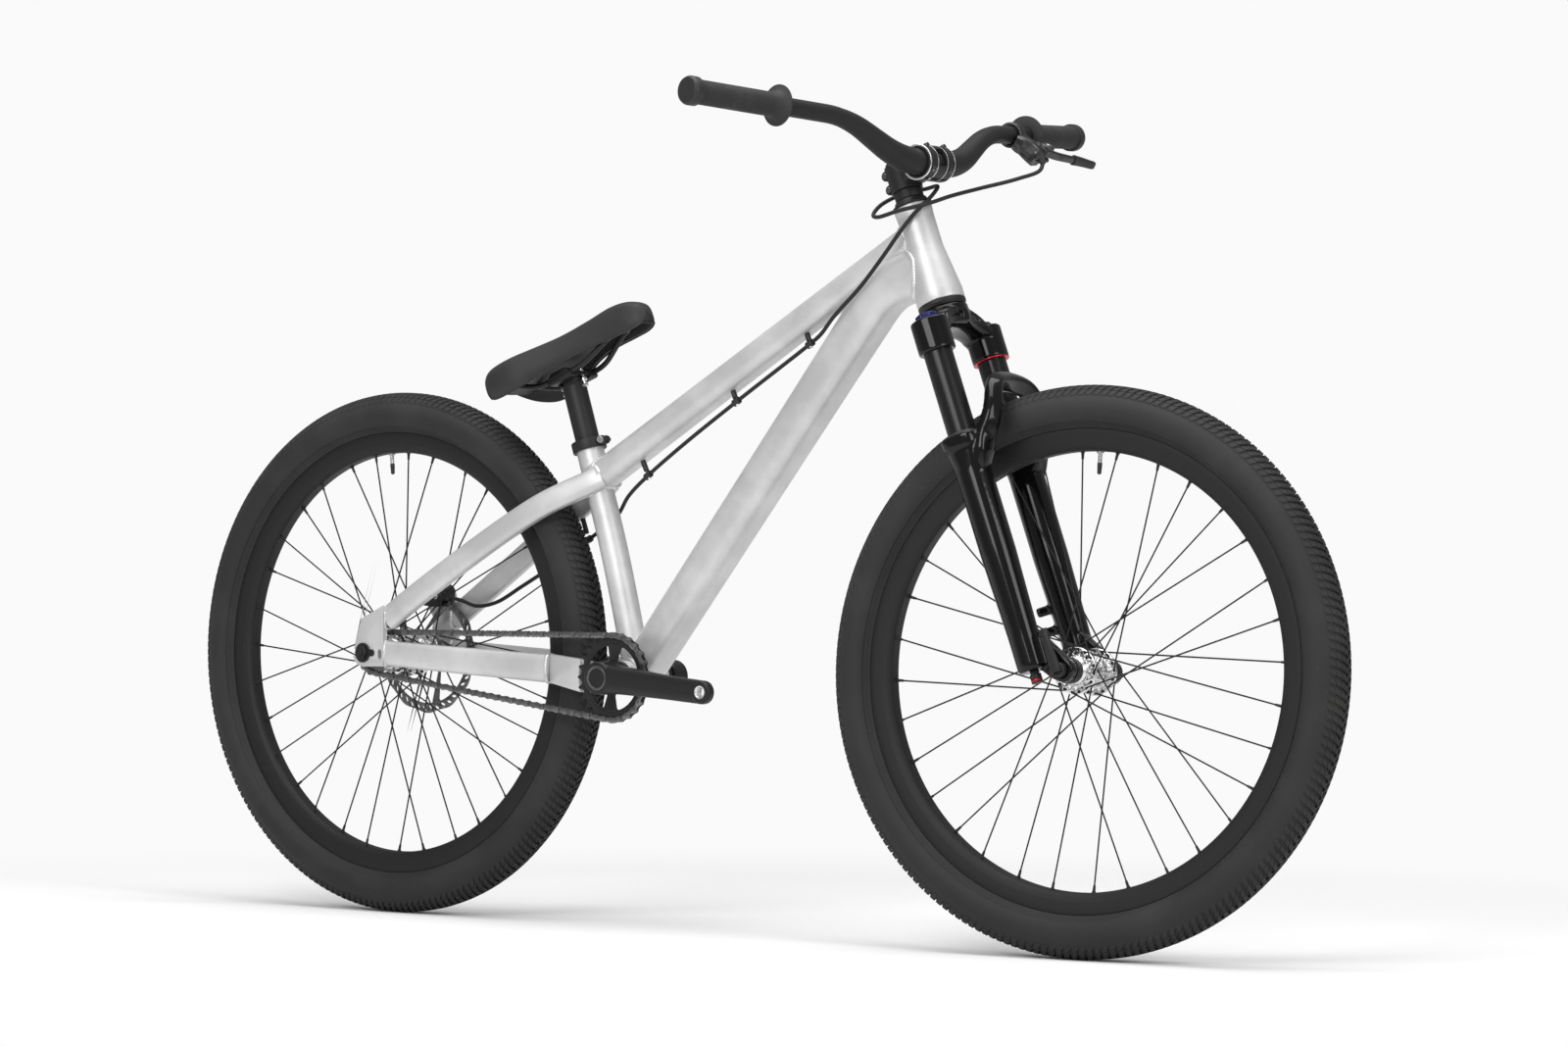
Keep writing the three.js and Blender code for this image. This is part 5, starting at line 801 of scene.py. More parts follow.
beads = Form()
for rings, test, wide in (
    (top_tube.rings, in_head, top_way),
    (top_tube.rings[::-1], in_seat_tube, top_way),
    (down_tube.rings, in_head, (head_centre - down_bend).normalized()),
    (down_tube.rings[::-1], in_shell, (down_bend - bottom_bracket).normalized()),
    (seat_outside, in_shell, Vector((0.4, 0, -1)).normalized()),
):
    line = joint_line(rings, test)
    bead(beads, line, wide)
    print("bead of", round(sum((b - a).length for a, b in zip(line, line[1:] + line[:1]))), "mm")
for side in (-1, 1):
    line = joint_line(stay_rings["seat", side], in_seat_cluster)
    bead(beads, line, Vector((0.8, -0.3 * side, 0.5)).normalized(), 3.4, 2.0)
    for kind in ("chain", "seat"):
        bead(beads, flat_at(stay_rings[kind, side][0], dropout_front + 0.9), ahead, 2.2, 1.5)
    bead(beads, flat_at(stay_rings["chain", side][-1], yoke_back - 0.1), ahead, 2.6, 1.6)
    shell_edge = arc((bottom_bracket.x, bottom_bracket.z), shell_radius + 0.3, 120, 240, 30)
    outer = [Vector((x, side * 40, z)) for x, z in shell_edge]
    bead(beads, outer + [p - across * side * 4.9 for p in reversed(outer)], up, 1.4, 1.4)
show(beads, "weld_beads", "frame", bead_metal, crease=80)

# %% [markdown]
# ## Tyres
# The tyre is a casing moulded in one piece with its tread: many short wavy bars in eight slanted columns,
# lower towards the shoulders. The casing is a turned profile with a fine line moulded above the bead. Each
# bar of the tread is laid on the casing by its own small loft, so the edge of the tyre shows real teeth
# against the floor.

# %% Tyre shapes
crown_half = [(0, 333.4), (6, 333.0), (12, 331.4), (17, 328.4), (21, 324.2), (24.6, 319.2), (27.2, 314),
              (28.4, 308.5)]
wall_half = [(28.3, 303), (27, 297.5), (24.2, 292.6), (23.2, 291.6), (22.2, 291.4), (20, 289.4),
             (16.6, 286.6), (15, 284.8), (12.2, 284.4), (11.6, 279.8)]
tread_columns = [(3.1, 2.7, 3.0, 0.34), (9.2, 2.7, 3.0, 0.40), (15.1, 2.6, 2.8, 0.46), (20.6, 2.3, 2.4, 0.52)]
bars_around, bar_half_long = 204, 3.3


def casing(y):
    """How far the casing lies from the axle at a distance y from the tyre's middle."""
    return float(np.interp(abs(y), *zip(*crown_half)))


def tyre_profile():
    outer = smooth_line([(r, y, 0) for y, r in crown_half + wall_half], 3)
    inner = [(296, 20), (308, 24.4), (318, 21.5), (326, 13), (329.4, 0)]
    side = [(p.x, p.y) for p in outer] + inner
    return side + [(r, -y) for r, y in side[-2:0:-1]]


def tread_bar(form, turn, y, half_wide, high, slant, place):
    """One bar of the tread, a short wave across the tyre that leans by its column's slant."""
    rows = []
    for v in (-1, -0.5, 0, 0.5, 1):
        at = y + v * half_wide
        lead = slant * v * half_wide * 2 + 0.7 * math.sin(math.pi * v)
        foot, top = casing(at) - 0.7, min(casing(at) + high * (1 - 0.12 * v * v), tyre_radius)
        corners = [(foot, -bar_half_long - 0.2), (top, -bar_half_long + 0.4), (top, bar_half_long - 0.4),
                   (foot, bar_half_long + 0.2)]
        rows.append([polar(r, turn + (lead + a) / r, at) for r, a in corners])
    form.skin(rows, place=place)


rear_wheel = Matrix.Translation(rear_axle)
front_wheel = fork @ Matrix.Translation(ahead * fork_offset)
for side, place in (("rear", rear_wheel), ("front", front_wheel)):
    tyre = Form().turn(tyre_profile(), place @ lathe, 240)
    for column, (y, half_wide, high, slant) in enumerate(tread_columns):
        for way in (-1, 1):
            for i in range(bars_around):
                turn = 2 * math.pi * (i + 0.25 * column + (0.5 if way > 0 else 0)) / bars_around
                tread_bar(tyre, turn, y * way, half_wide, high, slant * way, place)
    show(tyre, f"{side}_tyre_tread", f"{side}_wheel", tread_rubber, f"{side}_tyre", crease=30)

# %% [markdown]
# ## Rims, spokes and hubs
# Each rim is a rolled box section, matt black. It is laced with 32 spokes in three crosses: every spoke
# leaves its flange as a tangent and crosses three others. The head of the spoke sits on one face of the
# flange and its neck bends over the other. Nipples are often bright brass, but these are black. The hubs
# are turned and polished, and their flanges are drilled between the spokes.

# %% Rims and lacing
rim_half = [(258, 7), (259.6, 10), (263.4, 12.4), (269, 13.9), (277, 14.7), (284, 15), (284.4, 14.1),
            (284, 13.2), (279.4, 12.2), (277, 9)]
rim_profile = rim_half + [(275.6, 0)] + [(r, -y) for r, y in reversed(rim_half)]
spoke_count, spoke_radius, half_flange, nipple_seat = 32, 1.0, 1.6, 260.6
lace_turn = 3 * 2 * math.pi / (spoke_count / 2)
front_hub = {"right": -28, "left": 22, "holes": 25, "rim": 28, "barrel": 16.5, "nose": 14,
             "disc": 20, "disc_face": 40, "half": 49.7, "bore": 8}
rear_hub = {"right": -20, "left": 30, "holes": 27, "rim": 30, "barrel": 18, "nose": 13.5,
            "disc": 22, "disc_face": 50.8, "half": 67.2, "bore": 7}
spoke_steel = satin_black("spoke_black", "black_metal", 0.014, 0.46)
nipple_black = satin_black("nipple_black", "black_metal", 0.02, 0.3)


def spoke(spokes, nipples, hub, i, rim_turn):
    """One spoke with its bend, its head on the flange, and its nipple at the rim."""
    side, leading = (1 if i % 2 == 0 else -1), (1 if i % 4 < 2 else -1)
    flange_turn = rim_turn + leading * lace_turn
    flange = hub["left"] if side > 0 else hub["right"]
    neck = flange + (half_flange + 1.1 + (1.3 if side * leading > 0 else 0)) * leading
    start = polar(hub["holes"], flange_turn, neck)
    end = polar(nipple_seat, rim_turn, 3.75 * side)
    way, inwards = (end - start).normalized(), -across * leading
    bend = polar(hub["holes"], flange_turn, flange + half_flange * leading)
    spokes.sweep(bezier(bend, start, start + way * 2.4, 5) + [end], even_size(spoke_radius), across, count=8)
    spokes.rod(bend, bend + inwards * 2 * half_flange, spoke_radius, 8)
    head_at = bend + inwards * 2 * half_flange
    spokes.rod(head_at - inwards * 0.2, head_at + inwards * 0.9, 1.9, 12, 0.5)
    nipples.rod(end, end - way * 11.5, 2.05, 12, 0.4, 1.5)
    nipples.rod(end, end - way * 4.2, 2.5, 12, 0.5)


def laced(name, body, place, hub, phase, valve_turn):
    rim = Form(place).turn(eased(rim_profile, 0.7, 2), place @ lathe, 240)
    show(rim, f"{name}_rim_ring", body, rim_black, f"{name}_rim_and_spokes")
    spokes, nipples = Form(place), Form(place)
    for i in range(spoke_count):
        spoke(spokes, nipples, hub, i, phase - i * 2 * math.pi / spoke_count)
    show(spokes, f"{name}_spokes", body, spoke_steel)
    show(nipples, f"{name}_nipples", body, nipple_black)
    valve = Form(place).rod(polar(262, valve_turn), polar(243, valve_turn), 2.5, 20, 0.4)
    valve.rod(polar(258.6, valve_turn), polar(255.6, valve_turn), 4.4, 20, 0.6)
    show(valve, f"{name}_valve_stem", body, bright_metal)
    cap = Form(place).rod(polar(245.5, valve_turn), polar(231, valve_turn), 3.0, 20, 1.2, 2.5)
    show(cap, f"{name}_valve_cap", body, moulded)


rear_phase, rear_valve = math.radians(89), math.radians(94.7)
front_phase, front_valve = math.radians(93.65) - head_lean, math.radians(88) - head_lean
laced("rear", "rear_wheel", rear_wheel, rear_hub, rear_phase, rear_valve)
laced("front", "front_wheel", front_wheel, front_hub, front_phase, front_valve)


# %% Hubs with drilled flanges
def hub_profile(hub):
    right, left, barrel, nose = hub["right"], hub["left"], hub["barrel"], hub["nose"]
    bore, half, disc, disc_face = hub["bore"], hub["half"], hub["disc"], hub["disc_face"]
    rise = barrel + 1.5
    return [(bore, -half), (nose - 1, -half), (nose, -half + 1), (nose, right - 7), (barrel, right - 5),
            (rise, right - 1.4), (rise, right + 1.4), (barrel - 1, right + 6),
            (barrel - 2.6, (right + left) / 2), (barrel - 1, left - 6), (rise, left - 1.4),
            (rise, left + 1.4), (barrel, left + 4), (barrel - 1, disc_face - 5), (disc, disc_face - 3.4),
            (disc, disc_face), (nose, disc_face), (nose, half - 1), (nose - 1, half), (bore, half)]


def hub_shell(name, body, place, hub, phase):
    shell = Form().turn(eased(hub_profile(hub), 1.0, 3), place @ lathe)
    for y, first in ((hub["left"], 0), (hub["right"], 1)):
        holes = [round_hole(hub["barrel"] - 0.4, 60)]
        for k in range(spoke_count // 2):
            turn = phase - (2 * k + first) * 2 * math.pi / spoke_count
            holes.append(round_hole(1.3, 12, polar(hub["holes"], turn).xz))
            between = turn + 2 * math.pi / spoke_count
            holes.append(round_hole(1.75, 16, polar(hub["barrel"] + 4.3, between).xz))
        rim = round_hole(hub["rim"], 96)
        shell.plate(rim, -y - half_flange, -y + half_flange, 0.6, holes, place @ beside)
    show(shell, f"{name}_hub_shell", body, bright_metal, f"{name}_hub")


hub_shell("rear", "rear_wheel", rear_wheel, rear_hub, rear_phase)
hub_shell("front", "front_wheel", front_wheel, front_hub, front_phase)

cap_bore, cap_radius = front_hub["nose"] - 2, front_hub["nose"] + 1.3
cap_from, cap_to = 0.2 - front_hub["half"], front_hub["right"] - 9
cap_profile = [(cap_bore, cap_from), (cap_radius, cap_from), (cap_radius, cap_to), (cap_bore, cap_to)]
end_cap = Form().turn(eased(cap_profile, 0.5), front_wheel @ lathe)
show(end_cap, "front_hub_end_cap", "front_wheel", anodised_black)

# %% Rear axle
axle_face = 74.8
rod_profile = [(0.1, -82.8), (4.6, -82.8), (5, -82), (5, 82), (4.6, 82.8), (0.1, 82.8)]
rear_rod = Form(rear_wheel).turn(eased(rod_profile, 0.3), rear_wheel @ lathe)
for way in (-1, 1):
    rear_rod.rod((0, way * (axle_face + 1.4), 0), (0, way * 81, 0), 9.4, 6, 0.9)
    rear_rod.rod((0, way * axle_face, 0), (0, way * (axle_face + 1.6), 0), 12.6, 48, 0.5)
    rear_rod.rod((slot_ahead, way * 73, 0), (slot_ahead, way * (axle_face + 0.8), 0), 4.6, 32, 0.6)
show(rear_rod, "rear_axle_bolts", "frame", anodised_black, "rear_axle")

# %% [markdown]
# ## Rotor and caliper
# The rotor is laser cut from a steel sheet: a wavy outer edge, a braking track with rows of slanted vents,
# and five arms that swirl with the turn of the wheel. The caliper is a forged block over its edge. Its two
# halves leave a slot for the rotor, and a pad on either side closes on it.

# %% Rotor
rotor_radius, rotor_half, rotor_y, rotor_arms, wave_height = 80, 0.9, 52, 5, 1.2
rotor_bore, rotor_hub, track_inner, bolt_circle = 13.9, 24, 67, 18.6
vent_circles, vent_half_long, vent_half_wide, vent_slant, vent_count = (72.6, 74.2), 4.0, 1.5, 0.9, 42


def window(inner, outer, start, end, reach=3.0, swirl=0.0):
    """A cut-out between two circles and two turns in radians, with rounded corners."""
    outer_turn, inner_turn = reach / outer, reach / inner
    first, last = start + swirl, end + swirl
    spots = arc((0, 0), outer, math.degrees(start + outer_turn), math.degrees(end - outer_turn), 16)
    spots += corner((outer, end - outer_turn), (outer, end), (outer - reach, end))[1:]
    spots += corner((inner + reach, last), (inner, last), (inner, last - inner_turn))
    spots += arc((0, 0), inner, math.degrees(last - inner_turn), math.degrees(first + inner_turn), 10)[1:]
    spots += corner((inner, first + inner_turn), (inner, first), (inner + reach, first))[1:]
    spots += corner((outer - reach, start), (outer, start), (outer, start + outer_turn))[:-1]
    return spots


def corner(before, at, after):
    """A soft corner through three places that are each a radius and a turn."""
    return [(p.x, p.z) for p in bezier(polar(*before), polar(*at), polar(*after), 5)]


def wavy_edge(radius, swing, waves, count):
    """A circle whose radius swings about its value a number of times on the way round."""
    turns = np.linspace(0, 2 * math.pi, count, False)
    return [tuple(polar(radius + swing * math.cos(waves * t), t).xz) for t in turns]


def slanted_vent(i):
    turn = 2 * math.pi * i / vent_count
    middle, lie = polar(vent_circles[i % 2], turn), polar(vent_half_long, turn + vent_slant)
    wide = polar(vent_half_wide, turn + vent_slant + math.pi / 2)
    turns = [k * math.pi / 6 for k in range(12)]
    return [(middle + lie * math.cos(t) + wide * math.sin(t)).xz for t in turns]


sector, open_share = 2 * math.pi / rotor_arms, 0.86
cuts = [round_hole(rotor_bore, 60)]
for i in range(rotor_arms):
    cuts.append(window(rotor_hub, track_inner, i * sector, (i + open_share) * sector, 3.5, sector / 2))
cuts += [slanted_vent(i) for i in range(vent_count)]
rotor_edge = wavy_edge(rotor_radius - wave_height, wave_height, 12, 240)
rotor_low, rotor_high = -rotor_y - rotor_half, -rotor_y + rotor_half
rotor = Form().plate(rotor_edge, rotor_low, rotor_high, 0.25, cuts, rear_wheel @ beside)
for i in range(6):
    spot = polar(bolt_circle, i * math.pi / 3 + 0.2)
    low, high = (spot + across * (rotor_y + out) for out in (0.6, 3.2))
    rotor.rod(low, high, 3.4, 20, 0.7, place=rear_wheel)
rotor_steel = dark_steel("rotor_steel", 0.17)
show(rotor, "rotor_disc", "rear_wheel", rotor_steel, "brake_rotor")
print("rotor of", 2 * rotor_radius, "mm with", vent_count, "vents")

# %% Caliper and pads
caliper_out, caliper_turn, bolt_spread = 75, math.radians(85), 20
caliper_place = (Matrix.Translation(rear_axle + polar(caliper_out, caliper_turn, rotor_y))
                 @ Matrix.Rotation(math.pi / 2 - caliper_turn, 4, "Y"))
caliper_flat = caliper_place @ beside
bridge_foot = 7.6
block_corners = [(-26, -5), (-19.5, -15), (19.5, -15), (26, -5), (26, 9), (19.5, 15), (-19.5, 15), (-26, 9)]
block = eased(block_corners, 4, 4)
bridge = [(x, z) for x, z in block if z > bridge_foot] + [(-25.4, bridge_foot), (25.4, bridge_foot)]
bridge.sort(key=lambda p: math.atan2(p[1] - 10, p[0]))
caliper = Form(caliper_place)
for low, high in ((-15.2, -6.5), (6.5, 13)):
    caliper.plate(block, low, high, 1.2, place=caliper_flat)
caliper.plate(bridge, -7, 7, 0.4, place=caliper_flat)
for end in (-1, 1):
    lump = [(end * 13, -5), (end * 25, -4), (end * 25, 10), (end * 13, 10)]
    for low, high in ((-7, -1.9), (1.9, 7)):
        caliper.plate(lump, low, high, 0.4, place=caliper_flat)
    caliper.rod((end * bolt_spread, -13, -1), (end * bolt_spread, -15.4, -1), 4.6, 24, 0.6)
caliper.rod((0, 8, 0), (0, 15.6, 0), 10.6, 48, 1.0)
caliper.rod((0, -8, 0), (0, -14.2, 0), 10.2, 48, 1.0)
show(cast(caliper, "caliper_block", 0.55, 3), "caliper_block", "frame", anodised_black, "brake_caliper")
bolts = Form(caliper_place)
for end in (-1, 1):
    bolts.rod((end * bolt_spread, -15, -1), (end * bolt_spread, -18.4, -1), 3.3, 20, 0.7)
    bolts.rod((end * bolt_spread, 12, 5), (end * bolt_spread, 16.4, 5), 3.3, 20, 0.7)
show(bolts, "caliper_bolts", "frame", bolt_steel)
pad_outline = eased([(-12, -7), (12, -7), (12, 7), (-12, 7)], 2.4, 4)
for side, name in ((-1, "inner"), (1, "outer")):
    pad = Form()
    for near, far in ((1.7, 4.0), (4.0, 5.7)):
        on_plate(pad_outline, side, near, far, 0.25, form=pad, place=caliper_flat)
    show(pad, f"pad_{name}_block", f"pad_{name}", oiled_steel, f"brake_pad_{name}")

# %% [markdown]
# ## Chain and sprockets
# A roller chain has inner and outer links by turns, with waisted side plates, a roller on each pin and the
# pin's riveted ends outside. All 82 pins lie one pitch apart on two arcs and two straight runs, so every
# link is laid between its own two pins. The sprockets' tooth gaps are arcs round the rollers, which is how
# they are cut.

# %% Where the pins lie
pitch, ring_teeth, cog_teeth = 12.7, 26, 13
chain_rise, chain_side = math.atan2(-bracket_drop, bracket_ahead), -50


def pitch_radius(teeth):
    return pitch / 2 / math.sin(math.pi / teeth)


ring_radius, cog_radius = pitch_radius(ring_teeth), pitch_radius(cog_teeth)
wrap_gain = math.asin((ring_radius - cog_radius) / chainstay_length)
run = math.sqrt(chainstay_length ** 2 - (ring_radius - cog_radius) ** 2) / pitch
ring_wrap = (math.pi + 2 * wrap_gain) * ring_teeth / (2 * math.pi)
cog_wrap = (math.pi - 2 * wrap_gain) * cog_teeth / (2 * math.pi)
link_count = round(ring_wrap + cog_wrap + 2 * run)


def pin_at(step):
    """The place of a pin along and above the line of centres, counted from the top of the chainring."""
    top = math.pi / 2 + wrap_gain
    if step < ring_wrap:
        turn = top - step * 2 * math.pi / ring_teeth
        return chainstay_length + ring_radius * math.cos(turn), ring_radius * math.sin(turn)
    if step < ring_wrap + run:
        return on_run(-top, 1 - (step - ring_wrap) / run)
    if step < ring_wrap + run + cog_wrap:
        turn = -top - (step - ring_wrap - run) * 2 * math.pi / cog_teeth
        return cog_radius * math.cos(turn), cog_radius * math.sin(turn)
    return on_run(top, (step - ring_wrap - run - cog_wrap) / run)


def on_run(turn, away):
    radius = blend(cog_radius, ring_radius, away)
    return chainstay_length * away + radius * math.cos(turn), radius * math.sin(turn)


def on_chain(along, high):
    c, s = math.cos(chain_rise), math.sin(chain_rise)
    return rear_axle + Vector((along * c - high * s, chain_side, along * s + high * c))


pins = [on_chain(*pin_at(i)) for i in range(link_count)]
print(link_count, "links, first pin", tuple(round(v, 1) for v in pins[0]))

# %% Links
half_pitch = pitch / 2
plate_edge = arc((half_pitch, 0), 4, -112, 112, 10) + [(2.4, 3.0), (0, 2.75), (-2.4, 3.0)]
plate_edge += arc((-half_pitch, 0), 4, 68, 292, 10) + [(-2.4, -3.0), (0, -2.75), (2.4, -3.0)]
link_kinds = []
for inner, outer in ((3.15, 4.1), (2.0, 2.95)):
    link = Form()
    for low, high in ((inner, outer), (-outer, -inner)):
        link.plate(plate_edge, low, high, 0.25)
    link_kinds.append(link)
chain = Form()
for i, pin in enumerate(pins):
    after, before = pins[(i + 1) % link_count], pins[i - 1]
    link = link_kinds[i % 2]
    chain.add(link.points, link.faces, link.wraps, placing((pin + after) / 2, -across, after - pin))
    local = placing(pin, across, before - after)
    chain.turn([(3.25, -1.9), (3.25, 1.9)], local, 14, closed=False)
    chain.turn([(1.5, -4.5), (1.75, -4.2), (1.75, 4.2), (1.5, 4.5)], local, 10, closed=False)
chain_steel = dark_steel("chain_steel", 0.17)
show(chain, "chain_links", "frame", chain_steel, "chain")


# %% Sprockets
def sprocket(teeth, turn):
    """The outline of a toothed ring: an arc round each roller and blunt teeth between them."""
    radius, step, spots = pitch_radius(teeth), 2 * math.pi / teeth, []
    for i in range(teeth):
        at = turn + i * step
        spots += arc(polar(radius, at).xz, 3.5, math.degrees(at) + 250, math.degrees(at) + 110, 7)
        for share, rise in ((0.37, 2.1), (0.44, 3.2), (0.5, 3.4), (0.56, 3.2), (0.63, 2.1)):
            spots.append(tuple(polar(radius + rise, at + share * step).xz))
    return spots


ring_turn = math.pi / 2 + wrap_gain + chain_rise
crank_angle = math.radians(-4.5)
quarter, half_web_share = math.pi / 2, 0.17
ring_bore, window_inner, window_outer = 14.6, 21, 41
ring_cuts = [round_hole(ring_bore, 60)]
for i in range(4):
    start = crank_angle + quarter * (i + half_web_share)
    end = crank_angle + quarter * (i + 1 - half_web_share)
    ring_cuts.append(window(window_inner, window_outer, start, end, 4.0))
crank_place = Matrix.Translation(bottom_bracket)
plate_low, plate_high = -chain_side - 1, -chain_side + 1
chainring = Form().plate(sprocket(ring_teeth, ring_turn), plate_low, plate_high, 0.45, ring_cuts,
                         crank_place @ beside)
lip = [(43.2, -51.6), (47.4, -51.6), (47.4, -50.4), (43.2, -50.4)]
chainring.turn(eased(lip, 0.4), crank_place @ lathe)
show(chainring, "chainring_plate", "cranks", anodised_black, "chainring")

cog_start = ring_wrap + run
link_over = math.ceil(cog_start) - cog_start
cog_turn = chain_rise - wrap_gain - math.pi / 2 - link_over * 2 * math.pi / cog_teeth
cog_bore, collar_bore, collar_radius = 16, 13.8, 17
cog = Form().plate(sprocket(cog_teeth, cog_turn), plate_low, plate_high, 0.45, [round_hole(cog_bore, 60)],
                   rear_wheel @ beside)
low, high = chain_side - 3, chain_side + 3
carrier = [(collar_bore, low), (collar_radius, low), (collar_radius, high), (collar_bore, high)]
cog.turn(eased(carrier, 0.6), rear_wheel @ lathe)
show(cog, "cog_plate", "cog", oiled_steel, "rear_cog")

# %% [markdown]
# ## Cranks
# Each arm is forged: a thick round boss at the spindle, a flat tapering arm that bows out past the chain,
# and a round eye with a bright steel thread for the pedal. A loft gives the arm, and melting it together
# with its boss and eye gives the soft corners that a forging has. The photographed bike has no pedals.

# %% Crank arms
crank_length, boss_radius, eye_radius, eye_bore, eye_depth, thread_turns = 170, 21, 14.5, 7.9, 13, 18


def crank_arm(name, side, boss_from, boss_to, angle):
    way, out, eye_outer = polar(1, angle), across * side, boss_to + 8
    tip, forging = way * crank_length, f"{name}_crank_forging"
    stations = [(0, 19, boss_from, boss_to), (0.25, 17, boss_from + 4, boss_to + 2),
                (0.65, 15, eye_outer - 17, eye_outer - 2), (1, eye_radius, eye_outer - eye_depth, eye_outer)]
    shares, *sizes = zip(*stations)
    rings = []
    for share in np.linspace(0, 1, 26):
        half_wide, low, high = (float(np.interp(share, shares, row)) for row in sizes)
        middle = tip * share + out * ((low + high) / 2)
        rings.append(ring(middle, way, across, (high - low) / 2, half_wide, 3.6, 40))
    arm = Form(crank_place).skin(rings)
    arm.rod(out * boss_from, out * boss_to, boss_radius, 72, 2.5)
    arm.rod(tip + out * (eye_outer - eye_depth), tip + out * eye_outer, eye_radius, 60, 2.2)
    bore = Form(crank_place)
    bore.rod(tip + out * (eye_outer - 20), tip + out * (eye_outer + 6), eye_bore, 40, 0.01)
    show(cast(arm, forging, 0.8, 4, [bore]), forging, "cranks", crank_black, f"crank_arm_{name}")
    steps = range(thread_turns + 1)
    turns = [(6.6 + 0.5 * (k % 2), eye_outer - 12.6 + 12.4 * k / thread_turns) for k in steps]
    thread = [(8.1, eye_outer - 12.8), (8.1, eye_outer + 0.05), (7.1, eye_outer + 0.05)] + turns[::-1]
    threaded = Form().turn(thread, crank_place @ placing(tip, out, ahead), 60)
    show(threaded, f"{name}_pedal_thread", "cranks", bright_metal)


crank_black = satin_black("crank_black", "black_metal", 0.016, 0.3)
crank_arm("right", -1, 51.3, 82, crank_angle)
crank_arm("left", 1, 50, 76, crank_angle + math.pi)
spindle = Form(crank_place).rod(across * -80, across * 72, 14.2, 48, 1)
show(spindle, "crank_spindle", "cranks", oiled_steel)
dust_profile = [(0.1, 81.4), (15.4, 81.4), (15.4, 82.7), (12.8, 82.7), (12.2, 81.9), (0.1, 81.9)]
dust_cap = Form().turn(eased(dust_profile, 0.3), crank_place @ placing(origin, -across, ahead))
show(dust_cap, "crank_dust_cap", "cranks", oiled_steel)
bolt_profile = [(4, 72.3), (10.5, 72.3), (10.5, 77.5), (5.4, 77.5), (4.9, 74)]
bolt = Form().turn(eased(bolt_profile, 0.5), crank_place @ lathe)
show(bolt, "crank_bolt_head", "cranks", bolt_steel, "crank_bolt")

# %% [markdown]
# ## Brake hose
# One black hose runs from the lever on the left, loops once round the foot of the stem, and then follows
# the underside of the top tube and the left seatstay to the caliper. Small clips welded to the frame hold
# it, with a rivet in each. On the bike its upper end turns with the bar and its loop stays with the frame,
# so the length between them bends when the rider steers; here the front length rides on no moving body. The
# route is a smooth curve through places along it.

# %% Hose and clips
front_route = [(840.2, 221.6, 959.2), (845.5, 222.6, 954.6), (849, 214, 944), (843, 175, 931),
               (829, 115, 916), (834, 50, 903), (849, -24, 888), (824, -43, 880), (793, -43, 873),
               (774, -28, 877), (767, -6, 889), (769, 15, 899), (781, 33, 908), (803, 37, 911),
               (830, 25, 913), (841, 3, 903), (840, -11, 892), (830, -22, 877), (815, -30, 855),
               (795, -33, 829), (758, -31, 791), (713, -24, 756), (686, -12, 737), (677.4, -10, 731.3)]
rear_route = [(676.7, -10, 730.8), (666.7, -9.4, 724.7), (656.7, -8.8, 718.6), (553, -8, 655.5),
              (470, -8, 603), (413, -6, 565), (370, 8, 539), (342, 23, 517), (316, 32, 503),
              (280, 39, 484), (215, 46, 450), (160, 50, 423), (118, 49, 402), (88, 46, 397),
              (62, 44, 404), (33.8, 45, 408)]
hose_radius = 2.5
bend_between = [(813, 38, 948), (773, -7, 910)]
hose_black = satin_black("hose_black", "black_plastic", 0.02, 0.42)
for name, body, route in (("front", None, front_route), ("rear", "frame", rear_route)):
    line = smooth_line(route, 10)
    hose = Form().sweep(line, even_size(hose_radius), up, count=20)
    shown = show(hose, f"hose_{name}_run", body, hose_black, f"brake_hose_{name}", crease=60)
    if body is None:
        leaves, meets = [in_metres(spot) for spot in bend_between]
        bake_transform(shown)
    length = sum((b - a).length for a, b in zip(line, line[1:]))
    print(f"{name} hose {length:.0f} mm")

clips, rivets = Form(), Form()
clip_profile = [(2.6, -5), (4.6, -5), (4.6, 5), (2.6, 5)]


def clip(i, foot, share, radius, sunk=0.0):
    """A ring round the hose at a place of its route, a stalk to the tube, and a rivet on the far side."""
    before, spot, after = (Vector(p) for p in rear_route[i - 1:i + 2])
    out = (spot - foot).normalized()
    clips.turn(eased(clip_profile, 0.6), placing(spot, (after - before).normalized(), across), 32)
    clips.rod(spot.lerp(foot, share), foot - out * sunk, radius, 24, 0.5)
    rivets.rod(spot + out * 4.0, spot + out * 5.4, 2.2, 20, 0.6)


for i in (1, 3, 5):
    spot = Vector(rear_route[i])
    middle = top_line[0] + top_way * (spot - top_line[0]).dot(top_way)
    below = (Vector((spot.x, 0, spot.z)) - middle).normalized()
    clip(i, middle + below * 17 + across * spot.y * 0.6, 0.28, 3.4)
stay_skin = [p for r in stay_rings["seat", 1] for p in r]
for i in (9, 10):
    clip(i, min(stay_skin, key=lambda p: (p - Vector(rear_route[i])).length), 0.3, 3.2, 2)
show(clips, "hose_clips", "frame", moulded)
show(rivets, "clip_rivets", "frame", bright_metal)

hose_ends = (("rear", "frame", rear_route[::-1], 4.0), ("front", "fork", front_route, 3.7))
for name, body, route, radius in hose_ends:
    start, after = Vector(route[0]), Vector(route[1])
    way = (after - start).normalized()
    sleeve = Form().rod(start, start + way * 11, radius, 24, 0.8)
    sleeve.rod(start, start + way * 4, radius + 1.2, 6, 0.4)
    show(sleeve, f"hose_end_{name}", body, anodised_black)

# %% [markdown]
# ## Seat collar and seatpost
# The collar is a thin ring with two ears at the front and one bolt that pulls them together. The post
# slides in the seat tube and ends in a trough. A cradle with a round belly sits in the trough, and the
# rails lie in grooves between it and a cap, so one pair of bolts sets the tilt and holds the rails.

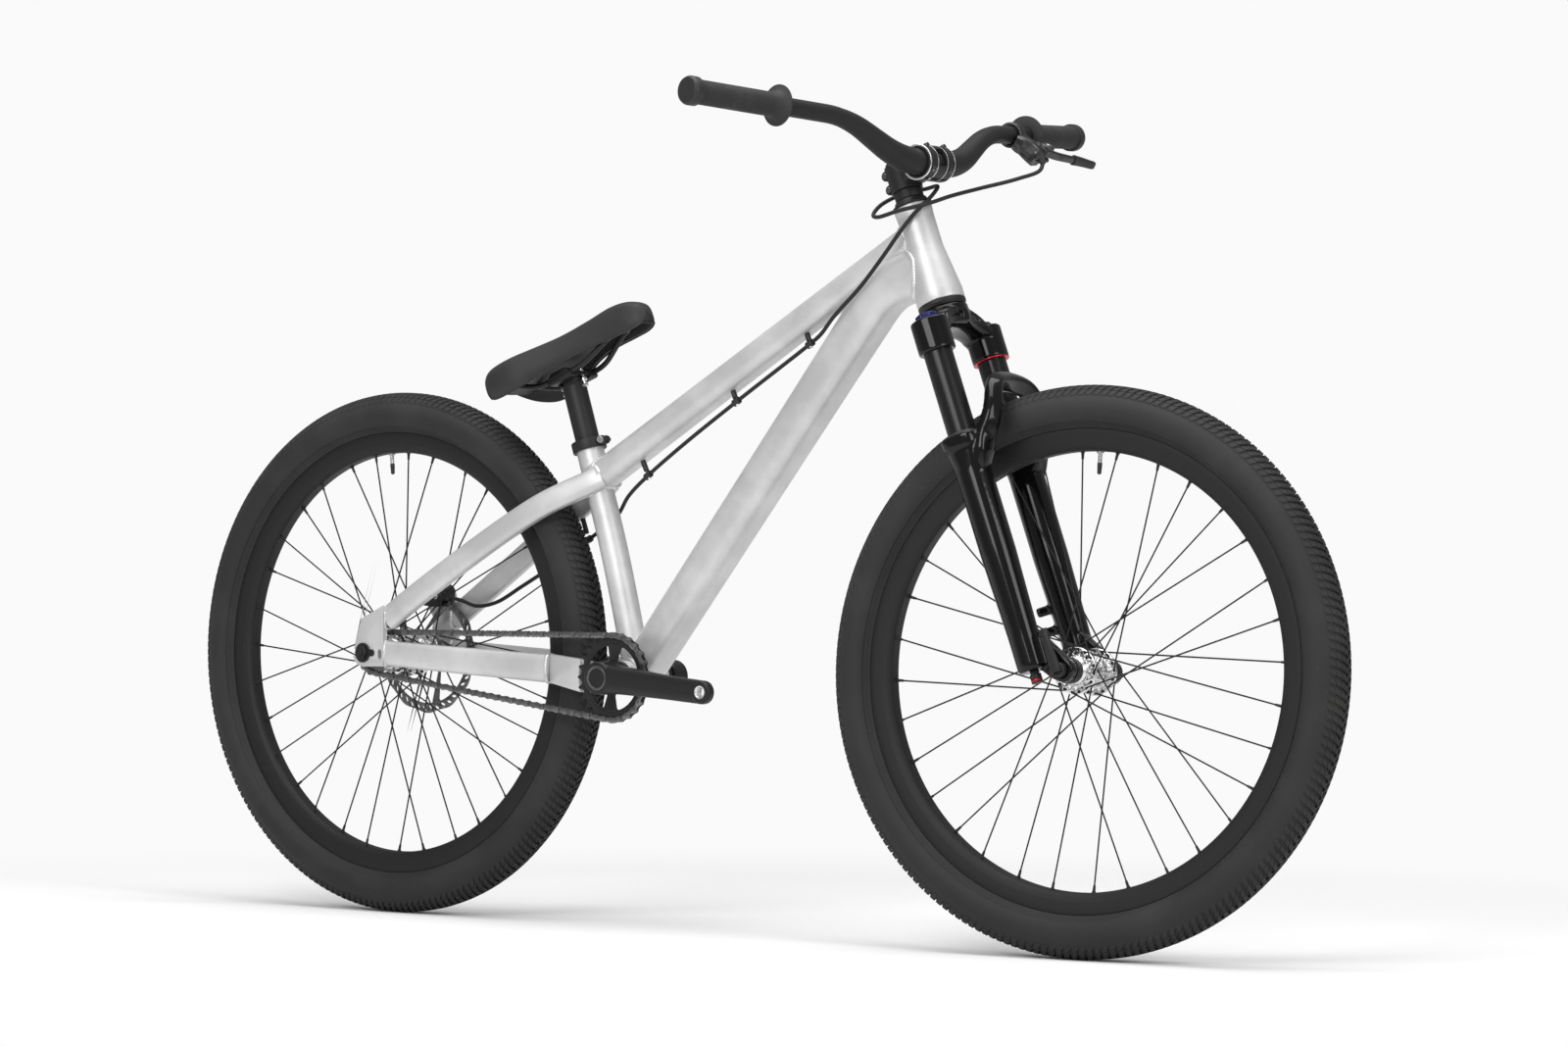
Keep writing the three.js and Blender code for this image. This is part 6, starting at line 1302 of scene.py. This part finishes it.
# %% Collar and post
seat_place = placing(seat_top, seat_up, ahead)
seat_flat = seat_place @ beside
collar_inner, collar_outer, collar_low, collar_high = 17.75, 21.75, -8.67, 4.33
collar_profile = [(collar_inner, collar_low), (collar_outer, collar_low), (collar_outer, collar_high),
                  (collar_inner, collar_high)]
collar = Form(seat_place).turn(eased(collar_profile, 0.9))
collar_middle = (collar_low + collar_high) / 2
ear_half = [(19.75, 5.4), (28, 5), (30.75, 2.5)]
ear = [(x, collar_middle - z) for x, z in ear_half] + [(x, collar_middle + z) for x, z in reversed(ear_half)]
for side in (-1, 1):
    on_plate(ear, side, 1.5, 6.5, 0.8, form=collar, place=seat_flat)
show(collar, "seat_collar_ring", "frame", anodised_black, "seat_collar")
pinch_spot, pinch_half = Vector((26.3, 0, collar_middle)), across * 10.5
pinch = Form(seat_place).rod(pinch_spot - pinch_half, pinch_spot + pinch_half, 2.6, 24, 0.4)
pinch_head = [(2.2, 6.5), (4.4, 6.5), (4.4, 10.5), (2.2, 10.5), (2.2, 8)]
pinch.turn(eased(pinch_head, 0.5), seat_place @ placing(pinch_spot, -across, ahead), 32)
show(pinch, "seat_collar_bolt", "frame", bolt_steel)

post_rise, post_radius, post_bore = 90, 15.35, 12.95
post = Form(seat_place).turn([(post_bore, -60), (post_radius, -60), (post_radius, 80), (post_bore, 62)])
show(post, "seatpost_tube", "post", anodised_black, "seatpost")

# %% Rail clamp
saddle_tilt = math.radians(21.5)
rail_place = Matrix.Translation(seat_top + seat_up * post_rise) @ Matrix.Rotation(-saddle_tilt, 4, "Y")
rail_flat = rail_place @ beside
rail_radius, cradle_radius = 3.5, 12.5
trough = arc((0, 0), 15.6, 205, 335, 24) + arc((0, 0), 12.8, 335, 205, 24)
show(on_plate(trough, -1, -15, 15, 0.9, place=rail_flat), "post_trough", "post", anodised_black)
belly = arc((0, 0), cradle_radius, 202, 338, 26) + [(20, -4.4), (20, -0.3), (-20, -0.3), (-20, -4.4)]
cradle = on_plate(belly, -1, -12.5, 12.5, 0.8, place=rail_flat)
groove = [(-20, -5.6), (-17.5, -7.2), (17.5, -7.2), (20, -5.6), (20, -0.3), (-20, -0.3)]
for side in (-1, 1):
    on_plate(groove, side, 12.4, 27, 0.9, form=cradle, place=rail_flat)
show(cradle, "rail_cradle", "saddle", anodised_black, "saddle_cradle")
cap_edge = eased([(-20, 0), (20, 0), (11.5, 7.6), (-11.5, 7.6)], 3, 4)
cap = on_plate(cap_edge, -1, -27, 27, 1.2, place=rail_flat)
show(cap, "rail_clamp_cap", "saddle", anodised_black, "saddle_clamp")
clamp_bolts = Form(rail_place)
for end in (-1, 1):
    clamp_bolts.rod((end * 17, 0, -17), (end * 17, 0, 5), 2.4, 24, 0.4)
    clamp_bolts.rod((end * 17, 0, -12), (end * 17, 0, -8), 4.2, 24, 0.7)
    clamp_bolts.rod((end * 17, 0, -20), (end * 17, 0, -16), 4.2, 6, 0.7)
show(clamp_bolts, "rail_clamp_bolts", "saddle", bright_metal)

# %% [markdown]
# ## Saddle
# The rails are one steel rod, bent so that it runs from the nose through the clamp to the tail and back.
# The base is a thin moulded shell that carries them. The cover is foam under a pebbled cloth: a broad round
# tail, a waist and a slim nose that dips. A loft through smooth stations gives it, thick at the edge and
# hollow beneath.

# %% Rails, base and cover
def on_rails(p):
    return rail_place @ Vector(p)


half_rail = [(-74, 24, 16.9), (-38, 22, 0), (38, 22, 0), (84, 12, 20), (104, 6, 22.9)]
rail_line = [on_rails((a, -y, z)) for a, y, z in half_rail]
rail_line += [on_rails(p) for p in reversed(half_rail)]
rails = Form().sweep(rounded(rail_line, 16, 8), even_size(rail_radius), up, count=24)
rail_paint = satin_black("rail_paint", "black_metal", 0.018, 0.28)
show(rails, "saddle_rail_rod", "saddle", rail_paint, "saddle_rails")

saddle_stations = [(-110.5, 22, 34, 24), (-108, 32, 38.5, 18), (-99, 50, 44, 8), (-80, 64, 47.5, 0),
                   (-50, 66, 48.5, -1), (-20, 56, 48, 4), (20, 38, 48.5, 12), (60, 27, 52, 15),
                   (100, 23, 55, 14), (124, 20.5, 51, 14), (138, 15, 43, 17), (143, 7.5, 34, 23)]
cover_depth, cover_wall, base_plate, base_gap, hollow_share = 24, 8, 3, 0.3, 0.8
cover_side = [(0.92, 0), (0.985, 0.14), (1, 0.38), (0.965, 0.62), (0.85, 0.83), (0.64, 0.945),
              (0.34, 0.992), (0, 1)]


def stations_between(first, last, count):
    """Smooth stations along the saddle between two of the listed ones: along, half width, top and edge."""
    fine = smooth_line([Vector(s[:3]) for s in saddle_stations], 12)
    edges = smooth_line([Vector((s[0], s[3], 0)) for s in saddle_stations], 12)
    start, end = saddle_stations[first][0], saddle_stations[last][0]
    alongs = np.linspace(start, end, count)
    if first == 0:
        alongs = start + (end - start) * (1 - np.cos(np.linspace(0, math.pi, count))) / 2

    def pick(line, k):
        return [float(np.interp(a, [p.x for p in line], [p[k] for p in line])) for a in alongs]

    return list(zip(alongs, pick(fine, 1), pick(fine, 2), pick(edges, 1)))


def hollow_under(half, top, edge):
    """How far the hollow under the cover reaches to a side, and how high its roof lies."""
    return half - min(cover_wall, half / 3), max(top - cover_depth, edge + base_plate)


def cover_ring(along, half, top, edge):
    inner, roof = hollow_under(half, top, edge)
    outer = smooth_line([(half * wide, edge + (top - edge) * high, 0) for wide, high in cover_side], 4)
    outer += [Vector((-p.x, p.y, 0)) for p in outer[-2::-1]]
    shoulder = inner * hollow_share
    hollow = smooth_line([(-inner, edge, 0), (-shoulder, roof, 0), (0, roof, 0), (shoulder, roof, 0),
                          (inner, edge, 0)], 4)
    return [on_rails((along, p.x, p.y)) for p in outer + hollow]


def base_ring(along, half, top, edge):
    inner, roof = hollow_under(half, top, edge)
    half_base = inner * hollow_share - base_gap
    upper = [(half_base * (k / 6 - 1), roof - base_gap) for k in range(13)]
    lower = [(y, z - base_plate) for y, z in reversed(upper)]
    return [on_rails((along, y, z)) for y, z in upper + lower]


cover = Form().skin([cover_ring(*s) for s in stations_between(0, 11, 72)])
shown = show(cover, "saddle_cushion", "saddle", cover_cloth, "saddle_cover", crease=60)
base = Form().skin([base_ring(*s) for s in stations_between(2, 9, 36)])
show(base, "saddle_shell", "saddle", moulded, "saddle_base")
nose = stations_between(5, 10, 30)
lip_line = [on_rails((along, half * 0.9, edge - 0.2)) for along, half, _, edge in nose]
lip_line += [on_rails((along, half * -0.9, edge - 0.2)) for along, half, _, edge in reversed(nose)]
lip = Form().sweep(lip_line, even_size(1.1, 1.0), up, count=10)
show(lip, "saddle_nose_lip", "saddle", moulded)

# %% [markdown]
# ## Fork crown and stanchions
# The crown is one forging: a clamp round each stanchion and an arched bridge between them that carries the
# steerer. Rings across the bridge give its waist and its arch, and melting them together with the clamps
# gives the soft corners. On the right clamp sits the blue dial of the damper, and on the left one a cap
# over the air valve.

# %% Crown
stanchion_black = satin_black("stanchion_black", "gloss_black", 0.012, 0.14)
leg_ahead, leg_y, stanchion_radius, clamp_radius = 9, 65, 17.5, 22.5
clamp_foot, clamp_top, crown_race, arch_top = 409, 450, 473, 443
leg_place = {side: fork @ Matrix.Translation((leg_ahead, leg_y * side, 0)) for side in (-1, 1)}


def crown_ring(share):
    """A section of the crown, at a share of the way from its middle to a leg."""
    out = abs(share)
    top = blend(clamp_top, crown_race, math.sqrt(max(0, 1 - (out / 0.74) ** 2)))
    foot = blend(clamp_foot, arch_top, math.sqrt(max(0, 1 - out ** 2)))
    half_deep = blend(clamp_radius, 29, 1 - out) * (1 - 0.2 * math.sin(math.pi * out))
    middle = Vector((blend(2, leg_ahead, out), leg_y * share, (top + foot) / 2))
    return ring(middle, across, ahead, half_deep, max(3, (top - foot) / 2), 3, 40)


def crown_pocket(side):
    """A long hollow in the front face, deepest in its middle."""
    rings = []
    for y in (8, 15, 22, 29, 36):
        off = abs(y - 22)
        middle, half_high = (33, y * side, 459 - off * 0.25), 6.2 - off ** 2 * 0.012
        rings.append(ring(middle, across, ahead, 9.5, half_high, 3, 24))
    return Form(fork).skin(rings)


crown = Form(fork).skin([crown_ring(share) for share in np.linspace(-1, 1, 41)])
for side in (-1, 1):
    crown.rod(up * clamp_foot, up * clamp_top, clamp_radius, 72, 1.6, place=leg_place[side])
crown.rod((0, 0, 463), (0, 0, crown_race - 0.4), 29.2, 90, 1.2)
pockets = [crown_pocket(side) for side in (-1, 1)]
show(cast(crown, "crown_forging", 0.9, 4, pockets), "crown_forging", "fork", fork_paint, "fork_crown")
stanchion_bore, stanchion_foot, stanchion_top = 15, 244, 444.7
stanchion_profile = [(stanchion_bore, stanchion_foot), (stanchion_radius, stanchion_foot),
                     (stanchion_radius, stanchion_top), (stanchion_bore, stanchion_top)]
for side, name in both_sides:
    tube = Form(leg_place[side]).turn(stanchion_profile)
    show(tube, f"stanchion_{name}_tube", "fork", stanchion_black, f"stanchion_{name}")

# %% Dial, air cap and ring
dial = Form(leg_place[-1]).plate(wavy_edge(13.95, -0.45, 20, 160), 450.3, 456.6, 0.7)
dial.turn(eased([(0.1, 456), (11.6, 456), (11.0, 458.2), (5, 458.3), (4.4, 457.4), (0.1, 457.4)], 0.4))
show(dial, "damper_dial", "compression_adjuster", dial_blue, "compression_dial")
cap_profile = [(0.1, 449), (13, 449), (13, 454), (11.4, 456), (6.2, 456), (5.6, 455), (0.1, 455)]
show(Form(leg_place[1]).turn(eased(cap_profile, 0.6)), "air_valve_cap", "fork", anodised_black)
ring_profile = [(17.6, 407.8), (22.3, 407.8), (22.3, 409.2), (17.6, 409.2)]
show(Form(leg_place[1]).turn(eased(ring_profile, 0.3)), "clamp_foot_ring", "fork", knob_red)

# %% [markdown]
# ## Fork lowers
# The two legs, the arch over the tyre and the axle lugs are one magnesium casting, painted gloss black. The
# legs taper, with a thicker lip round each seal. The arch is a soft box section that leaves the legs at the
# front, and its face has a long pocket to save weight. Two posts for a front brake stay bare, because none
# is fitted.

# %% Lowers
lowers = Form(fork)
leg_profile = [(13.5, 10), (17.6, 11.5), (18.5, 15), (18.5, 55), (21.3, 157), (21.3, 286), (22.6, 291),
               (22.6, 302), (21, 303.6), (17.7, 303.6)]
lug = [(17.6, 8), (6, 40), (8, 56), (26, 56)] + arc((fork_offset, 0), 15, 34, -100, 20) + [(28, -6)]
for side in (-1, 1):
    lowers.turn(eased(leg_profile, 6, 4, closed=False), leg_place[side], 72, closed=False)
    on_plate(eased(lug, 2, 2), side, 50.3, 65, 1.5, form=lowers, place=fork @ beside)

arch_half = [(9, 65, 245), (27, 67, 281), (54, 62, 317), (55, 45, 354), (52, 0, 361)]
arch_line = rounded([(a, -y, z) for a, y, z in arch_half] + arch_half[-2::-1], 24, 10)
arch_sizes = [(0, 9, 12), (0.07, 13, 15), (0.12, 13.5, 15.5), (0.18, 11, 12), (0.26, 11, 11), (0.5, 12, 10)]
arch_size = sized(arch_sizes)
lowers.sweep(arch_line, lambda share: arch_size(min(share, 1 - share)), (1, 0, 1), 4, 48)

lip_stations = [(262, 21.4, 2, 0), (284, 21.8, 2.6, 0.3), (291, 23.2, 3.4, 0.9), (300, 23.6, 3.6, 0.9),
                (303, 23, 3.6, 0.9)]
lip = [ring((-behind, 0, z), up, ahead, r, r, squareness, 48) for z, r, squareness, behind in lip_stations]
for side in (-1, 1):
    lowers.skin(lip, place=leg_place[side])
for high in (72, 98):
    lowers.rod((leg_ahead, leg_y, high), (leg_ahead - 33.3, leg_y - 12, high), 6, 32, 0.8)
axle_hole = Form(front_wheel).rod(across * -80, across * 80, 7.8, 48, 0.01)
arch_pocket = Form(fork)
pocket_line = [p + Vector((-10.4, 0, 7.2)) for p in arch_line if p.z > 296]
arch_pocket.sweep(pocket_line, lambda s: [7.4 * min(1, 0.3 + 6 * min(s, 1 - s)), 4.6], (1, 0, 1), 3, 24)
show(cast(lowers, "lowers_casting", 1.4, 5, [axle_hole, arch_pocket]), "lowers_casting", "lowers", fork_paint,
     "fork_lowers")

# %% Seals and rebound knob
seal_profile = [(17.55, 302.4), (21, 302.4), (20.4, 304.6), (18.2, 306.6), (17.55, 306.6)]
for side, name in both_sides:
    show(Form(leg_place[side]).turn(eased(seal_profile, 0.5)), f"dust_seal_{name}", "lowers", moulded)

knob = Form(leg_place[-1]).plate(wavy_edge(6.7, -0.3, 12, 96), -4.3, 6.4, 0.6)
knob.turn(eased([(0.1, 6), (5.4, 6), (5.4, 9.7), (0.1, 9.7)], 0.3))
show(knob, "rebound_knob_grip", "rebound_adjuster", anodised_black, "rebound_knob")
knob_foot = Form(leg_place[-1]).turn(eased([(0.1, -2.6), (7, -2.6), (7, -0.2), (0.1, -0.2)], 0.3))
show(knob_foot, "rebound_knob_ring", "rebound_adjuster", knob_red)
screw = Form(leg_place[-1]).turn(eased([(0.1, -4.2), (3.4, -4.2), (3.4, -2.4), (0.1, -2.4)], 0.3))
show(screw, "rebound_knob_screw", "rebound_adjuster", bright_metal)

# %% Front axle and its cam lever
axle_profile = [(0.1, -74.3), (7.4, -74.6), (9, -73), (9, -65.6), (7.5, -65.6), (7.5, 65.3), (0.1, 65.3)]
front_rod = Form().turn(eased(axle_profile, 0.4), front_wheel @ lathe)
show(front_rod, "front_axle_rod", "lowers", anodised_black, "front_axle")
cam_out = -77.6
cam_line = [(0, cam_out, -3), (0, cam_out, 10), (0, -78.4, 26), (0, cam_out, 42), (0, -75.8, 50)]
cam = Form(front_wheel).sweep(smooth_line(cam_line, 6), sized([(0, 7.4, 2.8), (1, 4.4, 2.8)]), ahead, 3, 28)
cam.rod((-7.2, cam_out, 0), (7.2, cam_out, 0), 2.85, 24, 0.5)
show(cam, "cam_lever_blade", "cam_lever", anodised_black, "axle_lever")

# %% [markdown]
# ## Stem
# The stem is forged as one with half of the bar clamp, and a faceplate with a window closes the other half.
# Two bolts at the back pinch the steerer and four at the front pinch the bar. The bar stays square to the
# frame while the wheel is turned, because this rider clamped it so.

# %% Stem and faceplate
stem_reach, bar_height, bar_outer, bar_inner = 41, 645.9, 21.5, 16.2
pinch_heights, stem_half, face_gap = (634.5, 652.5), 25, 9
bar_place = cockpit @ Matrix.Translation((stem_reach, 0, bar_height))
bar_flat = bar_place @ beside


def round_bar(start, end, steps):
    """The section of a shell round the bar between two angles."""
    return arc((0, 0), bar_outer, start, end, steps) + arc((0, 0), bar_inner, end, start, steps)


stem = Form(cockpit).turn([(14.6, 626.9), (19.5, 626.9), (19.5, 660.9), (14.6, 660.9)])
neck = []
for share in np.linspace(0, 1, 9):
    middle = (blend(8, stem_reach - 12, share), 0, blend(643.9, bar_height, share))
    neck.append(ring(middle, ahead, across, blend(17, 23, share), blend(14, 14.5, share), 3.4, 36))
stem.skin(neck)
on_plate(round_bar(91, 269, 40), -1, -stem_half, stem_half, 1.0, form=stem, place=bar_flat)
for high in pinch_heights:
    stem.rod((-17, -12, high), (-17, 12, high), 6.2, 32, 1.0)
show(cast(stem, "stem_forging", 0.6, 3), "stem_forging", "fork", anodised_black, "stem")

face = Form()
for low, high in ((-stem_half, -face_gap), (face_gap, stem_half)):
    on_plate(round_bar(-83, 83, 40), -1, low, high, 0.8, form=face, place=bar_flat)
for start in (33, -83):
    on_plate(round_bar(start, start + 50, 14), -1, -9.6, 9.6, 0.3, form=face, place=bar_flat)
show(cast(face, "faceplate_shell", 0.55, 3), "faceplate_shell", "fork", anodised_black, "stem_faceplate")

# %% Stem bolts, edge rings and top cap
stem_bolts = Form(cockpit)
head_profile = eased([(0.1, 12.5), (3.4, 12.5), (3.4, 17.6), (1.9, 17.6), (1.6, 16)], 0.4)
for y in (-17, 17):
    for z in (-15.6, 15.6):
        stem_bolts.turn(head_profile, bar_place @ placing((0, y, z), ahead, across), 28)
for high in pinch_heights:
    stem_bolts.rod((-17, -14.2, high), (-17, -11, high), 3.4, 24, 0.5)
show(stem_bolts, "stem_bolts", "fork", oiled_steel)

edge_rings = Form()
for y in (24.3, 9.9):
    edge = [(bar_outer - 2.2, y - 0.7), (bar_outer + 0.15, y - 0.7), (bar_outer + 0.15, y + 0.3),
            (bar_outer - 0.5, y + 0.75), (bar_outer - 2.2, y + 0.75)]
    for side in (-1, 1):
        edge_rings.turn(eased([(radius, side * out) for radius, out in edge], 0.1), bar_place @ lathe)
show(edge_rings, "stem_edge_rings", "fork", bright_metal)

top_cap_profile = [(3, 655), (11, 655), (11, 661.2), (18, 661.2), (16.9, 664.6), (6, 665.2), (5.4, 662.6),
                   (3, 662.6)]
show(Form(cockpit).turn(eased(top_cap_profile, 0.6)), "top_cap", "fork", anodised_black, "stem_cap")
cap_bolt_profile = [(0.1, 660.4), (4.6, 660.4), (4.6, 664.2), (2.6, 664.4), (2.3, 662), (0.1, 662)]
show(Form(cockpit).turn(eased(cap_bolt_profile, 0.3)), "top_cap_bolt", "fork", bolt_steel)

# %% [markdown]
# ## Bar and grips
# The bar is one tube, thick at the stem and slimmer outside its first bend, swept back and up towards the
# tips. The grips are plain rubber sleeves with a broad flange at the inner end and a hard cap in the outer
# one.

# %% Bar and grips
bar_half = [(stem_reach, 57.2, bar_height), (stem_reach, 143, 694.9), (8, 390, 722.9)]
bar_line = rounded([(a, -y, z) for a, y, z in reversed(bar_half)] + bar_half, 34, 14)
half_length = 408


def bar_size(share):
    from_middle = abs(share * 2 - 1) * half_length
    radius = float(np.interp(from_middle, [50, 165], [15.9, 11.1]))
    return [radius, radius]


bar = Form(cockpit).sweep(bar_line, bar_size, ahead, count=48)
bar_black = satin_black("bar_black", "black_metal", 0.015, 0.46)
show(bar, "handlebar_tube", "fork", bar_black, "handlebar")

grip_length, grip_radius, grip_bore, flange_radius, rib_count, rib_step = 142, 14.6, 11.4, 24.6, 43, 2.6
grip_profile = [(grip_bore, 0), (23.4, 0), (flange_radius, 0.8), (flange_radius, 2.2), (23.6, 2.9),
                (19.0, 4.2), (16.6, 7.4), (15.4, 13)]
for k in range(rib_count):
    at = 19 + k * rib_step
    grip_profile += [(grip_radius - 0.1, at), (grip_radius - 0.1, at + 1.3), (grip_radius - 0.45, at + 1.55),
                     (grip_radius - 0.45, at + 2.3)]
grip_profile += [(grip_radius, 131), (grip_bore, 131)]
end_profile = [(grip_bore, 131.2), (17.2, 131.2), (17.2, 141), (15.4, 144.6), (11, 145), (0.1, 145),
               (0.1, 142.6), (grip_bore, 142.6)]
grip_place = {}
for side, name in both_sides:
    bend, tip = (Vector((a, y * side, z)) for a, y, z in bar_half[1:])
    way = (tip - bend).normalized()
    grip_place[side] = cockpit @ placing(tip - way * grip_length, way, ahead)
    grip = Form().turn(grip_profile, grip_place[side], 96)
    show(grip, f"grip_{name}_sleeve", "fork", tacky_rubber, f"grip_{name}")
    end = Form().turn(eased(end_profile, 0.9), grip_place[side], 96)
    show(end, f"grip_{name}_end", "fork", moulded)

# %% [markdown]
# ## Brake lever
# The lever clamps to the bar inside the left grip. Its body is a forged block that holds the hydraulic
# piston, and the blade swings on a pin across two lugs. The blade is a flattened bar with a hook at the tip
# so that one finger stays on it.

# %% Lever
lever_metal = dark_steel("lever_metal", 0.07, "black_metal")
lever_tilt, lever_reach, pivot_inset = math.radians(51), 45, 16
lever_way = Vector((math.cos(lever_tilt), 0, -math.sin(lever_tilt)))
lever_axis = Vector((math.sin(lever_tilt), 0, math.cos(lever_tilt)))
left_grip = cockpit.inverted() @ grip_place[1]


def on_lever(reach, out, high):
    return left_grip @ Vector((0, 0, out)) + lever_way * reach + lever_axis * high


pivot = on_lever(lever_reach, -pivot_inset, 0)
body = Form(cockpit)
body.turn(eased([(grip_bore, -44), (16, -44), (16, -30), (grip_bore, -30)], 1.2), grip_place[1], 72)
block_spots = [(12, -37, 0), (22.5, -33, -4), (36, -30, -7), (45, -28.6, -8)]
tank_spots = [(14, -46, 2), (26, -42, 1), (38, -34, -2), (46, -24, -4)]
block_line = smooth_line([on_lever(*spot) for spot in block_spots], 6)
body.sweep(block_line, sized([(0, 11, 10), (1, 12.5, 12)]), across, 4, 36)
body.rod(on_lever(34, -29, 0), pivot, 9.6, 8, 1.5)
tank_line = smooth_line([on_lever(*spot) for spot in tank_spots], 6)
body.sweep(tank_line, lambda s: [blend(6, 9.5, math.sin(math.pi * min(s, 0.9))), 8.5], lever_axis, 4, 36)
for low, high in ((-10.4, -5.9), (5.9, 10.4)):
    body.rod(pivot + lever_axis * low, pivot + lever_axis * high, 8.6, 40, 1.0)
show(cast(body, "lever_forging", 0.6, 4), "lever_forging", "fork", lever_metal, "brake_lever_body")
pin = Form(cockpit).rod(pivot - lever_axis * 11.2, pivot + lever_axis * 11.2, 3.2, 28, 0.5)
pin.rod(on_lever(-14.5, -41.5, 0), on_lever(-14.5, -32.5, 0), 3.2, 24, 0.5)
show(pin, "lever_pins", "fork", bolt_steel)

# %% Lever blade
blade_spots = [(0, 0), (4, 8), (9, 16), (14, 32), (18.5, 50), (24, 68), (30, 82), (31, 88)]
blade_line = smooth_line([on_lever(lever_reach + r, a - pivot_inset, 0) for r, a in blade_spots], 6)
blade = Form(cockpit).sweep(blade_line, sized([(0, 4, 5.4), (1, 3, 4.1)]), lever_way, 3, 32)
blade.rod(pivot - lever_axis * 5.2, pivot + lever_axis * 5.2, 7, 40, 0.8)
show(blade, "lever_blade_bar", "lever_blade", lever_metal, "brake_lever_blade")
sleeve = Form(cockpit).sweep(blade_line[-19:-1], sized([(0, 4.6, 6.4), (1, 3.9, 5.0)]), lever_way, 3, 32)
show(sleeve, "lever_blade_sleeve", "lever_blade", moulded)

# %% [markdown]
# ## The studio
# The bike was photographed on a white sweep under large soft lamps, so it shows broad soft highlights and
# only a faint shadow below the wheels. A lens of long focus stands at the right front. The floor is a plain
# pale disc near the bike and fades into the white of the room further out.

# %% Camera
stands_at = Vector((3.90856, -4.96462, 0.47760))
yaw, pitch, roll = math.radians(127.5686), math.radians(0.2678), math.radians(0.6332)
looks = Vector((math.cos(yaw) * math.cos(pitch), math.sin(yaw) * math.cos(pitch), math.sin(pitch)))
level = looks.cross(up).normalized()
over = level.cross(looks)
level, over = (level * math.cos(roll) + over * math.sin(roll), over * math.cos(roll) - level * math.sin(roll))
lens = bpy.data.cameras.new("lens")
lens.sensor_fit, lens.sensor_width, lens.lens = "HORIZONTAL", 36, 117.68
camera = bpy.data.objects.new("camera", lens)
camera.matrix_world = Matrix.Translation(stands_at) @ Matrix((level, over, -looks)).transposed().to_4x4()
bpy.context.scene.collection.objects.link(camera)
bpy.context.scene.camera = camera

# %% Floor, room and lamps
floor_finish = Finish("floor_paper", "floor")
far = floor_finish.node("VectorMath", {"operation": "LENGTH"}, {0: floor_finish.place()}, out=1)
seen = floor_finish.node("LightPath", out=0)
paper = floor_finish.node("BsdfDiffuse", None, {"Color": grey(0.86), "Roughness": 0.6})
white = floor_finish.node("Emission", None, {"Color": grey(0.955), "Strength": 1.0})
fade = far.between(0.95, 1.9) * seen
floor_finish.end_in(floor_finish.node("MixShader", None, {0: fade, 1: paper, 2: white}))
floor_mesh = bpy.data.meshes.new("floor")
floor_radius, floor_corners, below_wheels = 40, 64, 0.0004
floor_mesh.from_pydata([(x, y, -below_wheels) for x, y in round_hole(floor_radius, floor_corners)], [],
                       [list(range(floor_corners))])
floor_mesh.materials.append(floor_finish.material)
floor = bpy.data.objects.new("floor", floor_mesh)
bpy.context.scene.collection.objects.link(floor)

room = bpy.data.worlds.new("room")
bpy.context.scene.world = room
room.use_nodes = True
air = Finish("room", "room", room.node_tree)
ray = air.node("LightPath", out=0)
through = air.node("LightPath", out=6)
bright = air.node("Background", None, {"Color": grey(0.955), "Strength": 1.0})
soft = air.node("Background", None, {"Color": grey(0.30), "Strength": 1.0})
plain = air.node("MixShader", None, {0: air.node("Math", {"operation": "MAXIMUM"}, {0: ray, 1: through}),
                                     1: soft, 2: bright})
air.end_in(plain, "OutputWorld")


def lamp(name, spot, aim, wide, high, power):
    light = bpy.data.lights.new(name, "AREA")
    light.shape, light.size, light.size_y, light.energy = "RECTANGLE", wide, high, power
    holder = bpy.data.objects.new(name, light)
    turned = (Vector(aim) - Vector(spot)).to_track_quat("-Z", "Y").to_matrix().to_4x4()
    holder.matrix_world = Matrix.Translation(spot) @ turned
    bpy.context.scene.collection.objects.link(holder)


lamp("lamp_above", (0.2, -0.3, 3.4), (0, 0, 0.4), 3.6, 2.8, 100)
lamp("lamp_right", (0.6, -3.6, 2.3), (0, 0, 0.5), 2.6, 1.6, 66)
lamp("lamp_front", (3.6, -0.6, 1.7), (0.2, 0, 0.5), 1.4, 1.6, 30)
bpy.context.scene.view_settings.view_transform = "Standard"
print("camera", tuple(round(v, 2) for v in stands_at), "and three lamps")
